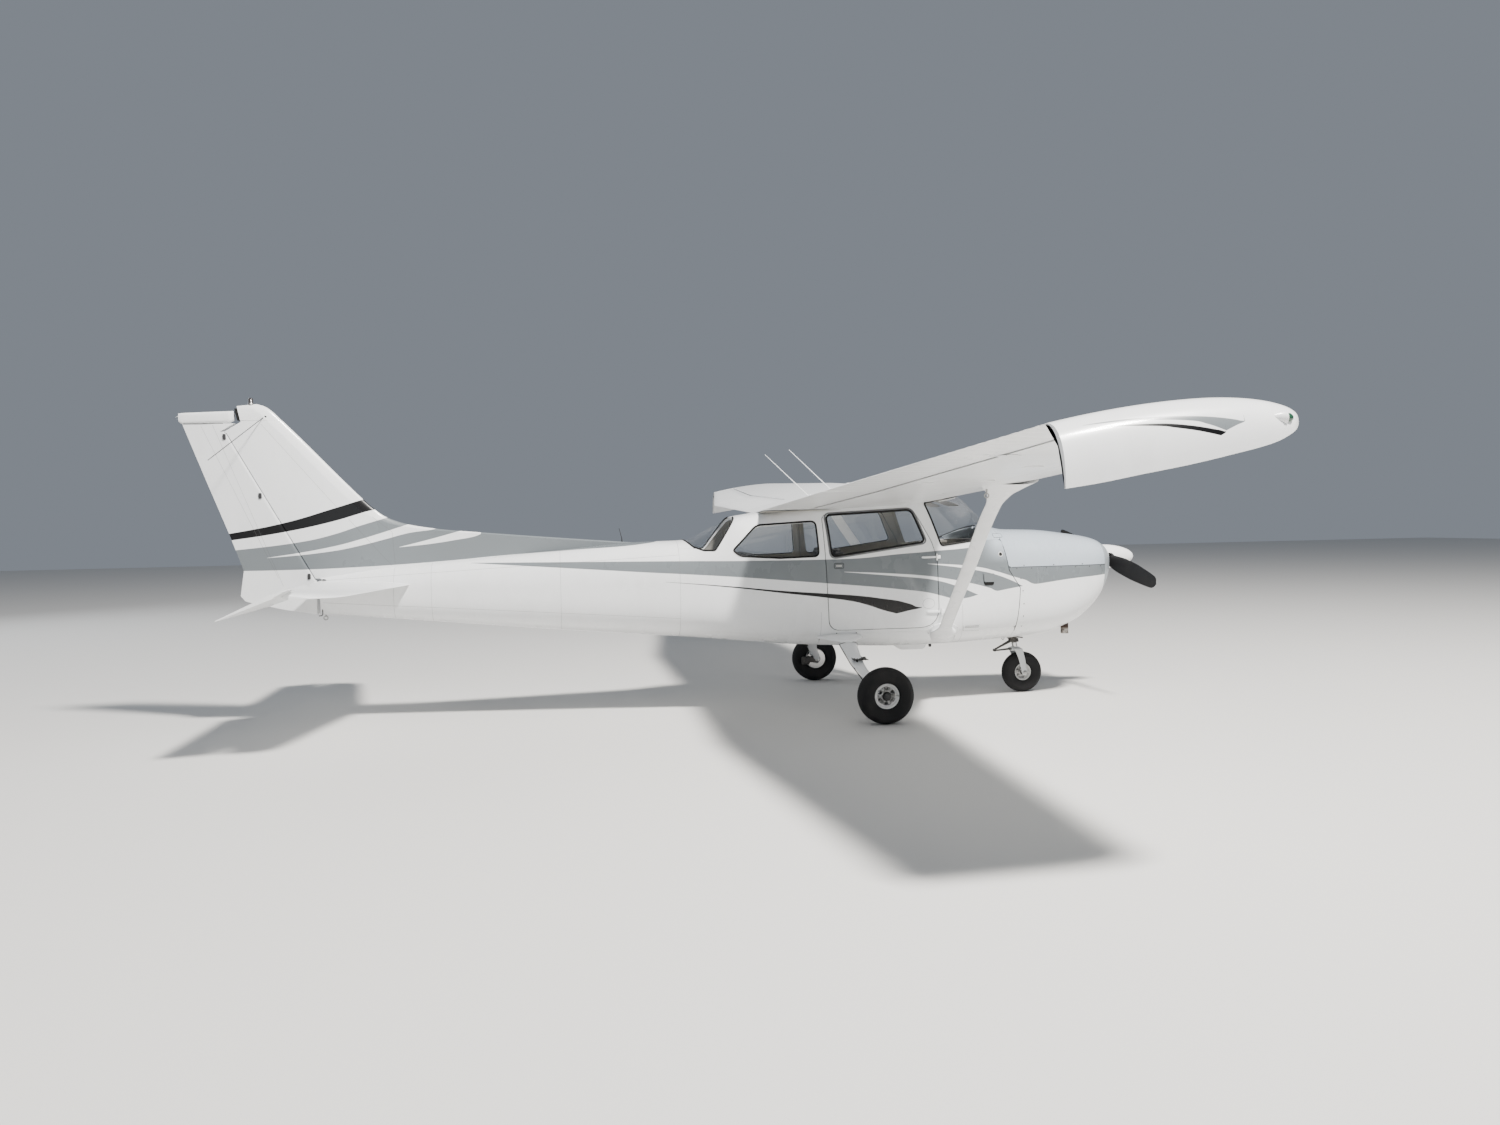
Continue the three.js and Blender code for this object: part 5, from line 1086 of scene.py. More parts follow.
piece("nose_ring", cut(bowl_point, np.linspace(0, 2, 40), np.linspace(0, 1, 172), bowl_keep), nose_paint,
      wall=0.010, node="nose_bowl", slot="grey_skin")
for outline, label in zip(inlets, ("left", "right")):
    middle = outline.mean(0)
    aft = np.linspace(0, 1, 6)[:, None, None]
    shrink = 1.0 + 0.06 * (1 - aft) ** 3
    ring = middle + (outline - middle) * shrink
    duct = np.concatenate([np.broadcast_to(2.400 - 0.2 * aft, ring.shape[:2] + (1,)), ring], -1)
    front = np.interp(np.abs(outline[:, 0]), [0.18, 0.24], [2.412, 2.385])
    duct[0, :, 0] = front
    duct[1, :, 0] = front - 0.02
    part = (duct.reshape(-1, 3), grid_faces(6, len(outline), True))
    piece("inlet_duct_" + label, part, dark_plastic, wall=0.002, slot="grey_skin")

# %% [markdown]
# ## Tail cone
# Behind the cabin the sections shrink to a thin end. One closed grid covers it, with a slot where the
# elevators' tube passes through, and a small bulkhead shuts the end.

# %% Tail cone
def slot_keep(points):
    """Positive outside the slot for the elevators' tube."""
    x, _, z = np.moveaxis(points, -1, 0)
    return -np.minimum(-4.365 - x, 0.045 - np.abs(z - 1.15))


def cone_point(a, turn):
    """Point of the tail cone: a from 0 at the cabin's end to 1 at the tail."""
    return body_point(-1.5003 - 2.9197 * a, turn)


piece("cone_skin", cut(cone_point, np.linspace(0, 1, 90), np.linspace(0, 1, 97), slot_keep), fuselage_paint,
      wall=0.004, node="tail_cone", slot="white_skin")
end = body_point(np.full((1, 48), -4.405), np.linspace(0, 1, 48, endpoint=False)[None])
shares = np.linspace(1.0, 0.0, 6)[:, None, None]
bulkhead = end * shares + np.array([-4.405, 0.0, 1.06]) * (1 - shares)
piece("cone_bulkhead", (bulkhead.reshape(-1, 3), grid_faces(6, 48, True)), white_paint, wall=0.002,
      slot="white_skin")

# %% [markdown]
# ## Wings
# Each wing is a tube of rings, one per station. In the span of flap and aileron the ring stops at a hollow
# arc, the cove, where the nose of the movable surface turns. The arc's centre is the hinge line.

# %% Wings
GAP = 0.008
FLAP_SPAN, AILERON_SPAN = (0.570, 2.640), (2.656, 5.225)
AROUND = (1 - np.cos(np.linspace(0, np.pi, 44))) / 2


def hinge_circle(y):
    """Centre x, centre z and radius of the circle that fills the wing's thickness at the hinge line."""
    s = hinge_share(y)
    top, low = wing_point(y, s, 1.0), wing_point(y, s, -1.0)
    return top[..., 0], (top[..., 2] + low[..., 2]) / 2, (top[..., 2] - low[..., 2]) / 2


def wing_tube(y0, y1, stations, cove=True):
    """Rings from y0 to y1: upper skin forward to the nose, lower skin aft, then the cove's arc or a blunt
    edge."""
    y = np.linspace(y0, y1, stations)
    x, z, radius = hinge_circle(y)
    le_x, _, te_x, _ = wing_edges(y)
    cove_x = x + np.sqrt((radius + GAP) ** 2 - radius ** 2)
    stop = (le_x - cove_x) / (le_x - te_x) if cove else np.ones_like(y)
    shares = AROUND[None, :] * stop[:, None]
    upper = wing_point(y[:, None], shares[:, ::-1], 1.0)
    lower = wing_point(y[:, None], shares[:, 1:], -1.0)
    rings = [upper, lower]
    if cove:
        limit = np.arcsin(radius / (radius + GAP))[:, None]
        turn = np.linspace(-0.96, 0.96, 11)[None, :] * limit
        reach = (radius + GAP)[:, None]
        rings.append(spread(x[:, None] + reach * np.cos(turn), y[:, None],
                            z[:, None] + reach * np.sin(turn)))
    return capped(np.concatenate(rings, axis=1))


wing = joined(wing_tube(0.5003, 0.5620, 3, False), wing_tube(0.5620, 2.54, 34), wing_tube(2.54, 5.2330, 44),
              wing_tube(5.2330, TIP_JOINT, 3, False))
both_sides("wing_skin", wing, wing_paint, "white_skin", node="wing")
ROOF_ROWS = 8
half_roof = np.array(wing_tube(0.0, 0.4997, ROOF_ROWS, False)[0][:-2]).reshape(ROOF_ROWS, -1, 3)
roof = capped(np.concatenate([half_roof[:0:-1] * (1.0, -1.0, 1.0), half_roof]))
piece("roof_skin", roof, wing_paint, node="roof_section", slot="white_skin")

# %% [markdown]
# Flaps and ailerons have thin skins stiffened by pressed beads that run from nose to trailing edge. On the
# grid a bead is a small lift of the skin, a narrow smooth ridge that repeats along the span and fades at
# both its ends.

# %% Corrugated surfaces
BEAD_WIDTH, BEAD_LIFT, NOSE_GAP = 0.42, 0.0028, 0.0005
# The flat skin between beads lies this far inside the wing's own surface
SKIN_SINK = 0.0012


def bead(along, pitch):
    """0 between the beads and 1 on a ridge: a raised cosine, narrowed to a share of the pitch."""
    phase = np.abs(np.mod(along / pitch, 1.0) - 0.5) / BEAD_WIDTH
    return np.where(phase < 0.5, 0.5 + 0.5 * np.cos(2 * np.pi * phase), 0.0)


def fade(s, a, b):
    """A smooth step from 0 at a to 1 at b."""
    t = np.clip((s - a) / (b - a), 0.0, 1.0)
    return t * t * (3 - 2 * t)


def hinged_surface(y0, y1, pitch):
    """Flap or aileron: the wing's skin behind the hinge with beads, and a round nose about the hinge
    line."""
    count = int(round((y1 - y0) / pitch * 10)) + 1
    y = np.linspace(y0, y1, count)
    share = hinge_share(y)[:, None]
    f = np.linspace(0.0, 1.0, 16)[None, :]
    s = share + (1 - share) * f
    ridge = BEAD_LIFT * bead(y[:, None] - y0, pitch) * fade(f, 0.06, 0.2) * fade(1 - f, 0.02, 0.12)
    ridge = ridge * fade(y[:, None], y0, y0 + 0.03) * fade(-y[:, None], -y1, -y1 + 0.03)
    upper = wing_point(y[:, None], s, 1.0)
    lower = wing_point(y[:, None], s, -1.0)
    upper[..., 2] += ridge - SKIN_SINK
    lower[..., 2] -= ridge - SKIN_SINK
    x, z, radius = hinge_circle(y)
    turn = np.linspace(np.pi / 2, -np.pi / 2, 13)[None, 1:-1]
    r = radius[:, None] - NOSE_GAP - SKIN_SINK
    nose = spread(x[:, None] + r * np.cos(turn), y[:, None], z[:, None] + r * np.sin(turn))
    return capped(np.concatenate([upper[:, ::-1], nose, lower], axis=1))


for name, span, pitch in (("flap", FLAP_SPAN, 0.115), ("aileron", AILERON_SPAN, 0.107)):
    both_sides(name + "_skin", hinged_surface(*span, pitch), tail_paint, "white_skin", body=name, node=name)

# %% [markdown]
# ## Wing tips
# The drooped tip rolls the upper skin over and down to a sharp lower edge. Across each section both skins
# are curves of sine and cosine powers between the wing's end and that edge.

# %% Wing tips
# Columns: x, z of the drooped edge, y of the outermost skin
DROOP = np.array([[-0.440, 1.712, 5.478], [-0.300, 1.732, 5.482], [-0.100, 1.768, 5.485],
                  [0.100, 1.803, 5.485], [0.300, 1.845, 5.483], [0.480, 1.888, 5.474], [0.600, 1.936, 5.440],
                  [0.660, 1.976, 5.390], [0.690, 2.010, 5.330]])


def tip_rings():
    """Rings across X: the upper skin out to the edge, then the lower skin back to the wing's end."""
    x = 0.690 - 1.130 * (1 - np.cos(np.linspace(0, np.pi, 60))) / 2
    x[0] -= 0.0006
    _, edge, outer = np.moveaxis(smooth(x, DROOP[:, 0], DROOP), -1, 0)
    le_x, _, te_x, _ = wing_edges(np.full_like(x, TIP_JOINT))
    share = np.clip((le_x - x) / (le_x - te_x), 0.0008, 1.0)
    top = wing_point(TIP_JOINT, share, 1.0)[:, 2]
    low = wing_point(TIP_JOINT, share, -1.0)[:, 2]
    turn = np.linspace(0, np.pi / 2, 18)[None, :]
    root = TIP_JOINT + 0.0003
    s, c = np.sin(turn), np.cos(turn)
    x, top, low, edge, outer = (v[:, None] for v in (x, top, low, edge, outer))
    upper = spread(x, root + (outer - root) * s ** 0.9, edge + (top - edge) * np.maximum(c, 0) ** 0.8)
    s, c = s[:, ::-1], c[:, ::-1]
    lower = spread(x, root + (outer - 0.012 - root) * s,
                   edge - 0.001 + (low - edge) * np.maximum(c, 0) ** 1.2)
    return capped(np.concatenate([upper, lower], axis=1))


TIP_GREY = [[-0.331, 1.972, 1.973], [-0.2, 1.982, 1.991], [-0.03, 1.991, 2.004], [0.13, 1.986, 2.006],
            [0.192, 1.972, 2.004], [0.271, 1.943, 1.997], [0.32, 1.965, 1.990], [0.363, 1.983, 1.984]]
TIP_BLACK = [[-0.291, 1.9615, 1.963], [-0.125, 1.964, 1.975], [0.005, 1.963, 1.9755], [0.04, 1.958, 1.974],
             [0.121, 1.947, 1.966], [0.156, 1.941, 1.961], [0.245, 1.922, 1.945], [0.271, 1.938, 1.940]]


def tip_scheme(net):
    """Two swooshes on the tip's outer face, kept off its top and underside by their distance from the
    middle line."""
    x, y, z = net.axes(net.place())
    outer = net.ramp(net.math("ABSOLUTE", y), 5.38, 5.385)
    colour = net.mix(net.math("MULTIPLY", stripe(net, x, z, TIP_GREY), outer), WHITE, GREY)
    return net.mix(net.math("MULTIPLY", stripe(net, x, z, TIP_BLACK), outer), colour, BLACK)


tip_paint = paint("tip_paint", scheme=tip_scheme, dirt=0.25)
both_sides("tip", tip_rings(), tip_paint, "white_skin", node="wing_tip")

# %% [markdown]
# ## Struts and gear legs
# Both are streamlined bars: an oval that is fuller ahead than behind, carried along a line while its chord
# and thickness change. Where the bar meets the body, the grid is cut at the body's own surface.

# %% Streamlined bars
def streamlined(table, across):
    """Rings along a table of (share, x, y, z, chord, thickness). Returns a surface of (share, turn)."""
    table = np.array(table, float)
    across = np.array(across, float)

    def surface(a, turn):
        x, y, z, chord, thick = np.moveaxis(smooth(a, table[:, 0], table[:, 1:]), -1, 0)
        angle = 2 * np.pi * turn + np.pi
        width = 0.5 * np.sin(angle) * (0.75 + 0.25 * np.cos(angle)) * thick
        spine = spread(x + 0.5 * chord * np.cos(angle), y, z)
        return spine + width[..., None] * across
    return surface


SINK = 0.004


def outside_body(points):
    """Distance outside the fuselage, so that a bar still sinks a little way into the skin."""
    x, y, z = np.moveaxis(points, -1, 0)
    return np.abs(y) - body_half(x, z) + SINK


STRUT_LOW, STRUT_HIGH = np.array([0.758, 0.400, 0.566]), np.array([0.442, 2.620, 1.842])
strut_rows = []
for share, chord, thick, shift in [(0, 0.24, 0.12, 0), (0.045, 0.226, 0.11, 0), (0.07, 0.134, 0.046, 0),
                                   (0.085, 0.112, 0.04, 0), (0.5, 0.114, 0.04, 0), (0.87, 0.116, 0.04, 0),
                                   (0.93, 0.178, 0.048, 0.012), (0.965, 0.3, 0.066, 0.02),
                                   (1, 0.42, 0.09, 0.04)]:
    place = STRUT_LOW + (STRUT_HIGH - STRUT_LOW) * share
    strut_rows.append([share, place[0] + shift, place[1], place[2], chord, thick])
across = np.cross(STRUT_HIGH - STRUT_LOW, [1.0, 0.0, 0.0])
across /= np.linalg.norm(across)
strut_surface = streamlined(strut_rows, across)
strut = cut(strut_surface, np.linspace(0, 1, 170), np.linspace(0, 1, 44),
            lambda p: np.minimum(outside_body(p), below_skin(p, SINK)))
both_sides("strut", strut, white_paint, "white_skin", node="wing_strut")

LEG = [[-0.126, 0.400, 0.640, 0.158, 0.062], [-0.126, 0.560, 0.582, 0.150, 0.056],
       [-0.112, 0.850, 0.432, 0.106, 0.044], [-0.070, 1.010, 0.336, 0.084, 0.038],
       [-0.008, 1.130, 0.252, 0.064, 0.036], [0.000, 1.165, 0.226, 0.056, 0.036]]
leg_rows = [[(place[1] - 0.4) / 0.765, *place] for place in LEG]
leg_surface = streamlined(leg_rows, [0.0, 0.5, 0.86])
leg = cut(leg_surface, np.linspace(0, 1, 70), np.linspace(0, 1, 40), outside_body)
foot = leg_surface(np.ones(40), np.linspace(0, 1, 40, endpoint=False))
end_cap = (np.concatenate([foot, foot.mean(0)[None]]), [[40, (j + 1) % 40, j] for j in range(40)])
fairing_surface = streamlined([[0, -0.170, 0.380, 0.615, 0.400, 0.074],
                               [0.6, -0.170, 0.520, 0.612, 0.384, 0.060],
                               [0.85, -0.158, 0.572, 0.602, 0.300, 0.054],
                               [1, -0.150, 0.610, 0.592, 0.190, 0.046]],
                              [0.0, 0.0, 1.0])
fairing = cut(fairing_surface, np.linspace(0, 1, 40), np.linspace(0, 1, 60), outside_body)
tip_ring = fairing_surface(np.ones(60), np.linspace(0, 1, 60, endpoint=False))
shares = np.linspace(1, 0, 8)[:, None, None]
bulge = np.array([0.0, 0.022, -0.006]) * np.sqrt(1 - shares ** 2)
dome = tip_ring.mean(0) + (tip_ring - tip_ring.mean(0)) * shares + bulge
fairing_end = (dome.reshape(-1, 3), [face[::-1] for face in grid_faces(8, 60, True)])
both_sides("leg", joined(leg, end_cap, fairing, fairing_end), leg_paint, "fairing", node="main_gear_leg")

# %% [markdown]
# ## Fin and rudder
# The fin is a stack of level sections. Each runs from the leading edge to the rudder's hinge line, which
# leans back. Low down the leading edge runs far forward as a thin fillet, so the levels lie closer together
# there.

# %% Fin
FIN_LEAD = np.array([[1.437, -1.850], [1.490, -2.477], [1.535, -2.975], [1.583, -3.463], [1.631, -3.733],
                     [1.699, -3.909], [1.760, -3.988], [1.841, -4.074], [2.353, -4.555], [2.495, -4.691]])


FIN_STEP = 2.396


def fin_hinge_x(z):
    """The rudder's hinge line, which leans back."""
    return -4.468 - 0.655 * (z - 1.159) / 1.208


def fin_half(z):
    """Half the fin's thickness at the hinge."""
    return 0.050 - 0.017 * np.clip((z - 1.15) / 1.4, 0.0, 1.0)


def fin_rings(z):
    """Level rings: leading edge, left side aft, the cove's arc, right side forward."""
    z = z[:, None]
    lead = smooth(z[:, 0], FIN_LEAD[:, 0], FIN_LEAD[:, 1:])[:, None]
    hinge, half = fin_hinge_x(z), fin_half(z)
    horn = np.interp(z, [FIN_STEP, 2.480, 2.700], [-5.140, -5.000, -5.048])
    cut_off = z > FIN_STEP
    rear = np.where(cut_off, np.maximum(horn, hinge), hinge + np.sqrt((half + GAP) ** 2 - half ** 2))
    s = (np.arange(1, 61) / 60.0)[None, :] ** 1.7
    x = lead + (rear - lead) * s
    ahead_by = np.maximum(x - hinge, 0.0)
    full = half * (1 + 0.22 * np.sin(np.minimum(ahead_by / 0.7, 1) * np.pi))
    blend = fade(ahead_by, 0.5, 1.15)
    side = (full * (1 - blend) + 0.016 * blend) * np.sqrt(np.minimum((lead - x) / 0.11, 1.0))
    limit = np.arcsin(half / (half + GAP))
    turn = limit * np.linspace(0.9, -0.9, 9)[None, :]
    arc_x = np.where(cut_off, rear, hinge + (half + GAP) * np.cos(turn))
    arc_y = (half + GAP) * np.sin(turn)
    return np.concatenate([spread(lead, 0.0, z), spread(x, side, z), spread(arc_x, arc_y, z),
                           spread(x[:, ::-1], -side[:, ::-1], z)], 1)


levels = np.concatenate([np.linspace(1.197, 1.43, 5), np.linspace(1.437, 1.64, 40),
                         np.linspace(1.65, 2.38, 32),
                         np.linspace(2.39, 2.4915, 10)])
points, faces = capped(fin_rings(levels))
fin_lines = [(0, 2, (-4.846, 2.462), (-4.277, 1.779)), (0, 2, (-4.186, 1.679), (-3.855, 1.289)),
             (0, 2, (-4.002, 1.695), (-3.847, 1.567)), (0, 2, (-3.847, 1.567), (-3.829, 1.301))]
fin_paint = paint("fin_paint", scheme=livery, lines=fin_lines, dirt=0.3, rough=0.26)
piece("fin_skin", (points, faces), fin_paint, node="fin", slot="white_skin")

# %% Rudder
RUDDER_REAR = np.array([[0.900, -4.452], [0.950, -4.725], [1.022, -5.017], [1.068, -5.054], [1.274, -5.021],
                        [1.576, -5.124], [2.016, -5.287], [2.470, -5.452]])


# Heights where the rudder's front edge steps back below the cone's end and forward under the horn
LOW_STEP, HORN_STEP = 1.207, 2.404


def rudder_rings(z):
    """Level rings: round nose about the hinge line, then both sides straight to a thin trailing edge."""
    z = z[:, None]
    hinge, half = fin_hinge_x(z), fin_half(z) - 0.0005
    rear = np.interp(z, RUDDER_REAR[:, 0], RUDDER_REAR[:, 1])
    front = np.where(z < LOW_STEP, -4.452, np.where(z > HORN_STEP, -5.162 + 1.667 * (z - HORN_STEP), 0.0))
    tail = -5.130 - 0.490 * (z - 1.100) / 1.370
    turn = np.linspace(0.0, np.pi / 2, 9)[None, :]
    nose_x = np.minimum(hinge + half * np.cos(turn), front)
    nose_y = half * np.sin(turn)
    nose_x = np.where(z > HORN_STEP, front, nose_x)
    back = np.linspace(0.0, 1.0, 26)[None, 1:]
    start = np.where(z > HORN_STEP, np.maximum(front, hinge), hinge)
    x = np.minimum(start + (rear - start) * back, front)
    y = half + (0.003 - half) * np.maximum(hinge - x, 0.0) / (hinge - tail)
    half_x = np.concatenate([nose_x, x], 1)
    half_y = np.concatenate([nose_y, np.clip(y, 0.0, half)], 1)
    return np.concatenate([spread(half_x, half_y, z), spread(half_x, -half_y, z)[:, :0:-1]], axis=1)


levels = np.concatenate([np.linspace(0.902, 1.07, 24), np.linspace(1.08, 1.206, 6),
                         np.linspace(1.208, 2.403, 60),
                         np.linspace(2.405, 2.4697, 6)])
points, faces = capped(rudder_rings(levels))
rudder_lines = [(0, 2, (-5.309, 2.452), (-4.751, 1.206)), (0, 2, (-5.218, 2.458), (-4.716, 1.140))]
rudder_paint = paint("rudder_paint", scheme=livery, lines=rudder_lines, dirt=0.3, rough=0.28)
piece("rudder_skin", (points, faces), rudder_paint, body="rudder", node="rudder", slot="white_skin")

# %% [markdown]
# The fin cap and the rudder's horn are moulded caps. The first is built of level rings again, held under a
# sloping plane. The second is a row of rounded rectangles along X, drawn with a high power of sine and
# cosine.

# %% Tail caps
CAP = np.array([[2.492, -4.692, 1.0], [2.540, -4.736, 0.97], [2.585, -4.786, 0.86], [2.612, -4.832, 0.62],
                [2.626, -4.880, 0.28]])
z = np.linspace(2.492, 2.626, 26)[:, None]
_, lead, share = np.moveaxis(smooth(z[:, 0], CAP[:, 0], CAP), -1, 0)[..., None]
rear = -5.000 - 0.218 * (z - 2.480)
x = lead + (rear - lead) * (np.arange(0, 41) / 40.0)[None, :] ** 1.5
y = 0.042 * share * np.sqrt(np.clip((lead - x) / 0.11, 0.0, 1.0))
top = 2.627 - (-4.882 - x) * 0.127
z = np.minimum(z + 0 * x, top)
rings = np.concatenate([spread(x, y, z), spread(x, -y, z)[:, :0:-1]], axis=1)
piece("fin_cap_skin", capped(rings), white_paint, node="fin_cap", slot="white_skin")

HORN = np.array([[-5.056, 2.494, 2.572, 0.022], [-5.100, 2.474, 2.570, 0.034], [-5.180, 2.471, 2.567, 0.034],
                 [-5.360, 2.470, 2.560, 0.024], [-5.455, 2.470, 2.556, 0.016],
                 [-5.480, 2.486, 2.552, 0.012]])[::-1]
x = np.linspace(-5.056, -5.480, 50)[:, None]
_, low, high, half = np.moveaxis(smooth(x[:, 0], HORN[:, 0], HORN), -1, 0)[..., None]
turn = np.linspace(0, 2 * np.pi, 36, endpoint=False)[None, :]
rings = spread(x, half * signed_power(np.cos(turn), 0.7),
               (low + high) / 2 + (high - low) / 2 * signed_power(np.sin(turn), 0.5))
piece("rudder_cap_skin", capped(rings), white_paint, body="rudder", node="rudder_cap", slot="white_skin")

# %% [markdown]
# ## Round and tube-like parts
# A profile of (radius, along) turned about an axis makes lamps, rims and tyres. A circle carried along a
# path of points makes rods, pipes and seals: at each point the circle stands square to the path.

# %% Turned and swept shapes
def ring_faces(rows, columns, closed=True):
    """Faces of a grid that closes on itself along its rows, and along its columns too when `closed`."""
    i, j = np.meshgrid(np.arange(rows), np.arange(columns if closed else columns - 1), indexing="ij")
    k, l = (i + 1) % rows, (j + 1) % columns
    quads = np.stack([i * columns + j, k * columns + j, k * columns + l, i * columns + l], -1)
    return quads.reshape(-1, 4).tolist()


def turned(profile, centre, axis="y", sides=48, closed=True):
    """Surface of revolution. A point is centre + radius around the axis + along it. A closed profile is a
    loop."""
    radius, along = np.moveaxis(np.asarray(profile, float), -1, 0)
    angle = np.linspace(0, 2 * np.pi, sides, endpoint=False)[:, None]
    a, b = radius * np.cos(angle), radius * np.sin(angle)
    flat = along + 0 * a
    order = {"x": (flat, a, b), "y": (a, flat, b), "z": (a, b, flat)}[axis]
    grid = np.stack(order, -1) + np.asarray(centre, float)
    return facing_out(grid.reshape(-1, 3), ring_faces(len(angle), len(radius), closed))


def swept(path, radius, sides=10, loop=False, flat=1.0):
    """A tube along a path. Its ring stands on two directions square to the path, `flat` squeezes the
    second."""
    path = np.asarray(path, float)
    ahead = np.roll(path, -1, 0) - np.roll(path, 1, 0)
    if not loop:
        ahead[0], ahead[-1] = path[1] - path[0], path[-1] - path[-2]
    ahead /= np.linalg.norm(ahead, axis=1)[:, None]
    guide = np.array([0.0, 0.0, 1.0]) if np.abs(ahead[:, 2]).max() < 0.9 else np.array([0.0, 1.0, 0.0])
    if np.abs(ahead @ guide).max() > 0.95:
        guide = np.array([0.31, 0.83, 0.46])
    first = np.cross(ahead, guide)
    first /= np.linalg.norm(first, axis=1)[:, None]
    second = np.cross(ahead, first)
    angle = np.linspace(0, 2 * np.pi, sides, endpoint=False)
    size = np.broadcast_to(np.asarray(radius, float), len(path))[:, None, None]
    rings = path[:, None] + size * (np.cos(angle)[None, :, None] * first[:, None]
                                    + flat * np.sin(angle)[None, :, None] * second[:, None])
    if not loop:
        return capped(rings)
    return facing_out(rings.reshape(-1, 3), ring_faces(len(rings), sides))


def soft_box(low, high, edge=0.22, count=20):
    """A box with rounded edges: a sphere whose sines and cosines are raised to the power `edge`."""
    low, high = np.array(low, float), np.array(high, float)
    u = np.linspace(-np.pi / 2, np.pi / 2, count)[:, None]
    v = np.linspace(0, 2 * np.pi, 2 * count, endpoint=False)[None, :]
    out = signed_power(np.cos(u), edge)
    unit = spread(out * signed_power(np.cos(v), edge), out * signed_power(np.sin(v), edge),
                  signed_power(np.sin(u), edge))
    return capped((low + high) / 2 + unit * (high - low) / 2)


# %% Tail lamps
part = turned([[0.0, -5.502], [0.006, -5.5015], [0.0105, -5.498], [0.013, -5.490], [0.013, -5.4805],
               [0.0, -5.4805]], (0, 0, 2.519), "x", 24, False)
piece("tail_lamp", part, lens_glass, body="rudder", node="tail_light", slot="lens")
ribs = [[0.018 + (0.0012 if k % 2 else 0.0), 2.6335 + 0.0028 * k] for k in range(14)]
lamp = turned([[0.0, 2.6330], *ribs, [0.015, 2.6745], [0.009, 2.6775], [0.0, 2.6780]], (-4.928, 0, 0), "z",
              32, False)
base = turned([[0.0, 2.608], [0.023, 2.608], [0.0235, 2.622], [0.021, 2.630], [0.0195, 2.634], [0.0, 2.634]],
              (-4.928, 0, 0), "z", 32, False)
piece("beacon_lens", lamp, beacon_glass, node="beacon", slot="red_lens")
piece("beacon_base", base, bare_metal, slot="red_lens")
rods = [swept([[-4.822, side * 0.034, 2.519], [-4.90, side * 0.135, 2.429], [-5.142, side * 0.450, 2.150]],
              0.0035, 8)
        for side in (1, -1)]
feet = [soft_box((-4.842, side * 0.031 - 0.008, 2.505), (-4.800, side * 0.031 + 0.008, 2.530), 0.4)
        for side in (1, -1)]
rods = joined(*rods, *feet)
piece("fin_rods", rods, dark_plastic, node="fin_cap", slot="white_skin")

# %% [markdown]
# ## Horizontal tail
# The stabilizer's section is a half-round nose that thins towards the hinge line. The elevators hang 23
# degrees down with no hand on the controls, so their points are worked out level and then turned about the
# hinge.

# %% Stabilizers
ELEVATOR_X, ELEVATOR_Z, HORN_Y = -4.410, 1.150, 1.510
# Rear end of the stabilizer ahead of the elevator's horn
SLOT_X = -4.296
STABILIZER = np.array([[0.060, -3.682, 0.030, 0.024], [0.900, -3.839, 0.027, 0.020],
                       [1.560, -3.962, 0.024, 0.015], [1.640, -3.992, 0.022, 0.012],
                       [1.695, -4.050, 0.020, 0.008], [1.726, -4.160, 0.017, 0.004]])


def stabilizer_rings(y, horn):
    """Rings along the span: nose, upper skin aft, the cove's arc (flat behind the horn's slot), lower
    skin."""
    _, lead, rear_half, thick = np.moveaxis(smooth(y, STABILIZER[:, 0], STABILIZER), -1, 0)[..., None]
    y = y[:, None]
    cove = 0.038 - 0.012 * y / 1.8
    stop = SLOT_X if horn else ELEVATOR_X + np.sqrt(cove ** 2 - rear_half ** 2)
    s = (1 - np.cos(np.linspace(0, np.pi, 34)))[None, :] / 2 * (lead - stop) / (lead - ELEVATOR_X)
    half = thick * np.sqrt(np.clip(1 - (1 - s) ** 2.4, 0, 1)) * (1 - s) + rear_half * s
    x = lead + (ELEVATOR_X - lead) * s
    z = 1.132 + 0.018 * s
    turn = np.arcsin(np.clip(half[:, -1:] / cove, 0, 1)) * np.linspace(0.9, -0.9, 7)[None, :]
    arc_x = SLOT_X if horn else ELEVATOR_X + cove * np.cos(turn)
    arc_z = z[:, -1:] + cove * np.sin(turn)
    return np.concatenate([spread(x, y, z + half), spread(arc_x, y, arc_z),
                           spread(x[:, :0:-1], y, (z - half)[:, :0:-1])], axis=1)


inner = capped(stabilizer_rings(np.linspace(0.060, HORN_Y - GAP, 50), False))
outer_y = HORN_Y - GAP + (1.726 - HORN_Y + GAP) * np.sin(np.linspace(0, np.pi / 2, 26))
outer = capped(stabilizer_rings(outer_y, True))
stabilizer_paint = paint("stabilizer_paint", dirt=0.35, rough=0.28,
                         seams=[(1, side * y, 0, 0.03) for y in (0.30, 0.86, 1.50) for side in (1, -1)])
both_sides("stabilizer_skin", joined(inner, outer), stabilizer_paint, "white_skin", node="stabilizer")

# %% Elevators
DROOP_ANGLE = np.radians(23.0)


def drooped(points):
    """The elevators' level points turned down about their hinge line."""
    x, y, z = np.moveaxis(np.asarray(points, float), -1, 0)
    x, z = x - ELEVATOR_X, z - ELEVATOR_Z
    c, s = np.cos(DROOP_ANGLE), np.sin(DROOP_ANGLE)
    return np.stack([x * c - z * s + ELEVATOR_X, y, x * s + z * c + ELEVATOR_Z], -1)


# Columns: y, radius of the nose, reach aft of the hinge
ELEVATOR = np.array([[0.084, 0.0290, 0.060], [0.126, 0.0288, 0.200], [0.175, 0.0286, 0.318],
                     [0.225, 0.0284, 0.402], [1.650, 0.0180, 0.402], [1.700, 0.0170, 0.4015],
                     [1.727, 0.0160, 0.390]])


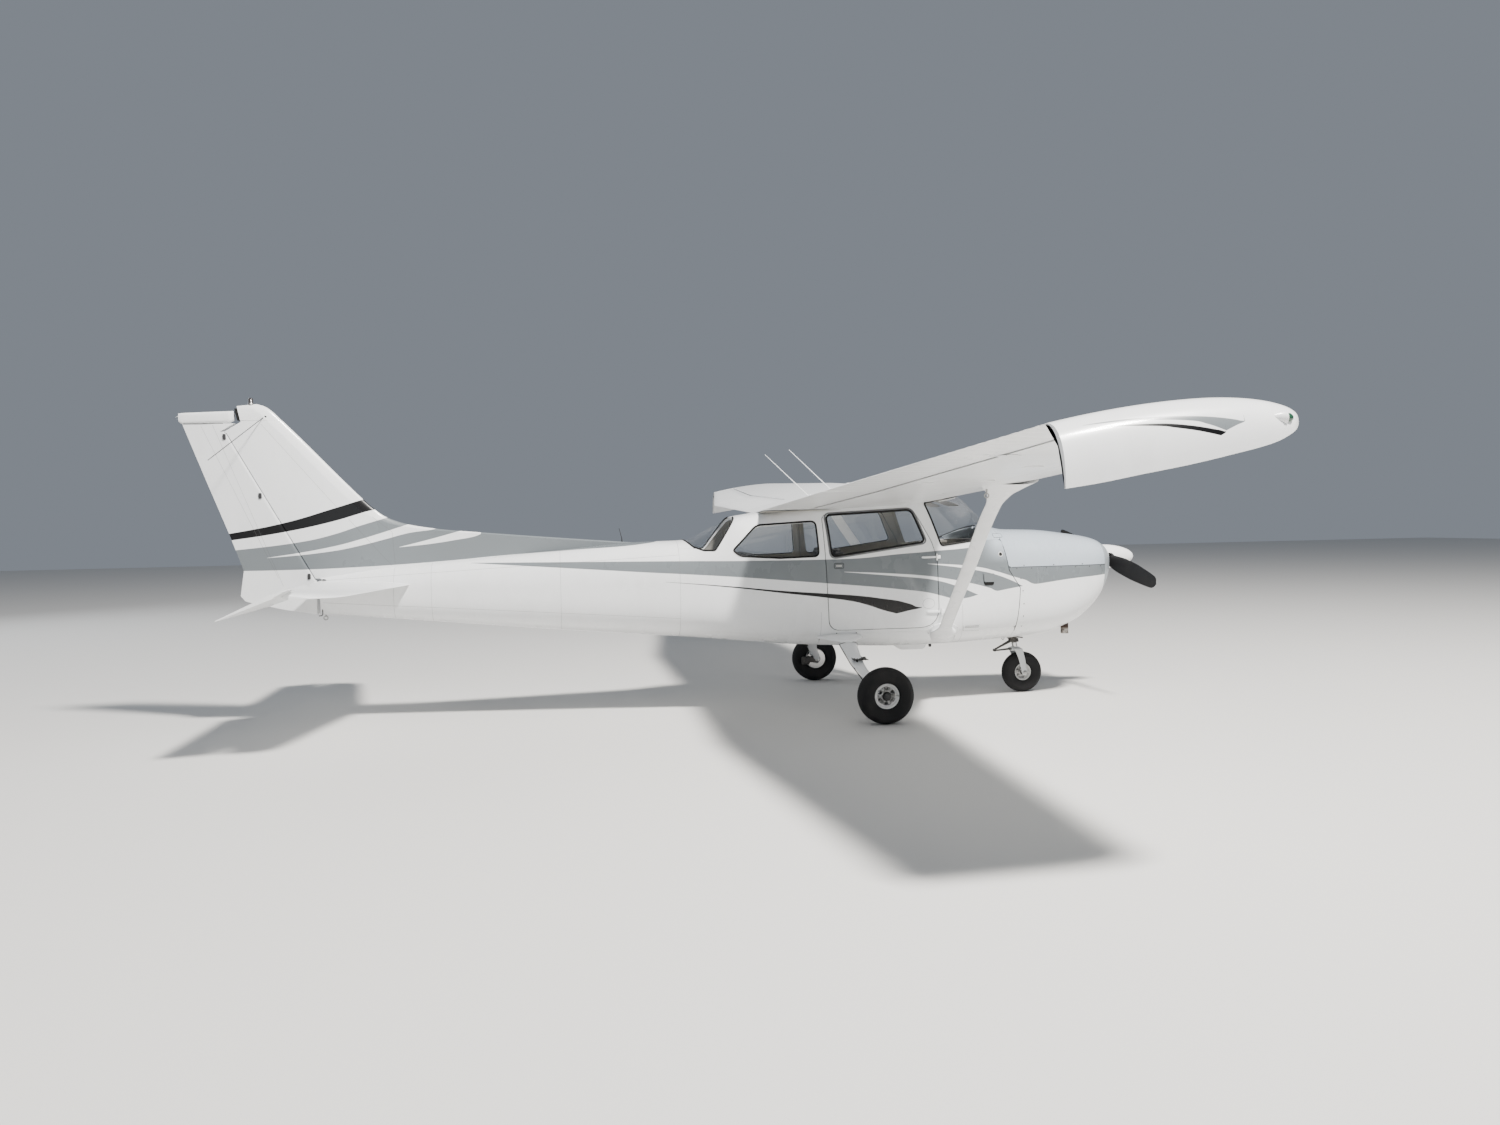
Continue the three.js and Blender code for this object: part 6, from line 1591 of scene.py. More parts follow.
def elevator_rings():
    """Rings along the span: round nose about the hinge line, straight upper and lower skins to a thin
    edge."""
    y = np.concatenate([np.linspace(0.084, 0.225, 14), np.linspace(0.245, 1.650, 60),
                        np.linspace(1.66, 1.727, 9)])
    _, nose, reach = np.moveaxis(smooth(y, ELEVATOR[:, 0], ELEVATOR), -1, 0)[..., None]
    turn = np.linspace(-np.pi / 2, np.pi / 2, 15)[None, :]
    nose_x = ELEVATOR_X + nose * np.cos(turn)
    nose_z = ELEVATOR_Z + nose * np.sin(turn)
    t = np.linspace(0.0, 1.0, 14)[None, 1:]
    x = ELEVATOR_X - reach * t
    z = nose + (0.0025 - nose) * t
    y = y[:, None]
    return np.concatenate([spread(nose_x, y, nose_z), spread(x, y, ELEVATOR_Z + z),
                           spread(x[:, ::-1], y, ELEVATOR_Z - z[:, ::-1])], 1)


def horn_rings():
    """The horn ahead of the hinge at the tip: an oval nose whose thickness falls off as one minus a
    power."""
    y = np.concatenate([np.linspace(HORN_Y, 1.697, 8), np.linspace(1.702, 1.7262, 6)])[:, None]
    front = np.interp(y, [HORN_Y, 1.697, 1.727], [0.106, 0.098, 0.085])
    half = np.interp(y, [HORN_Y, 1.697, 1.727], [0.0155, 0.0145, 0.010])
    turn = np.linspace(-np.pi / 2, np.pi / 2, 19)[None, :]
    x = ELEVATOR_X - 0.04 + (front + 0.04) * np.maximum(np.cos(turn), 0) ** 0.75
    return spread(x, y, ELEVATOR_Z + half * np.sin(turn))


main = capped(elevator_rings())
horn = capped(horn_rings())
half_tail = joined(main, horn)
tube = turned([[0.0, -0.12], [0.015, -0.12], [0.015, 0.12], [0.0, 0.12]], (ELEVATOR_X, 0, ELEVATOR_Z), "y",
              20, False)
whole = joined(half_tail, flipped(half_tail), tube)
TAB = (-4.668, -4.776, -0.30, -1.05)
elevator_paint = paint("elevator_paint", dirt=0.4, rough=0.3,
                       lines=[(0, 1, (TAB[0], TAB[2]), (TAB[0], TAB[3])),
                              (0, 1, (TAB[0], TAB[2]), (TAB[1], TAB[2])),
                              (0, 1, (TAB[0], TAB[3]), (TAB[1], TAB[3]))])
piece("elevator_skin", (drooped(whole[0]), whole[1]), elevator_paint, body="elevators", node="elevators",
      slot="white_skin")

# %% [markdown]
# ## Wheels
# The tyre's profile is a smooth closed loop, and the tread is the same loop with narrow grooves pressed in.
# The rim is a dished disc with six round holes, cut out of the disc's grid in the same way as the windows.

# %% Tyres
def tyre_profile(radius, width, rim, grooves=0.0045):
    """Closed loop of (radius, along): rim edge, sidewall, tread with four grooves, and back inside."""
    half = width / 2
    table = np.array([[rim, -half * 0.62], [rim + (radius - rim) * 0.06, -half * 0.80],
                      [rim + (radius - rim) * 0.35, -half * 0.96],
                      [rim + (radius - rim) * 0.62, -half], [radius - 0.020, -half * 0.79],
                      [radius - 0.004, -half * 0.50],
                      [radius, -half * 0.20], [radius, 0.0]])
    length = np.concatenate([[0], np.cumsum(np.hypot(*np.diff(table, axis=0).T))])
    t = np.linspace(0, length[-1], 54)
    side = smooth(t, length, table)
    loop = np.concatenate([side, (side * [1, -1])[-2::-1]])
    tread = np.zeros(len(loop))
    for at in (-0.40, -0.14, 0.14, 0.40):
        tread += np.exp(-((loop[:, 1] / half - at) / 0.035) ** 4)
    loop[:, 0] -= grooves * np.where(loop[:, 0] > radius - 0.03, tread, 0.0)
    share = (loop[:, 0] - rim) / (radius - rim)
    for at, height in ((0.20, 0.0012), (0.26, 0.0008)):
        loop[:, 1] += np.sign(loop[:, 1]) * height * np.exp(-((share - at) / 0.012) ** 2)
    return loop


AXLES = {"main_tyre_left": ((0.0, 1.275, 0.222), (0.222, 0.152, 0.100), "wheel_left"),
         "main_tyre_right": ((0.0, -1.275, 0.222), (0.222, 0.152, 0.100), "wheel_right"),
         "nose_tyre": ((1.651, 0.0, 0.183), (0.183, 0.124, 0.078), "wheel_nose")}
for name, (centre, size, body) in AXLES.items():
    piece(name + "_rubber", turned(tyre_profile(*size), centre, "y", 96), rubber, body=body, node=name,
          slot="tyre", sharp=50.0)

# %% Rims
def rim_disc(centre, size, bore, face, holes, hole_at, hole_radius):
    """One face of a rim: a dish from hub to flange with round holes, cut on a grid of radius and angle."""
    outer = size[2] - 0.0005
    table = np.array([[bore, 0.020], [bore + 0.010, 0.021], [outer * 0.42, 0.016], [outer * 0.62, 0.006],
                      [outer * 0.74, 0.004],
                      [outer * 0.84, 0.010], [outer * 0.90, 0.026], [outer * 0.965, 0.030], [outer, 0.026]])
    deep = size[1] * 0.305 - 0.030

    def surface(a, b):
        radius = bore + (outer - bore) * a
        angle = 2 * np.pi * b
        along = face * (deep + smooth(radius, table[:, 0], table[:, 1]))
        return spread(centre[0] + radius * np.cos(angle), centre[1] + along,
                      centre[2] + radius * np.sin(angle))

    def keep(points):
        best = np.full(points.shape[:-1], 1.0)
        for k in range(holes):
            angle = 2 * np.pi * (k + 0.5) / holes
            x = centre[0] + outer * hole_at * np.cos(angle)
            z = centre[2] + outer * hole_at * np.sin(angle)
            best = np.minimum(best, np.hypot(points[..., 0] - x, points[..., 2] - z) - hole_radius)
        return best
    return cut(surface, np.linspace(0, 1, 28), np.linspace(0, 1, 85), keep)


def thickened(part, shift):
    """A sheet made solid: its copy moved by `shift`, and a strip of faces along every open edge."""
    points, faces = part
    used = {(a, b) for face in faces for a, b in zip(face, face[1:] + face[:1])}
    rim = [(a, b) for a, b in used if (b, a) not in used]
    count = len(points)
    walls = [[b, a, a + count, b + count] for a, b in sorted(rim)]
    below = [[k + count for k in face[::-1]] for face in faces]
    return facing_out(np.concatenate([points, points + np.asarray(shift)]), list(faces) + below + walls)


def wheel_parts(centre, size, bore, hole_at, hole_radius):
    """Both faces, the barrel between them and the hub, with its bolts."""
    outer = size[2] - 0.0005
    flange = size[1] * 0.305
    parts = [thickened(rim_disc(centre, size, bore, face, 6, hole_at, hole_radius),
                       (0.0, -face * 0.004, 0.0))
             for face in (1, -1)]
    parts.append(turned([[outer, -flange + 0.004], [outer, flange - 0.004], [outer - 0.006, flange - 0.006],
                         [outer - 0.006, -flange + 0.006]], centre, "y", 96))
    parts.append(turned([[bore, -flange * 0.9], [bore + 0.014, -flange * 0.9], [bore + 0.014, flange * 0.9],
                         [bore, flange * 0.9]],
                        centre, "y", 40))
    for k in range(6):
        angle = 2 * np.pi * k / 6
        for face in (1, -1):
            at = (centre[0] + outer * 0.52 * np.cos(angle), centre[1],
                  centre[2] + outer * 0.52 * np.sin(angle))
            bolt = turned([[0.0, face * (flange - 0.012)], [0.0065, face * (flange - 0.0125)],
                           [0.0065, face * (flange - 0.024)],
                           [0.0, face * (flange - 0.024)]], at, "y", 6, False)
            parts.append(bolt)
    return joined(*parts)


def rim_scheme(centre, hub, dark):
    """White outer ring, a grey dish inside it that is darker in patches, and a black hub, by the distance
    from the axle.
    """
    def colours(net):
        x, _, z = net.axes(net.place())
        dx = net.math("SUBTRACT", x, centre[0] + AXLE)
        dz = net.math("SUBTRACT", z, centre[2])
        radius = net.math("SQRT",
                          net.math("ADD", net.math("MULTIPLY", dx, dx), net.math("MULTIPLY", dz, dz)))
        wobble = net.math("MULTIPLY", net.math("SUBTRACT", net.noise(net.place(), 90.0), 0.5), 0.006)
        worn = net.math("ADD", radius, wobble)
        dish = net.mix(net.ramp(net.noise(net.place(), 45.0), 0.42, 0.62), (0.13, 0.13, 0.125, 1.0),
                       (0.50, 0.50, 0.49, 1.0))
        colour = net.mix(net.ramp(worn, dark - 0.001, dark + 0.001), dish, (0.72, 0.72, 0.71, 1.0))
        return net.mix(net.ramp(worn, hub, hub + 0.001), (0.012, 0.012, 0.012, 1.0), colour)
    return colours


rim_paints = {"main_tyre_left": paint("main_rim_paint",
                                      scheme=rim_scheme(AXLES["main_tyre_left"][0], 0.036, 0.074), dirt=0.6,
                                      rough=0.4),
              "nose_tyre": paint("nose_rim_paint", scheme=rim_scheme(AXLES["nose_tyre"][0], 0.024, 0.060),
                                 dirt=0.7, rough=0.4)}
rim_paints["main_tyre_right"] = rim_paints["main_tyre_left"]
for name, key, body, bore, at, radius in (("main_rim_left", "main_tyre_left", "wheel_left", 0.0200, 0.60,
                                           0.0165),
                                          ("main_rim_right", "main_tyre_right", "wheel_right", 0.0200, 0.60,
                                           0.0165),
                                          ("nose_rim", "nose_tyre", "wheel_nose", 0.0130, 0.64, 0.0110)):
    centre, size, _ = AXLES[key]
    piece(name + "_disc", wheel_parts(centre, size, bore, at, radius), rim_paints[key], body=body, node=name,
          slot="steel_paint", turn=False)

# %% [markdown]
# ## Propeller and spinner
# A blade is an oval section that gets thinner and flatter towards its tip and turns with the radius, so
# that each part of it meets the air at a useful angle. The front is painted white here and the back matt
# black.

# %% Propeller
BLADE = np.array([[0.06, 0.092, 0.056, 52], [0.2, 0.118, 0.042, 40], [0.35, 0.142, 0.027, 30],
                  [0.55, 0.146, 0.019, 23], [0.75, 0.132, 0.014, 18], [0.92, 0.108, 0.010, 15],
                  [0.985, 0.076, 0.007, 14], [1.0, 0.030, 0.004, 14]])
HUB_X, TILT = 2.470, np.radians(12.6)


def parked(points):
    """From blades lying along Y at the shaft's axis to their parked angle."""
    x, y, z = np.moveaxis(np.asarray(points, float), -1, 0)
    return spread(x, y * np.cos(TILT) - z * np.sin(TILT), y * np.sin(TILT) + z * np.cos(TILT) + SHAFT_Z)


def blade_rings(sign):
    """Rings along one blade (sign 1 or -1): an oval that is thicker ahead, turned by the pitch at its
    radius."""
    share = np.concatenate([np.linspace(0.06, 0.9, 46),
                            0.9 + 0.1 * np.sin(np.linspace(0.08, np.pi / 2, 16))])
    _, chord, thick, pitch_angle = np.moveaxis(smooth(share, BLADE[:, 0], BLADE), -1, 0)[..., None]
    chord = chord * np.sqrt(np.clip(1 - ((share[:, None] - 0.93) / 0.07).clip(0) ** 2.5 * 0.97, 0.0, 1.0))
    turn = np.linspace(0, 2 * np.pi, 32, endpoint=False)[None, :]
    u = chord / 2 * np.cos(turn)
    w = thick / 2 * np.sin(turn) * (0.85 + 0.3 * np.cos(turn))
    lean = np.radians(pitch_angle)
    forward = u * np.sin(lean) + w * np.cos(lean)
    side = sign * (u * np.cos(lean) - w * np.sin(lean))
    along = sign * share[:, None] * 0.9525
    return spread(HUB_X + forward, -along, side)


blades = joined(capped(blade_rings(1)), capped(blade_rings(-1)))
back = turned([[0.0, 2.4423], [0.080, 2.4423], [0.082, 2.4443], [0.082, 2.4923], [0.080, 2.4943],
               [0.0, 2.4943]], (0, 0, 0),
              "x", 48, False)
shaft = turned([[0.0, 2.1503], [0.046, 2.1503], [0.046, 2.4435], [0.0, 2.4435]], (0, 0, 0), "x", 32, False)
metal = piece("propeller_blades", (parked(blades[0]), blades[1]), [white_blade, black_blade],
              body="propeller_unit",
              node="propeller", slot="blade")
facing = np.empty(len(metal.data.polygons) * 3)
metal.data.polygons.foreach_get("normal", facing)
metal.data.polygons.foreach_set("material_index", (facing[0::3] < 0.12).astype(np.int32))
hub = joined(back, shaft)
piece("propeller_hub", (parked(hub[0]), hub[1]), bare_metal, body="propeller_unit", slot="blade")


def spinner_point(a, b):
    """The ogive: radius is 110 mm times the root of one minus the share of the length to the power 1.9."""
    t = np.clip(a - 0.06, 0.0, 1.0) / 0.94
    radius = 0.110 * np.sqrt(np.clip(1 - t ** 1.9, 0.0, 1.0))
    radius = np.where(a < 0.0001, 0.106, radius)
    angle = 2 * np.pi * b
    return spread(2.4385 + 0.3095 * t, radius * np.cos(angle), radius * np.sin(angle))


def spinner_keep(points):
    """Positive outside the two round openings that the blades come through."""
    hole = np.where(np.abs(points[..., 1]) > 0.03, 0.058, 0.0)
    return np.hypot(points[..., 0] - HUB_X, points[..., 2]) - hole


points, faces = cut(spinner_point, np.linspace(0, 1, 52), np.linspace(0, 1, 97), spinner_keep)
piece("spinner_shell", (parked(points), faces), white_blade, wall=0.003, body="propeller_unit",
      node="spinner", slot="spinner")
plate = turned([[0.052, 2.4382], [0.104, 2.4382], [0.104, 2.4402], [0.052, 2.4402]], (0, 0, 0), "x", 48)
piece("spinner_plate", (parked(plate[0]), plate[1]), bare_metal, body="propeller_unit", slot="spinner")

# %% [markdown]
# ## Window seals
# Every pane sits in a black rubber channel. Its path is the window's own outline, laid on the skin: the
# section's equation gives y for each x and z. A pane that wraps over the top joins its left and right paths
# at the middle.

# %% Window seals
def dense(outline, step=0.008):
    """The closed outline with its points at even steps."""
    loop = np.concatenate([outline, outline[:1]])
    length = np.concatenate([[0], np.cumsum(np.hypot(*np.diff(loop, axis=0).T))])
    at = np.linspace(0, length[-1], int(length[-1] / step), endpoint=False)
    return np.stack([np.interp(at, length, loop[:, 0]), np.interp(at, length, loop[:, 1])], -1)


def on_skin(outline, side, lift=0.0):
    """The outline's points on one side of the fuselage."""
    x, z = outline[:, 0], outline[:, 1]
    return np.stack([x, side * (body_half(x, z) + lift), z], -1)


def over_the_top(outline, lift=0.0):
    """The part of a wrapped pane's edge that lies on the skin, from one roof side to the other."""
    points = dense(outline, 0.006)
    open_sky = under_wing(spread(points[:, 0], 0.45, points[:, 1])) > -0.03
    on = (body_half(points[:, 0], points[:, 1]) > 0.03) & open_sky
    start = int(np.argmax(on & ~np.roll(on, 1)))
    points, on = np.roll(points, -start, 0), np.roll(on, -start)
    run = points[:int(np.argmin(on)) if not on.all() else len(points)]
    path = on_skin(run, 1, lift)
    if path[0, 1] < path[-1, 1]:
        path = path[::-1]
    return np.concatenate([path, (path * [1, -1, 1])[::-1]])


for side, label in SIDES:
    frame_loop = swept(on_skin(dense(door_window), side, -0.002), 0.009, 8, True)
    piece("door_window_seal_" + label, frame_loop, seal, body="cabin_door_" + label, slot="window")
    frame_loop = swept(on_skin(dense(rear_window), side, -0.002), 0.008, 8, True)
    piece("rear_window_seal_" + label, frame_loop, seal, slot="window")
    edge = pulled_in(DOOR, 0.003)
    gap_loop = swept(on_skin(dense(rounded(edge, DOOR_CORNERS)), side, -0.011), 0.0035, 6, True)
    piece("door_gap_seal_" + label, gap_loop, seal, slot="white_skin")
for label, outline in (("front", windshield_edge), ("rear", backlight_edge)):
    strip = swept(over_the_top(outline, -0.001), 0.008, 8, False)
    piece("wrapped_seal_" + label, strip, seal, slot="window")

# %% [markdown]
# ## Seats
# A seat cushion is foam in a sewn cover. The cloth solver blows each cover up a little from a smaller form,
# so the sides swell between the corners, and then the sewn channels are pressed in along straight lines.

# %% Cloth for the seats
# Radians of the weave's wave in a metre
THREADS = 1440.0
def seat_cloth(name, colour, second):
    """Woven cover: two crossed waves for the weave, patches of wear, and a soft sheen."""
    material, net, shader = new_material(name)
    place = net.place()
    x, y, z = net.axes(place)
    warp = net.math("SINE", net.math("MULTIPLY", y, THREADS))
    weft = net.math("SINE", net.math("MULTIPLY", net.math("ADD", x, net.math("MULTIPLY", z, 0.7)), THREADS))
    weave = net.math("MULTIPLY", warp, weft)
    wear = net.ramp(net.noise(place, 14.0, 5.0), 0.4, 0.7)
    base = net.mix(net.math("MULTIPLY_ADD", weave, 0.25, 0.5), colour, second)
    base = net.mix(net.math("MULTIPLY", wear, 0.25), base, (0.16, 0.15, 0.14, 1.0))
    net.put(shader.inputs["Base Color"], base)
    net.put(shader.inputs["Roughness"], net.math("MULTIPLY_ADD", wear, 0.1, 0.82))
    shader.inputs["Sheen Weight"].default_value = 0.4
    bumped = net.node("ShaderNodeBump", {"Height": weave, "Strength": 0.35, "Distance": 0.0006})
    net.put(shader.inputs["Normal"], bumped.outputs[0])
    return material


dark_cloth = seat_cloth("dark_seat_cloth", (0.030, 0.031, 0.035, 1.0), (0.060, 0.062, 0.068, 1.0))


# The cloth's largest move, and the depth of its sewn channels
SWELL, PRESS = 0.014, 0.0075


def cushion(name, corners, half, channels):
    """A padded form: rounded box over a side-view quad, inflated by the cloth solver, then its channels
    pressed in. Corners: (x, z) of rear bottom, front bottom, front top, rear top. Channels: lines of (axis
    share, place)."""
    corners = np.array(corners, float)
    vertices, faces = soft_box((-1, -1, -1), (1, 1, 1), 0.30, 26)
    u, v, w = (vertices[:, 0] + 1) / 2, vertices[:, 1], (vertices[:, 2] + 1) / 2
    flat = ((1 - w) * (1 - u))[:, None] * corners[0] + ((1 - w) * u)[:, None] * corners[1] \
        + (w * u)[:, None] * corners[2] + (w * (1 - u))[:, None] * corners[3]
    middle = corners.mean(0)
    flat = middle + (flat - middle) * [0.965, 0.86]
    points = np.stack([flat[:, 0], v * half * 0.955, flat[:, 1]], -1)
    mesh = bpy.data.meshes.new(name)
    mesh.from_pydata(row(points).tolist(), [], faces)
    made = bpy.data.objects.new(name, mesh)
    bpy.context.scene.collection.objects.link(made)
    bpy.context.view_layer.objects.active = made
    remesh = made.modifiers.new("even", "REMESH")
    remesh.mode = "VOXEL"
    remesh.voxel_size = 0.014 if half < 0.3 else 0.017
    apply_modifiers(made)
    start = coordinates(made)
    cloth = made.modifiers.new("cloth", "CLOTH")
    cloth.settings.quality = 5
    cloth.settings.use_pressure = True
    cloth.settings.uniform_pressure_force = 4.0
    cloth.settings.tension_stiffness = 15.0
    cloth.settings.bending_stiffness = 0.8
    cloth.settings.effector_weights.gravity = 0.0
    cloth.point_cache.frame_end = 20
    for step in range(1, 21):
        bpy.context.scene.frame_set(step)
    apply_modifiers(made)
    bpy.context.scene.frame_set(1)
    moved = coordinates(made) - start
    length = np.linalg.norm(moved, axis=1)[:, None]
    settled = start + moved * np.minimum(1.0, SWELL / np.maximum(length, 1e-9))
    made.data.vertices.foreach_set("co", settled.ravel())
    smoother = made.modifiers.new("fine", "SUBSURF")
    smoother.levels = smoother.render_levels = 1
    apply_modifiers(made)
    now = coordinates(made)
    press = np.zeros(len(now))
    for axis, at, width in channels:
        press = np.maximum(press, np.exp(-((now[:, axis] - at) / width) ** 2))
    normals = np.empty(len(now) * 3)
    made.data.vertices.foreach_get("normal", normals)
    now -= normals.reshape(-1, 3) * (PRESS * press)[:, None]
    made.data.vertices.foreach_set("co", now.ravel())
    made.data.shade_smooth()
    made.data.materials.append(dark_cloth)
    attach(made, "airframe")
    print(name, len(made.data.polygons), "faces, moved", float(length.max()))
    return made


def apply_modifiers(made):
    """Make what the modifiers show the object's own mesh."""
    depsgraph = bpy.context.evaluated_depsgraph_get()
    made.data = bpy.data.meshes.new_from_object(made.evaluated_get(depsgraph))
    made.modifiers.clear()


def coordinates(made):
    """The object's points as an array of rows."""
    flat = np.empty(len(made.data.vertices) * 3)
    made.data.vertices.foreach_get("co", flat)
    return flat.reshape(-1, 3)


def copied(source, name, shift):
    """The same cushion on another seat: a copy whose points are moved across."""
    made = source.copy()
    made.data = source.data.copy()
    made.name = name
    moved = coordinates(made) + shift
    made.data.vertices.foreach_set("co", moved.ravel())
    bpy.context.scene.collection.objects.link(made)
    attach(made, "airframe")
    return made


# %% Front seats and bench
seat_channels = [(1, side * 0.115, 0.006) for side in (1, -1)]
bottom = cushion("seat_cushion_left", [[-0.03, 0.802], [0.47, 0.837], [0.47, 0.942], [0.0, 0.902]], 0.225,
                 seat_channels + [(0, AXLE + x, 0.006) for x in (0.12, 0.24, 0.36)])
back = cushion("seat_back_left", [[-0.07, 0.868], [0.025, 0.846], [-0.125, 1.405], [-0.205, 1.395]], 0.220,
               seat_channels + [(2, z, 0.006) for z in (1.0, 1.12, 1.24, 1.33)])
for made in (bottom, back):
    copied(made, made.name.replace("left", "right"), [0.0, -0.245, 0.0])
    made.data.vertices.foreach_set("co", (coordinates(made) + [0.0, 0.245, 0.0]).ravel())
bench = cushion("bench_cushion", [[-0.800, 0.800], [-0.330, 0.850], [-0.330, 0.940], [-0.770, 0.900]], 0.455,
                [(1, y, 0.006) for y in (-0.23, 0.0, 0.23)] + [(0, AXLE - 0.55, 0.006)])
cushion("bench_back", [[-0.830, 0.850], [-0.740, 0.860], [-0.860, 1.385], [-0.940, 1.375]], 0.440,
        [(1, y, 0.006) for y in (-0.23, 0.0, 0.23)] + [(2, z, 0.006) for z in (1.05, 1.22)])
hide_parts("rear_bench")
for label, y in (("left", 0.245), ("right", -0.245)):
    legs = [swept([[x, y + dy, 0.614], [x, y + dy, 0.80], [x + 0.01, y + dy, 0.845]], 0.011, 10)
            for x in (0.04, 0.40) for dy in (-0.135, 0.135)]
    rails = [swept([[-0.02, y + dy, 0.80], [0.42, y + dy, 0.825]], 0.012, 10) for dy in (-0.135, 0.135)]
    tracks = [soft_box((-0.06, y + dy - 0.014, 0.612), (0.50, y + dy + 0.014, 0.626), 0.3, 10)
              for dy in (-0.135, 0.135)]
    piece("seat_frame_" + label, joined(*legs, *rails, *tracks), bare_metal, node="front_seat_" + label,
          slot="seat")
feet = [soft_box((-0.78, y - 0.02, 0.708), (-0.42, y + 0.02, 0.815), 0.3, 10) for y in (-0.34, 0.0, 0.34)]
piece("bench_frame", joined(*feet, soft_box((-0.56, -0.38, 0.80), (-0.40, 0.38, 0.822), 0.3, 10)),
      interior_dark, slot="seat")

# %% [markdown]
# ## Brakes, axles and steps
# Each main wheel turns on a stub axle. A steel disc runs with the wheel and a caliper grips it from behind,
# fed by a black hose down the leg. The step is a bent plate that shoes have scraped bare.

# %% Main gear details
def lathe(profile, centre, axis="y", sides=32):
    """A turned solid whose open profile starts and ends on the axis."""
    return turned([[0.0, profile[0][1]], *profile, [0.0, profile[-1][1]]], centre, axis, sides, False)


black_steel = plain("scuffed_step", (0.030, 0.029, 0.028), 0.5, 0.4, grain=45.0, shift=0.7, dust=0.6)
screw_steel = plain("screw_heads", (0.10, 0.10, 0.10), 0.4, 0.7, dust=0.4)
axle = lathe([[0.019, 1.150], [0.019, 1.316], [0.0155, 1.320], [0.0155, 1.326]], (0, 0, 0.222), "y", 24)
cap = lathe([[0.026, 1.319], [0.027, 1.324], [0.024, 1.331], [0.012, 1.3355]], (0, 0, 0.222), "y", 32)
caliper_bolts = [lathe([[0.006, 1.156], [0.006, 1.166]], (x, 0, z), "y", 6)
                 for x in (-0.138, -0.078) for z in (0.182, 0.237)]
caliper = joined(soft_box((-0.150, 1.163, 0.170), (-0.066, 1.190, 0.249), 0.35, 16),
                 lathe([[0.018, 1.152], [0.020, 1.156], [0.020, 1.170]], (-0.108, 0, 0.210), "y", 24),
                 *caliper_bolts)
bracket = soft_box((-0.080, 1.151, 0.192), (0.012, 1.163, 0.246), 0.3, 14)
hose = swept([[-0.176, 0.520, 0.588], [-0.196, 0.600, 0.553], [-0.186, 0.700, 0.503], [-0.168, 0.850, 0.424],
              [-0.120, 1.010, 0.326], [-0.096, 1.110, 0.262], [-0.104, 1.160, 0.246]], 0.0042, 8)
clips = [soft_box((x - 0.006, y - 0.008, z - 0.007), (x + 0.010, y + 0.008, z + 0.007), 0.4, 8)
         for x, y, z in ((-0.188, 0.660, 0.524), (-0.150, 0.905, 0.393), (-0.108, 1.060, 0.295))]
plate_points = np.array([[-0.150, 0.79, 0.470], [-0.150, 0.86, 0.455], [-0.150, 0.880, 0.4545],
                         [-0.150, 0.893, 0.461]])
step_path = smooth(np.linspace(0, 1, 14), np.array([0, 0.6, 0.85, 1.0]), plate_points)
u = np.linspace(0.0, 0.122, 12)[:, None, None] * np.array([1.0, 0.0, 0.0])
tread = step_path[None] + u + np.array([0.0, 0.0, 0.0015]) * np.cos(np.arange(12) * np.pi)[:, None, None]
step = (tread.reshape(-1, 3), grid_faces(12, 14))
stay = swept([[-0.120, 0.868, 0.453], [-0.115, 0.862, 0.437], [-0.108, 0.850, 0.425]], 0.007, 8)
for side, label in SIDES:
    for name, part, material, slot in (("axle_", axle, bare_metal, "steel_paint"),
                                       ("axle_cap_", cap, dark_plastic, "steel_paint"),
                                       ("caliper_", joined(caliper, bracket), oily_metal, "steel_paint"),
                                       ("brake_hose_", joined(hose, *clips), seal, "fairing"),
                                       ("step_stay_", stay, black_steel, "fairing")):
        piece(name + label, on_side(part, side), material, slot=slot)
    piece("step_" + label, on_side(step, side), black_steel, wall=0.003, slot="fairing")
    rotor = turned([[0.034, 1.229], [0.050, 1.226], [0.052, 1.2015], [0.092, 1.2015], [0.092, 1.1975],
                    [0.046, 1.1975], [0.045, 1.222], [0.034, 1.225]], (0, 0, 0.222), "y", 72)
    piece("brake_disc_" + label, on_side(rotor, side), polished, body="wheel_" + label, slot="steel_paint")

# %% Leg cuffs and strut rims
cuff_rows = [[a, x, y, z, chord + 0.008, thick + 0.009] for a, x, y, z, chord, thick in leg_rows]
cuff_surface = streamlined(cuff_rows, [0.0, 0.5, 0.86])
cuff_end = (0.612 - 0.4) / 0.765
cuff_rings = cuff_surface(np.linspace(0.16, cuff_end, 12)[:, None],
                          np.linspace(0, 1, 48, endpoint=False)[None, :])
cuff = (cuff_rings.reshape(-1, 3), grid_faces(12, 48, True))
line_loop = cuff_surface(np.full(64, cuff_end), np.linspace(0, 1, 64, endpoint=False))
cuff_line = swept(line_loop, 0.0022, 6, True)
angle = np.linspace(0, 2 * np.pi, 64, endpoint=False)
rim_path = np.stack([0.748 + 0.134 * np.cos(angle), 0.630 + 0.068 * np.sin(angle)], -1)
rim_loop = on_skin(rim_path, 1, 0.001)
strut_rim = swept(rim_loop, 0.0055, 8, True, 0.6)
screws = []
leg_screws = [(-0.33, 0.585), (-0.19, 0.640), (-0.02, 0.640), (0.035, 0.600)]
for place in [*rim_loop[4::10], *[np.array([x, half_at(x, z) + 0.001, z]) for x, z in leg_screws]]:
    screws.append(lathe([[0.0050, -0.002], [0.0050, 0.0015], [0.0035, 0.0028]], place, "y", 12))
mark_turn = np.linspace(0, 2 * np.pi, 28, endpoint=False)
mark = strut_surface(0.915 + 0.0045 * np.cos(mark_turn), 0.27 + 0.040 * np.sin(mark_turn))
strut_mark = swept(mark, 0.0014, 6, True)
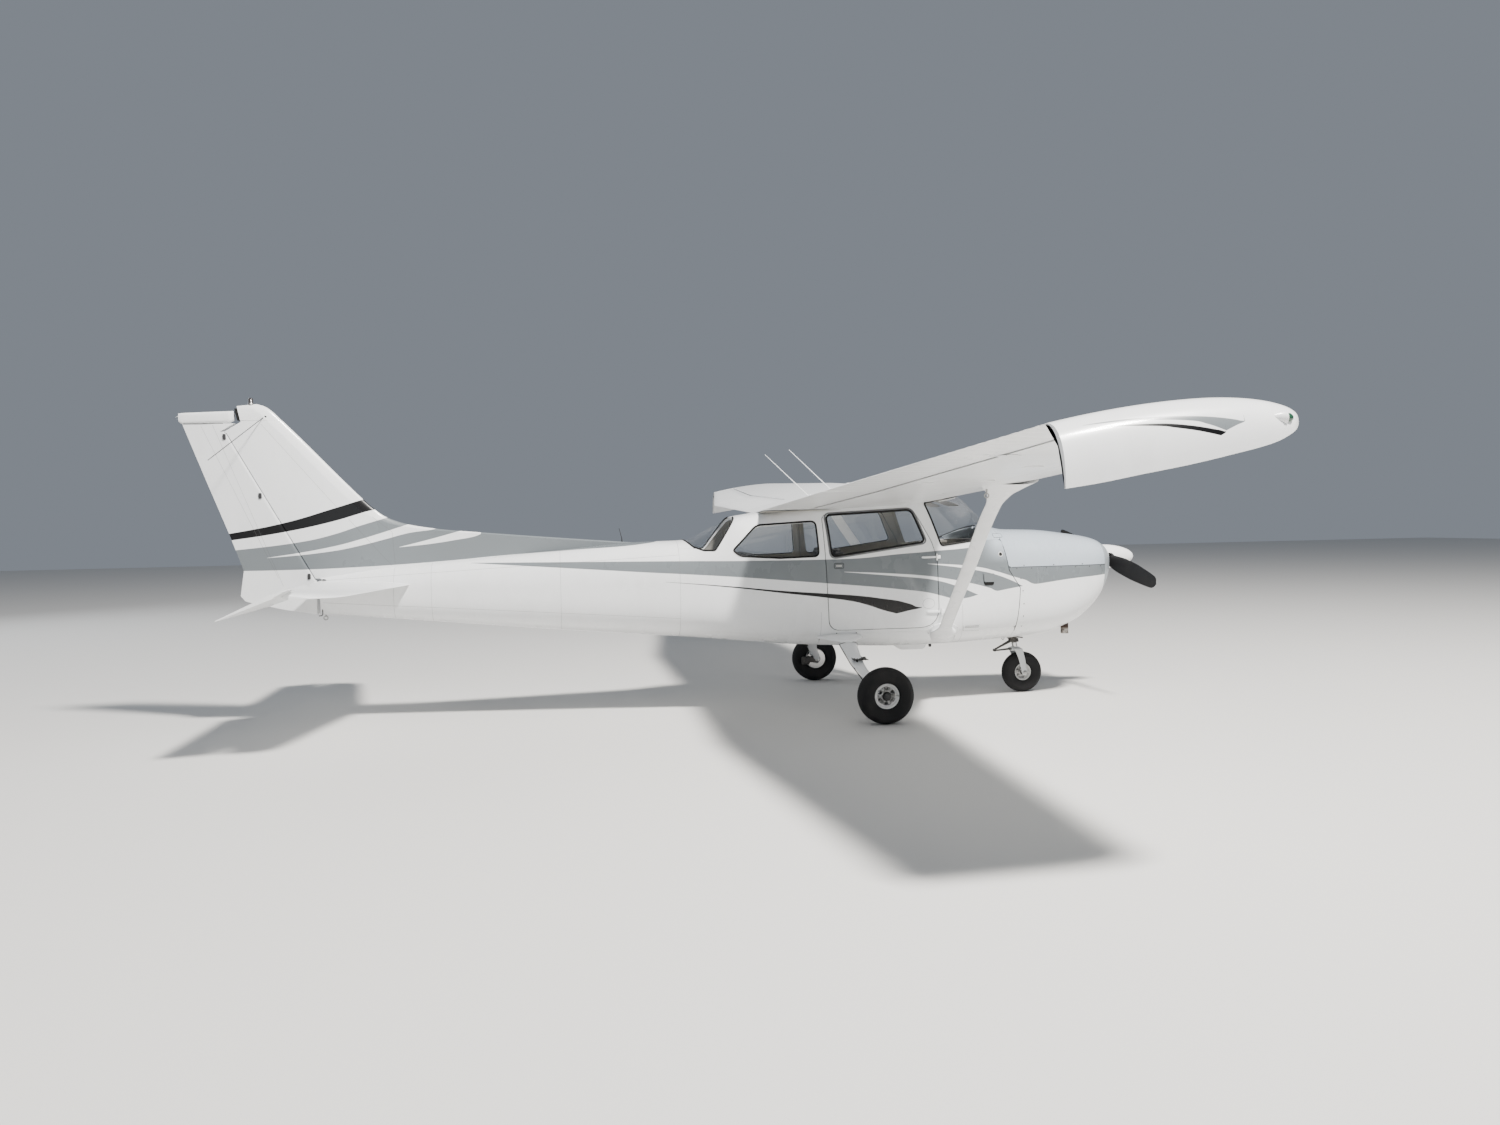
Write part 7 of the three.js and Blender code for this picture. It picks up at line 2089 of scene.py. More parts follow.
for side, label in SIDES:
    for name, part, material in (("leg_cuff_line_", cuff_line, seal), ("strut_rim_", strut_rim, white_paint),
                                 ("skin_screws_", joined(*screws), screw_steel),
                                 ("strut_mark_", strut_mark, seal)):
        piece(name + label, on_side(part, side), material, slot="fairing")
    piece("leg_cuff_" + label, on_side(cuff, side), leg_paint, wall=0.002, slot="fairing")

# %% [markdown]
# ## Nose gear
# The nose leg is an oil and air spring that leans back. All its round parts are turned about an upright
# line and then sheared back by the lean. The fork, the links and the wheel turn with the rudder pedals.

# %% Nose gear
def raked(part):
    """Shear an upright part so that its own middle line lies on the steering axis."""
    points, faces = part
    points = np.array(points, float)
    points[..., 0] += 1.672 - 0.1976 * points[..., 2]
    return points, faces


gear_grey = paint("gear_grey", (0.52, 0.54, 0.55, 1.0), dirt=0.9, rough=0.45)
barrel = raked(lathe([[0.0265, 0.556], [0.0265, 0.505], [0.030, 0.504], [0.037, 0.508], [0.0385, 0.514],
                      [0.0385, 0.548], [0.0360, 0.552], [0.0360, 0.600], [0.0400, 0.606], [0.0400, 0.648],
                      [0.0360, 0.654], [0.0360, 0.842], [0.0400, 0.848], [0.0400, 0.886], [0.0330, 0.892],
                      [0.0330, 0.898]], (0, 0, 0), "z", 48))
mounts = joined(soft_box((1.404, -0.058, 0.602), (1.560, 0.058, 0.648), 0.3, 16),
                soft_box((1.404, -0.044, 0.842), (1.512, 0.044, 0.888), 0.3, 16))
piece("nose_barrel", barrel, gear_grey, node="nose_strut", slot="steel_paint")
piece("nose_mounts", mounts, oily_metal, slot="steel_paint")
piston = raked(lathe([[0.0245, 0.392], [0.0245, 0.548]], (0, 0, 0), "z", 48))
piece("nose_piston", piston, polished, body="nose_steering", slot="bare_steel")
collar = raked(lathe([[0.036, 0.457], [0.045, 0.460], [0.046, 0.464], [0.046, 0.485], [0.044, 0.490],
                      [0.036, 0.492]],
                     (0, 0, 0), "z", 48))
lug_pair = joined(*[soft_box((1.548, y - 0.006, 0.452), (1.590, y + 0.006, 0.486), 0.4, 10)
                    for y in (-0.026, 0.026)],
                  *[soft_box((1.562, y - 0.006, 0.384), (1.606, y + 0.006, 0.408), 0.4, 10)
                    for y in (-0.022, 0.022)])


def link(start, apex, wide):
    """A forged link: two arms from a wide pin to a narrow one, joined by a thin web."""
    def at(t, y):
        """The place at share t of the way from pin to pin, at the side distance y."""
        return [start[0] * (1 - t) + apex[0] * t, y, start[2] * (1 - t) + apex[2] * t]

    arms = [swept([at(0, side * wide), at(0.55, side * wide * 0.55), at(1, side * 0.006)],
                  [0.0075, 0.0065, 0.0065], 10)
            for side in (1, -1)]
    pins = [swept([at(t, -half), at(t, half)], 0.0075, 12) for t, half in ((0, wide + 0.010), (1, 0.020))]
    web = [swept([at(t, -wide * (1 - t)), at(t, wide * (1 - t))], 0.0055, 8) for t in (0.22, 0.5)]
    return joined(*arms, *pins, *web)


links = joined(link((1.556, 0.0, 0.470), (1.394, 0.0, 0.391), 0.024),
               link((1.572, 0.0, 0.396), (1.394, 0.0, 0.382), 0.020))
piece("torque_links", links, oily_metal, body="nose_steering", slot="steel_paint")
steering = joined(collar, lug_pair, soft_box((1.560, -0.078, 0.462), (1.596, 0.078, 0.476), 0.35, 12))
piece("steering_collar", steering, oily_metal, body="nose_steering", slot="steel_paint")

CROWN_X = 1.672 - 0.1976 * 0.392
crown = joined(raked(lathe([[0.040, 0.374], [0.047, 0.378], [0.048, 0.384], [0.048, 0.402], [0.044, 0.409],
                            [0.030, 0.412]],
                           (0, 0, 0), "z", 48)),
               soft_box((CROWN_X - 0.034, -0.083, 0.376), (CROWN_X + 0.040, 0.083, 0.404), 0.35, 18))
tine_surface = streamlined([[0, CROWN_X, 0.076, 0.400, 0.078, 0.015],
                            [0.42, 1.628, 0.076, 0.300, 0.060, 0.015],
                            [0.92, 1.651, 0.076, 0.183, 0.052, 0.015],
                            [1, 1.654, 0.076, 0.158, 0.034, 0.013]], [0.0, 1.0, 0.0])
tine = capped(tine_surface(np.linspace(0, 1, 60)[:, None], np.linspace(0, 1, 40, endpoint=False)[None, :]))
fork = joined(crown, tine, flipped(tine))
piece("fork_tines", fork, gear_grey, body="nose_steering", node="nose_fork", slot="steel_paint")
axle_end = lathe([[0.0115, 0.0], [0.0115, 0.085], [0.017, 0.085], [0.017, 0.091], [0.010, 0.094]],
                 (1.651, 0, 0.183), "y", 20)
nuts = joined(axle_end, flipped(axle_end))
piece("nose_axle", nuts, bare_metal, body="nose_steering", slot="bare_steel")
rods = joined(*[swept([[1.412, side * 0.105, 0.585], [1.470, side * 0.098, 0.545],
                       [1.566, side * 0.074, 0.480]], 0.0065, 10)
                for side in (1, -1)],
              swept([[1.500, -0.052, 0.520], [1.580, -0.062, 0.508]], 0.017, 20),
              swept([[1.580, -0.062, 0.508], [1.640, -0.069, 0.500]], 0.006, 12),
              swept([[1.470, 0.040, 0.600], [1.455, 0.055, 0.520], [1.500, 0.050, 0.470],
                     [1.520, 0.040, 0.520]], 0.004, 8))
piece("steering_rods", rods, oily_metal, slot="steel_paint")

# %% [markdown]
# ## Lugs, hinges and antennas
# Small fittings in bare or painted metal. Each is a tube along a path, a turned form or a box with soft
# edges.

# %% Fittings
def eye(x, y, z, radius=0.0145):
    """A ring on a stem, for tying the aircraft down."""
    angle = np.linspace(0, 2 * np.pi, 32, endpoint=False)
    ring = spread(x + radius * np.cos(angle), y, z + radius * np.sin(angle))
    return joined(swept(ring, 0.0045, 10, True),
                  swept([[x, y, z + radius], [x, y, z + radius + 0.034]], [0.0055, 0.007], 12))


eyes = joined(eye(0.356, 2.542, 1.744), eye(0.356, -2.542, 1.744), eye(-4.398, 0.0, 0.868, 0.016))
piece("tie_down_eyes", eyes, bare_metal, slot="bare_steel")
for side, label in SIDES:
    moving, fixed = [], []
    for x, z in ((0.680, 1.266), (0.716, 0.800)):
        y = side * 0.541
        arm, leaf = (sorted((y - side * deep, y - side * shallow)) for deep,
                     shallow in ((0.018, 0.004), (0.0185, 0.003)))
        moving += [lathe([[0.008, z - 0.016], [0.008, z + 0.016]], (x, y, 0), "z", 20),
                   soft_box((x - 0.132, arm[0], z - 0.009), (x - 0.004, arm[1], z + 0.009), 0.4, 14)]
        fixed += [lathe([[0.0075, z + end], [0.0075, z + end + 0.010]], (x, y, 0), "z", 20)
                  for end in (-0.0275, 0.0175)]
        fixed += [soft_box((x + 0.004, leaf[0], z - 0.016), (x + 0.034, leaf[1], z + 0.016), 0.4, 14)]
    piece("door_hinge_arm_" + label, joined(*moving), white_paint, body="cabin_door_" + label,
          slot="white_skin", turn=False)
    piece("door_hinge_leaf_" + label, joined(*fixed), white_paint, slot="white_skin", turn=False)
knuckles = [lathe([[0.007, z - 0.026], [0.007, z + 0.026]], (-0.703, 0.524, 0), "z", 20)
            for z in (1.130, 0.880)]
piece("baggage_hinges", joined(*knuckles), white_paint, slot="white_skin")

for name, x in (("antenna_rear", -0.330), ("antenna_front", -0.120)):
    z = wing_height(x, 0.16, 1.0)
    foot = lathe([[0.021, z - 0.004], [0.020, z + 0.004], [0.010, z + 0.014], [0.006, z + 0.026]],
                 (x, -0.16, 0), "z", 28)
    part = joined(swept([[x, -0.16, z], [x - 0.39, -0.16, z + 0.372]], [0.0048, 0.0022], 12), foot)
    piece(name + "_whip", part, white_paint, node=name, slot="white_skin")

levels = np.linspace(0.500, 0.424, 12)[:, None]
share = (0.500 - levels) / 0.076
blade_turn = np.linspace(0, 2 * np.pi, 48, endpoint=False)[None, :]
fore, aft_x = 0.760 - 0.035 * share ** 2, 0.430 + 0.085 * share ** 2
blade_x = (fore + aft_x) / 2 + (fore - aft_x) / 2 * np.cos(blade_turn)
blade_y = (0.010 - 0.003 * share) * np.sin(blade_turn)
blade = capped(spread(blade_x, blade_y, levels))
piece("belly_blade_antenna", blade, white_paint, slot="white_skin")
knob = joined(lathe([[0.013, 0.492], [0.014, 0.448], [0.010, 0.440]], (0.785, 0, 0), "z", 24),
              swept([[-1.95, 0.0, 1.428], [-1.955, 0.0, 1.480], [-1.975, 0.0, 1.560]],
                    [0.008, 0.0035, 0.0025], 12))
piece("small_antennas", knob, dark_plastic, slot="white_skin")
loop_path = [[-4.416, -0.058, 1.020], [-4.410, -0.068, 0.960], [-4.408, -0.068, 0.912],
             [-4.416, -0.064, 0.894], [-4.440, -0.058, 0.890]]
conduit = swept(smooth(np.linspace(0, 1, 24), np.linspace(0, 1, 5), np.array(loop_path)), 0.0042, 10)
piece("tail_conduit", conduit, dark_plastic, slot="white_skin")

# %% Hinge brackets and the cap's gasket
brackets = []
for z in (2.360, 1.880, 1.215):
    x, half = fin_hinge_x(z), fin_half(z)
    for side in (1, -1):
        y0, y1 = sorted((side * (half - 0.002), side * (half + 0.005)))
        brackets.append(soft_box((x - 0.024, y0, z - 0.024), (x + 0.002, y1, z + 0.024), 0.4, 12))
# The brackets are black so that they stand for the shade in the hinge cut-outs: painted shade.
piece("rudder_hinge_brackets_painted_shade", joined(*brackets), dark_plastic, body="rudder", slot="white_skin")
z = np.linspace(2.4935, 2.590, 14)[:, None]
front = -5.0005 - 0.218 * (z - 2.480)
turn = np.linspace(0, 2 * np.pi, 32, endpoint=False)[None, :]
gasket_x = front - 0.013 + 0.013 * signed_power(np.cos(turn), 0.3)
gasket_y = np.interp(z, [2.49, 2.56, 2.59], [0.036, 0.034, 0.024]) * signed_power(np.sin(turn), 0.3)
gasket = capped(spread(gasket_x, gasket_y, z))
piece("fin_cap_gasket", gasket, seal, slot="white_skin")
strips = joined(*[swept([[-5.135, side * 0.034, 2.4695], [-5.280, side * 0.029, 2.4695],
                         [-5.446, side * 0.018, 2.4695]], 0.0022, 6) for side in (1, -1)])
piece("rudder_cap_line", strips, seal, body="rudder", slot="white_skin")

# %% [markdown]
# ## Skin fittings
# Covers, vents and handles lie on the skin. Each is a small outline cut from the same surface, lifted by a
# few tenths of a millimetre to a few millimetres, so that it follows the skin's curve exactly.

# %% Skin patches
def ellipse(x, z, rx, rz):
    """The outline of an ellipse in side view."""
    angle = np.linspace(0, 2 * np.pi, 40, endpoint=False)
    return np.stack([x + rx * np.cos(angle), z + rz * np.sin(angle)], -1)


def patch(name, outline, side, material, lift, **more):
    """A plate on the skin inside the outline, its face `lift` outside the skin."""
    x0, x1 = outline[:, 0].min() - 0.01, outline[:, 0].max() + 0.01
    turns = np.linspace(-0.24, 0.24, 400) if side > 0 else np.linspace(0.26, 0.74, 400)
    z = body_point((x0 + x1) / 2, turns)[..., 2]
    near = turns[(z > outline[:, 1].min() - 0.03) & (z < outline[:, 1].max() + 0.03)]
    return body_skin(name, x0, x1, near.min(), near.max(), within(outline), material, inset=-lift,
                     wall=lift + 0.001,
                     cell=0.005, **more)


def skin_line(outline, side, radius=0.0016, lift=0.0004):
    """A thin round bead along an outline on the skin."""
    return swept(on_skin(dense(outline, 0.006), side, lift), radius, 6, True)


grey_paint = paint("grey_paint", GREY, dirt=0.3, rough=0.26)
frame_grey = plain("window_frame", (0.16, 0.165, 0.17), 0.5, dust=0.3)
handle_outline = rounded([[-0.214, 1.190], [-0.133, 1.190], [-0.133, 1.234], [-0.214, 1.234]], 0.012)
cup_outline = rounded([[-0.205, 1.198], [-0.142, 1.198], [-0.142, 1.226], [-0.205, 1.226]], 0.008)
vent_outline = rounded([[0.930, 0.622], [1.080, 0.622], [1.080, 0.672], [0.930, 0.672]], 0.006)
oval_door = rounded([[1.232, 1.418], [1.338, 1.418], [1.338, 1.452], [1.232, 1.452]], 0.016)
scoop_outline = rounded([[1.108, 1.040], [1.200, 1.040], [1.203, 1.112], [1.102, 1.116]], 0.014)
mouth_outline = rounded([[1.112, 1.012], [1.196, 1.012], [1.200, 1.046], [1.106, 1.046]], 0.012)
for side, label in SIDES:
    door = "cabin_door_" + label
    patch("door_handle_cup_" + label, handle_outline, side, grey_paint, 0.001, body=door, slot="grey_skin")
    lines = joined(skin_line(handle_outline, side, 0.0022), skin_line(cup_outline, side, 0.0014))
    piece("door_handle_line_" + label, lines, seal, body=door, slot="grey_skin")
    y = side * half_at(-0.17, 1.212)
    lever = soft_box((-0.199, y - 0.004, 1.204), (-0.148, y + 0.004, 1.221), 0.4, 14)
    piece("door_handle_" + label, lever, bare_metal, body=door, slot="bare_steel")
    patch("door_round_cover_" + label, ellipse(0.606, 0.872, 0.052, 0.042), side, white_paint, 0.0008,
          body=door, slot="white_skin")
    piece("door_round_line_" + label, skin_line(ellipse(0.606, 0.872, 0.053, 0.043), side, 0.0010),
          frame_grey, body=door, slot="white_skin")
    patch("louvre_plate_" + label, vent_outline, side, white_paint, 0.0025, slot="white_skin")
    # The two black beads stand for the louvre's open slots: painted shade. The black line round the plate is
    # its joint.
    slots = [swept(on_skin(np.array([[0.940, z], [1.0, z], [1.070, z]]), side, 0.002), 0.0032, 8, False,
                   0.6) for z in (0.664, 0.652)]
    piece("louvre_slots_painted_shade_" + label, joined(skin_line(vent_outline, side), *slots), seal, slot="white_skin")
    patch("scoop_" + label, scoop_outline, side, grey_paint, 0.012, slot="grey_skin")
    # The scoop's opening is a flat black plate under its lip: painted shade of the opening.
    patch("scoop_mouth_" + label, mouth_outline, side, seal, 0.004, slot="grey_skin")
    window_band = swept(on_skin(dense(rounded(pulled_in(DOOR_WINDOW, -0.014), 0.055)), side, -0.001), 0.0085,
                        8, True, 0.45)
    piece("door_window_frame_" + label, window_band, frame_grey, body=door, slot="window")
piece("oval_door_line", skin_line(oval_door, -1, 0.0018), seal, slot="grey_skin")
patch("oval_door", oval_door, -1, upper_cowl_paint, 0.0008, slot="grey_skin")
# The round vent's opening is a flat black disc, painted shade of the hole, and the white of the raised ring
# round it is a painted highlight of the lit rim.
patch("vent_hole_painted_shade", ellipse(1.273, 1.275, 0.017, 0.017), -1, seal, 0.002, slot="grey_skin")
piece("vent_ring_painted_highlight", skin_line(ellipse(1.273, 1.275, 0.019, 0.019), -1, 0.003, 0.001), white_paint,
      slot="grey_skin")

# %% Cowl screws and edge
studs = [(1.455, 1.06), (1.474, 0.953), (1.484, 0.84), (1.487, 0.731), (1.487, 0.640)]
studs += [(x, 1.148) for x in (1.42, 1.56, 1.70, 1.84, 1.98, 2.12, 2.24)]
studs += [(x, 1.172) for x in (1.49, 1.77, 2.05)]
heads = []
for side in (1, -1):
    for x, z in studs:
        y = half_at(x, z)
        head = lathe([[0.0052, y - 0.002], [0.0052, y + 0.0012], [0.0036, y + 0.0022]], (x, 0, z), "y", 12)
        heads.append(on_side(head, side))
piece("cowl_screws", joined(*heads), screw_steel, slot="grey_skin", turn=False)
for side, label in SIDES:
    seam_z = np.linspace(0.60, 1.345, 60)
    seam_x = np.interp(seam_z, COWL_SEAM[:, 0], COWL_SEAM[:, 1])
    line = swept(spread(seam_x, side * (body_half(seam_x, seam_z) - 0.001), seam_z), 0.0034, 6)
    split_x = np.linspace(1.375, 2.30, 60)
    split = swept(spread(split_x, side * (body_half(split_x, SPLIT) - 0.001), SPLIT), 0.0028, 6)
    piece("cowl_edge_line_" + label, joined(line, split), seal, slot="grey_skin")

# %% [markdown]
# ## Wing fittings
# The position lamps sit in teardrops on the tips, and a heated probe under the left wing measures the
# airspeed. Two fuel caps lie in the top skin, and round covers close the holes for inspection.

# %% Wing fittings
for side, label, lens in ((1, "left", red_lens), (-1, "right", green_lens)):
    drop = turned([[0.0, 0.458], [0.006, 0.470], [0.016, 0.500], [0.026, 0.530], [0.030, 0.552],
                   [0.029, 0.566], [0.024, 0.570], [0.0, 0.570]], (0, side * 5.432, 1.998), "x", 40, False)
    bulb = turned([[0.0, 0.568], [0.021, 0.568], [0.022, 0.574], [0.020, 0.588], [0.013, 0.598],
                   [0.0, 0.602]],
                  (0, side * 5.432, 1.998), "x", 32, False)
    piece("position_lamp_" + label, drop, white_paint, slot="white_skin")
    piece("position_lens_" + label, bulb, lens, slot="lens")
    top_z = float(wing_point(1.45, np.array(0.235), 1.0)[2])
    x = 0.820 - 0.235 * 1.626
    cap = joined(lathe([[0.052, top_z - 0.004], [0.052, top_z + 0.002], [0.046, top_z + 0.006],
                        [0.020, top_z + 0.009]],
                       (x, side * 1.45, 0), "z", 40),
                 soft_box((x - 0.030, side * 1.45 - 0.006, top_z + 0.006),
                          (x + 0.030, side * 1.45 + 0.006, top_z + 0.013), 0.4, 12))
    piece("fuel_cap_" + label, cap, white_paint, slot="white_skin")
    covers = []
    for x, y in ((0.20, 1.15), (0.20, 1.95), (0.15, 3.05), (0.12, 3.85), (0.10, 4.70), (-0.25, 3.05),
                 (-0.22, 4.35)):
        low_z = wing_height(x, y, -1.0)
        covers.append(lathe([[0.062, low_z + 0.003], [0.062, low_z - 0.0012], [0.058, low_z - 0.002]],
                            (x, side * y, 0), "z", 40))
    piece("wing_covers_" + label, joined(*covers), wing_paint, slot="white_skin")
low_z = float(wing_point(2.95, np.array(0.22), -1.0)[2])
probe = joined(swept([[0.44, 2.95, low_z + 0.004], [0.44, 2.95, low_z - 0.060], [0.47, 2.95, low_z - 0.085],
                      [0.53, 2.95, low_z - 0.090],
                      [0.66, 2.95, low_z - 0.090]], [0.009, 0.009, 0.009, 0.008, 0.0065], 14),
               swept([[0.33, 2.70, 1.800], [0.33, 2.70, 1.752], [0.345, 2.70, 1.742]], 0.004, 10))
piece("airspeed_probe", probe, bare_metal, slot="bare_steel")

# %% [markdown]
# ## Engine, exhaust and firewall
# Two rows of air-cooled cylinders lie flat behind the inlets. A cylinder is one profile turned about its
# own axis, whose radius jumps out and in again for every cooling fin.

# %% Engine
def cylinder(x, side):
    """A finned barrel with its rocker cover, lying along Y."""
    profile = [[0.062, 0.085]]
    for k in range(17):
        at = 0.092 + 0.0115 * k
        profile += [[0.058, at], [0.076, at + 0.0015], [0.076, at + 0.0035], [0.058, at + 0.005]]
    profile += [[0.062, 0.292], [0.050, 0.300]]
    barrel = lathe(profile, (x, 0.0, 1.100), "y", 28)
    cover = soft_box((x - 0.060, 0.296, 1.052), (x + 0.060, 0.334, 1.148), 0.35, 16)
    pipe = swept([[x, 0.20, 1.03], [x, 0.21, 0.99], [x + 0.02, 0.20, 0.955]], 0.020, 14)
    return on_side(joined(barrel, cover, pipe), side)


banks = joined(*[cylinder(x, side) for x, side in ((1.700, 1), (1.900, 1), (1.745, -1), (1.945, -1))])
crankcase = joined(soft_box((1.560, -0.105, 1.000), (2.120, 0.105, 1.205), 0.3, 22),
                   soft_box((1.600, -0.120, 0.935), (2.020, 0.120, 1.010), 0.3, 18),
                   lathe([[0.075, 2.080], [0.070, 2.140], [0.055, 2.149]], (0, 0, 1.155), "x", 36))
corners = [(side, high) for side in (1, -1) for high in (1.245, 0.800)]
tubes = [swept([[1.404, side * 0.235, high], [1.500, side * 0.200, high * 0.6 + 0.44],
                [1.620, side * 0.098, 1.02 + 0.12 * (high > 1)]], 0.011, 12) for side, high in corners]
feet = [lathe([[0.024, 1.404], [0.024, 1.412], [0.016, 1.426]], (0, side * 0.235, high), "x", 20)
        for side, high in corners]
mounts = joined(*tubes, *feet)
piece("engine_cylinders", banks, engine_grey, node="engine_block", slot="engine")
piece("engine_crankcase", crankcase, engine_grey, slot="engine")
piece("engine_mounts", mounts, bare_metal, slot="engine")
outer, wall = PIPE[2], 0.0022
tail = turned([[outer, 0.541], [outer + 0.0008, 0.545], [outer, 0.552], [outer, 0.930],
               [outer - wall, 0.930],
               [outer - wall, 0.541]], (PIPE[0], PIPE[1], 0.0), "z", 48)
clamp = turned([[outer + 0.0005, 0.700], [outer + 0.005, 0.701], [outer + 0.005, 0.716],
                [outer + 0.0005, 0.717]],
               (PIPE[0], PIPE[1], 0.0), "z", 48)
piece("exhaust_stack", joined(tail, clamp), exhaust_steel, node="exhaust_pipe", slot="rusty_pipe")

# %% Carried-over solids
def refinish(node, material):
    """A new material in every slot of a solid that keeps its own shape."""
    for entry in nodes[node].material_slots:
        entry.material = material


refinish("firewall", bare_metal)
refinish("cabin_floor", carpet)

# %% [markdown]
# ## Cabin inside
# The board carries round dials, a stack of radios and push rods, under a dark hood that keeps the sun off.
# Two control wheels stand out of it on steel shafts. Dial marks are short bars set at even angles round
# each centre.

# %% Instrument board
def board_rings():
    """Level rings of the board: a thin rounded rectangle as wide as the cabin is at that height."""
    z = np.linspace(1.012, 1.386, 40)
    half = body_half(1.12, z) - 0.034
    angle = np.linspace(0, 2 * np.pi, 64, endpoint=False)[None, :]
    return spread(1.1205 + 0.0075 * signed_power(np.sin(angle), 0.4),
                  half[:, None] * signed_power(np.cos(angle), 0.25), z[:, None])


def hood_rings():
    """Rings along X of the hood over the board: wide, thin, a little arched, with a rolled front edge."""
    x = np.linspace(1.075, 1.262, 26)
    half = body_half(x, 1.392) - 0.036
    edge = np.sqrt(np.clip(1 - ((1.095 - x).clip(0) / 0.021) ** 2, 0.04, 1.0))
    angle = np.linspace(0, 2 * np.pi, 72, endpoint=False)[None, :]
    y = half[:, None] * signed_power(np.cos(angle), 0.35)
    arch = 0.012 * (1 - (y / half[:, None]) ** 2)
    z = 1.3905 + arch + 0.007 * edge[:, None] * signed_power(np.sin(angle), 0.6)
    return spread(x[:, None], y, z)


board = capped(board_rings())
hood = capped(hood_rings())
panel_paint = plain("panel_paint", (0.085, 0.088, 0.092), 0.65, grain=400.0, shift=0.15, bump=0.25,
                    dust=0.05)
hood_black = plain("hood_black", (0.018, 0.018, 0.019), 0.85, grain=600.0, shift=0.4, bump=0.5, dust=0.05)
piece("instrument_board", board, panel_paint, node="instrument_panel", slot="panel")
piece("glare_shield", hood, hood_black, slot="panel")

DIALS = [(y, z, 0.040) for y in (0.335, 0.240, 0.145) for z in (1.318, 1.222)] \
    + [(0.395, 1.120, 0.024), (0.335, 1.120, 0.024), (-0.165, 1.318, 0.036), (-0.250, 1.318, 0.036),
       (-0.340, 1.318, 0.030),
       (-0.165, 1.235, 0.024), (-0.225, 1.235, 0.024)]
def around(x, y, z, reach, angle):
    """The point at a distance and an angle from a dial's centre."""
    return [x, y + reach * np.cos(angle), z + reach * np.sin(angle)]


bezels, faces_of, marks = [], [], []
for number, (y, z, r) in enumerate(DIALS):
    bezels.append(turned([[r, 1.1135], [r + 0.0035, 1.1130], [r + 0.0035, 1.1085], [r, 1.1075],
                          [r - 0.0025, 1.1090]],
                         (0, y, z), "x", 40))
    faces_of.append(lathe([[r - 0.0005, 1.1128], [r - 0.0008, 1.1105]], (0, y, z), "x", 40))
    ticks = 12 if r > 0.03 else 6
    for k in range(ticks):
        angle = 2 * np.pi * k / ticks
        marks.append(swept([around(1.1101, y, z, reach * r, angle) for reach in (0.74, 0.92)], 0.0009, 4))
    lean = 0.9 + 1.7 * number
    needle = [around(1.1098, y, z, reach * r, lean) for reach in (-0.18, 0.70)]
    marks.append(swept(needle, [0.0016, 0.0007], 4))
dial_black = plain("dial_black", (0.010, 0.010, 0.011), 0.35, dust=0.0, bump=0.02)
mark_white = plain("dial_marks", (0.75, 0.75, 0.72), 0.6, dust=0.0, shift=0.05)
for name, parts, material in (("dial_bezels", bezels, dark_plastic), ("dial_faces", faces_of, dial_black),
                              ("dial_marks", marks, mark_white)):
    piece(name, joined(*parts), material, slot="panel", turn=False if name == "dial_marks" else None)

radios, windows, knobs = [], [], []
for k, (z0, z1) in enumerate([(1.334, 1.372), (1.288, 1.330), (1.242, 1.284), (1.206, 1.238),
                              (1.160, 1.202)]):
    radios.append(soft_box((1.1045, -0.080, z0), (1.1160, 0.080, z1), 0.12, 18))
    windows.append(soft_box((1.1035, -0.030, z0 + 0.012), (1.1060, 0.055, z1 - 0.008), 0.15, 10))
    for y in (-0.064, -0.045, 0.067):
        knobs.append(lathe([[0.0060, 1.1080], [0.0058, 1.0950], [0.0040, 1.0940]], (0, y, (z0 + z1) / 2),
                           "x", 16))
controls = [(0.030, 0.013, 0), (-0.020, 0.012, 1), (0.075, 0.009, 2), (0.120, 0.007, 2), (-0.070, 0.008, 2)]
rods, grips = [], [[], [], []]
for y, r, kind in controls:
    rods.append(swept([[1.1130, y, 1.062], [1.0780, y, 1.062]], 0.0042, 10))
    grips[kind].append(lathe([[r * 0.8, 1.0790], [r, 1.0760], [r, 1.0640], [r * 0.7, 1.0610]], (0, y, 1.062),
                             "x", 24))
for k in range(9):
    knobs.append(lathe([[0.0042, 1.1130], [0.0042, 1.1040], [0.0030, 1.1030]], (0, 0.21 + 0.022 * k, 1.055),
                       "x", 12))
screen_green = plain("radio_windows", (0.006, 0.020, 0.012), 0.12, dust=0.0, coat=0.6, bump=0.0)
red_knob = plain("red_knob", (0.30, 0.02, 0.015), 0.4, dust=0.1)
for name, parts, material in (("radio_faces", radios, dark_plastic),
                              ("radio_windows", windows, screen_green),
                              ("small_knobs", knobs + grips[0] + grips[2], dark_plastic),
                              ("push_rods", rods, polished),
                              ("mixture_knob", grips[1], red_knob)):
    piece(name, joined(*parts), material, slot="panel")

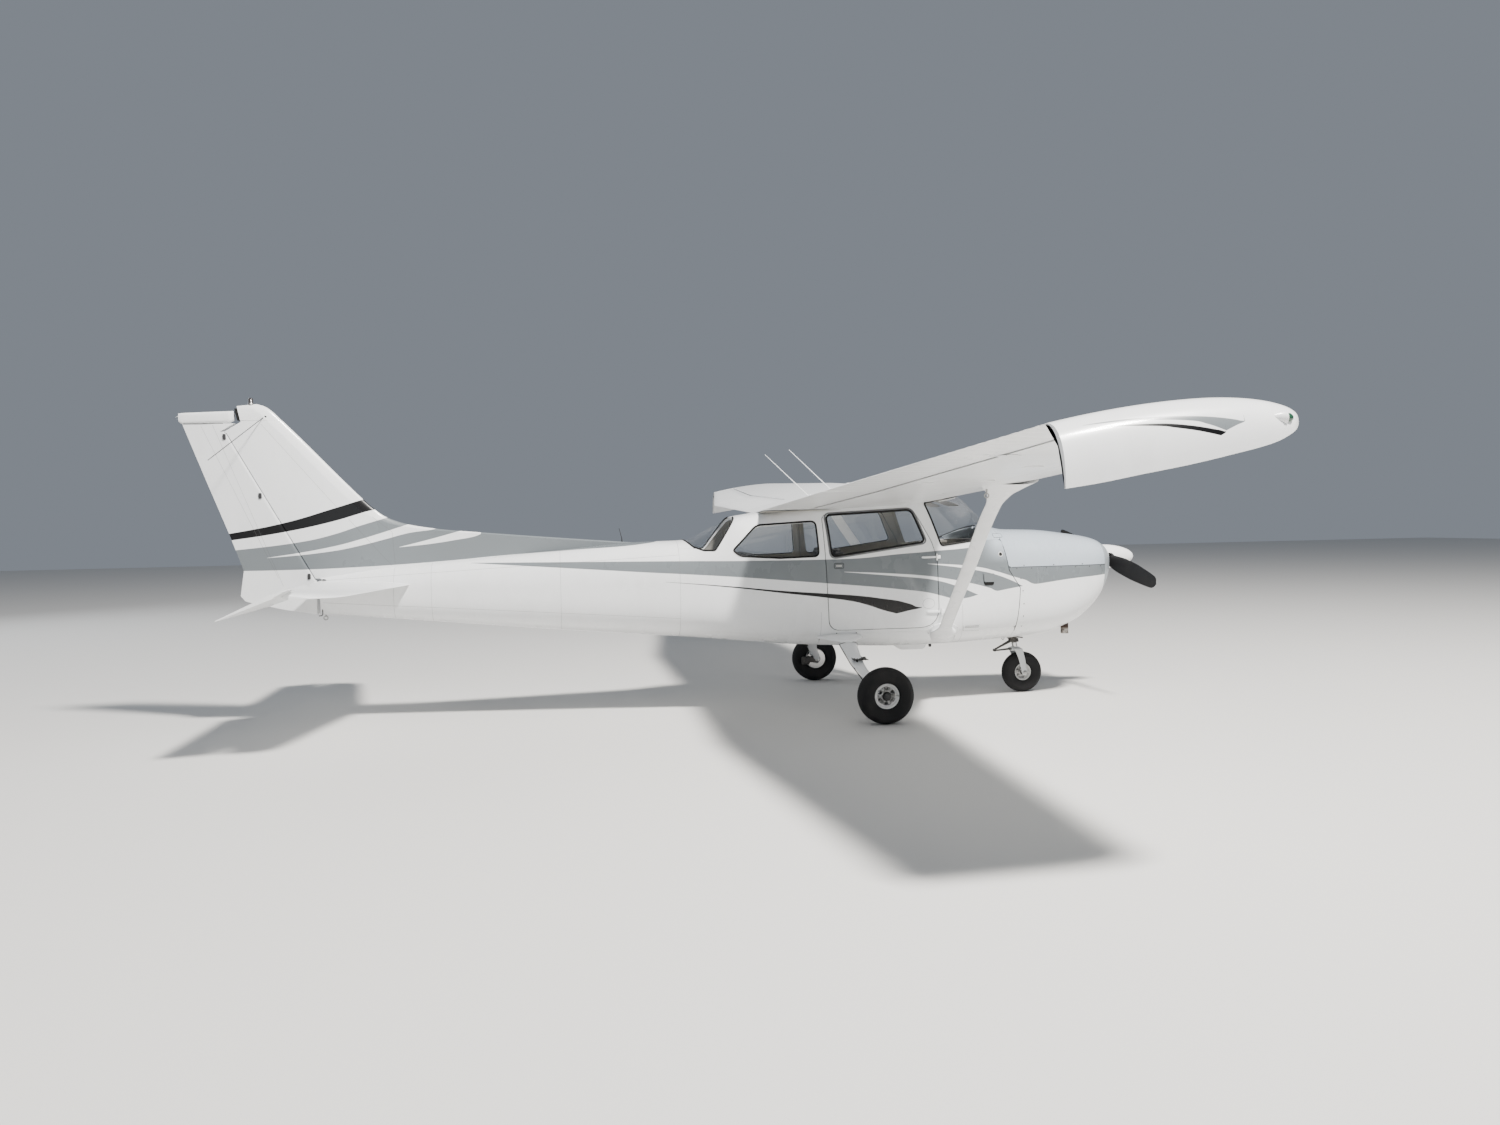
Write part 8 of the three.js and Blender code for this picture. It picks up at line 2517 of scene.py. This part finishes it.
# %% Control wheels and pedals
horns, shafts = [], []
wheel_path = np.array([[-0.134, 1.236], [-0.142, 1.200], [-0.130, 1.156], [-0.088, 1.134], [0.0, 1.130],
                       [0.088, 1.134], [0.130, 1.156], [0.142, 1.200], [0.134, 1.236]])
for centre in (0.235, -0.235):
    path = smooth(np.linspace(0, 1, 60), np.linspace(0, 1, 9), wheel_path)
    grip_size = np.interp(np.linspace(0, 1, 60), [0, 0.06, 0.25, 0.35, 0.65, 0.75, 0.94, 1],
                          [0.012, 0.0155, 0.0150, 0.012, 0.012, 0.0150, 0.0155, 0.012])
    horns.append(swept(spread(0.915, centre + path[:, 0], path[:, 1]), grip_size, 16))
    horns.append(soft_box((0.899, centre - 0.048, 1.118), (0.931, centre + 0.048, 1.172), 0.4, 18))
    shafts.append(swept([[0.925, centre, 1.150], [1.118, centre, 1.150]], 0.0125, 20))
    shafts.append(lathe([[0.024, 1.1130], [0.024, 1.1060], [0.018, 1.1020]], (0, centre, 1.150), "x", 28))
pedals = []
for y in (0.305, 0.165, -0.165, -0.305):
    pedals.append(soft_box((1.262, y - 0.040, 0.690), (1.276, y + 0.040, 0.800), 0.3, 14))
    pedals.append(swept([[1.272, y, 0.745], [1.310, y, 0.70], [1.330, y, 0.63]], 0.008, 10))
pedals.append(swept([[1.330, -0.36, 0.632], [1.330, 0.36, 0.632]], 0.010, 14))
console = joined(soft_box((1.035, -0.075, 0.640), (1.160, 0.075, 1.008), 0.25, 20),
                 soft_box((0.560, -0.060, 0.614), (1.060, 0.060, 0.660), 0.3, 18))
trim_wheel = lathe([[0.056, -0.012], [0.060, -0.008], [0.060, 0.008], [0.056, 0.012]], (1.030, 0.0, 0.870),
                   "y", 48)
lever = joined(swept([[0.900, 0.0, 0.655], [0.870, 0.0, 0.760], [0.845, 0.0, 0.850]], 0.007, 12),
               soft_box((0.828, -0.016, 0.835), (0.862, 0.016, 0.868), 0.4, 14))
for name, part, material in (("control_wheels", joined(*horns), dark_plastic),
                             ("control_shafts", joined(*shafts), polished),
                             ("rudder_pedals", joined(*pedals), bare_metal),
                             ("centre_console", console, panel_paint),
                             ("trim_wheel", joined(trim_wheel, lever), dark_plastic)):
    piece(name, part, material, slot="panel")

# %% [markdown]
# The ceiling is a stretched cloth under the wing's middle section, so its points are the wing's lower skin,
# lowered. Sun visors hang down from it. Arm rests and inner handles ride with the doors.

# %% Ceiling, visors, door fittings
y = np.linspace(-0.462, 0.462, 34)[:, None]
x = np.linspace(-0.800, 0.795, 60)[None, :]
le_x, _, te_x, _ = wing_edges(np.abs(y))
ceiling = wing_point(np.abs(y), (le_x - x) / (le_x - te_x), -1.0)
ceiling[..., 1] = y
ceiling[..., 2] -= 0.010 + 0.004 * np.abs(np.sin(np.pi * (x + 0.8) / 0.4)) ** 6
piece("ceiling_cloth", (ceiling.reshape(-1, 3), grid_faces(34, 60)), cabin_lining, wall=0.003,
      slot="white_skin")
visors = []
for centre in (0.245, -0.245):
    flat, faces = soft_box((0.0, centre - 0.150, -0.004), (0.150, centre + 0.150, 0.004), 0.25, 20)
    x, y, z = np.moveaxis(flat, -1, 0)
    visors.append((spread(0.800 + x * 0.94 + z * 0.34, y, 1.752 - x * 0.34 + z * 0.94), faces))
    visors.append(swept([[0.800, centre - 0.155, 1.752], [0.800, centre + 0.155, 1.752]], 0.005, 12))
points, faces = joined(*visors)
visor_grey = plain("visor_grey", (0.10, 0.10, 0.105), 0.5, dust=0.1)
piece("sun_visors", (points, faces), visor_grey, slot="panel")
for side, label in SIDES:
    wall_y = half_at(0.15, 1.0) - 0.030
    inner, outer_y = sorted((side * (wall_y - 0.042), side * wall_y))
    rest = soft_box((-0.100, inner, 0.985), (0.330, outer_y, 1.035), 0.35, 20)
    pull = swept([[0.400, side * wall_y, 1.120], [0.385, side * (wall_y - 0.022), 1.120],
                  [0.320, side * (wall_y - 0.024), 1.124],
                  [0.305, side * wall_y, 1.124]], 0.006, 12)
    piece("door_arm_rest_" + label, joined(rest, pull), interior_dark, body="cabin_door_" + label,
          slot="panel")
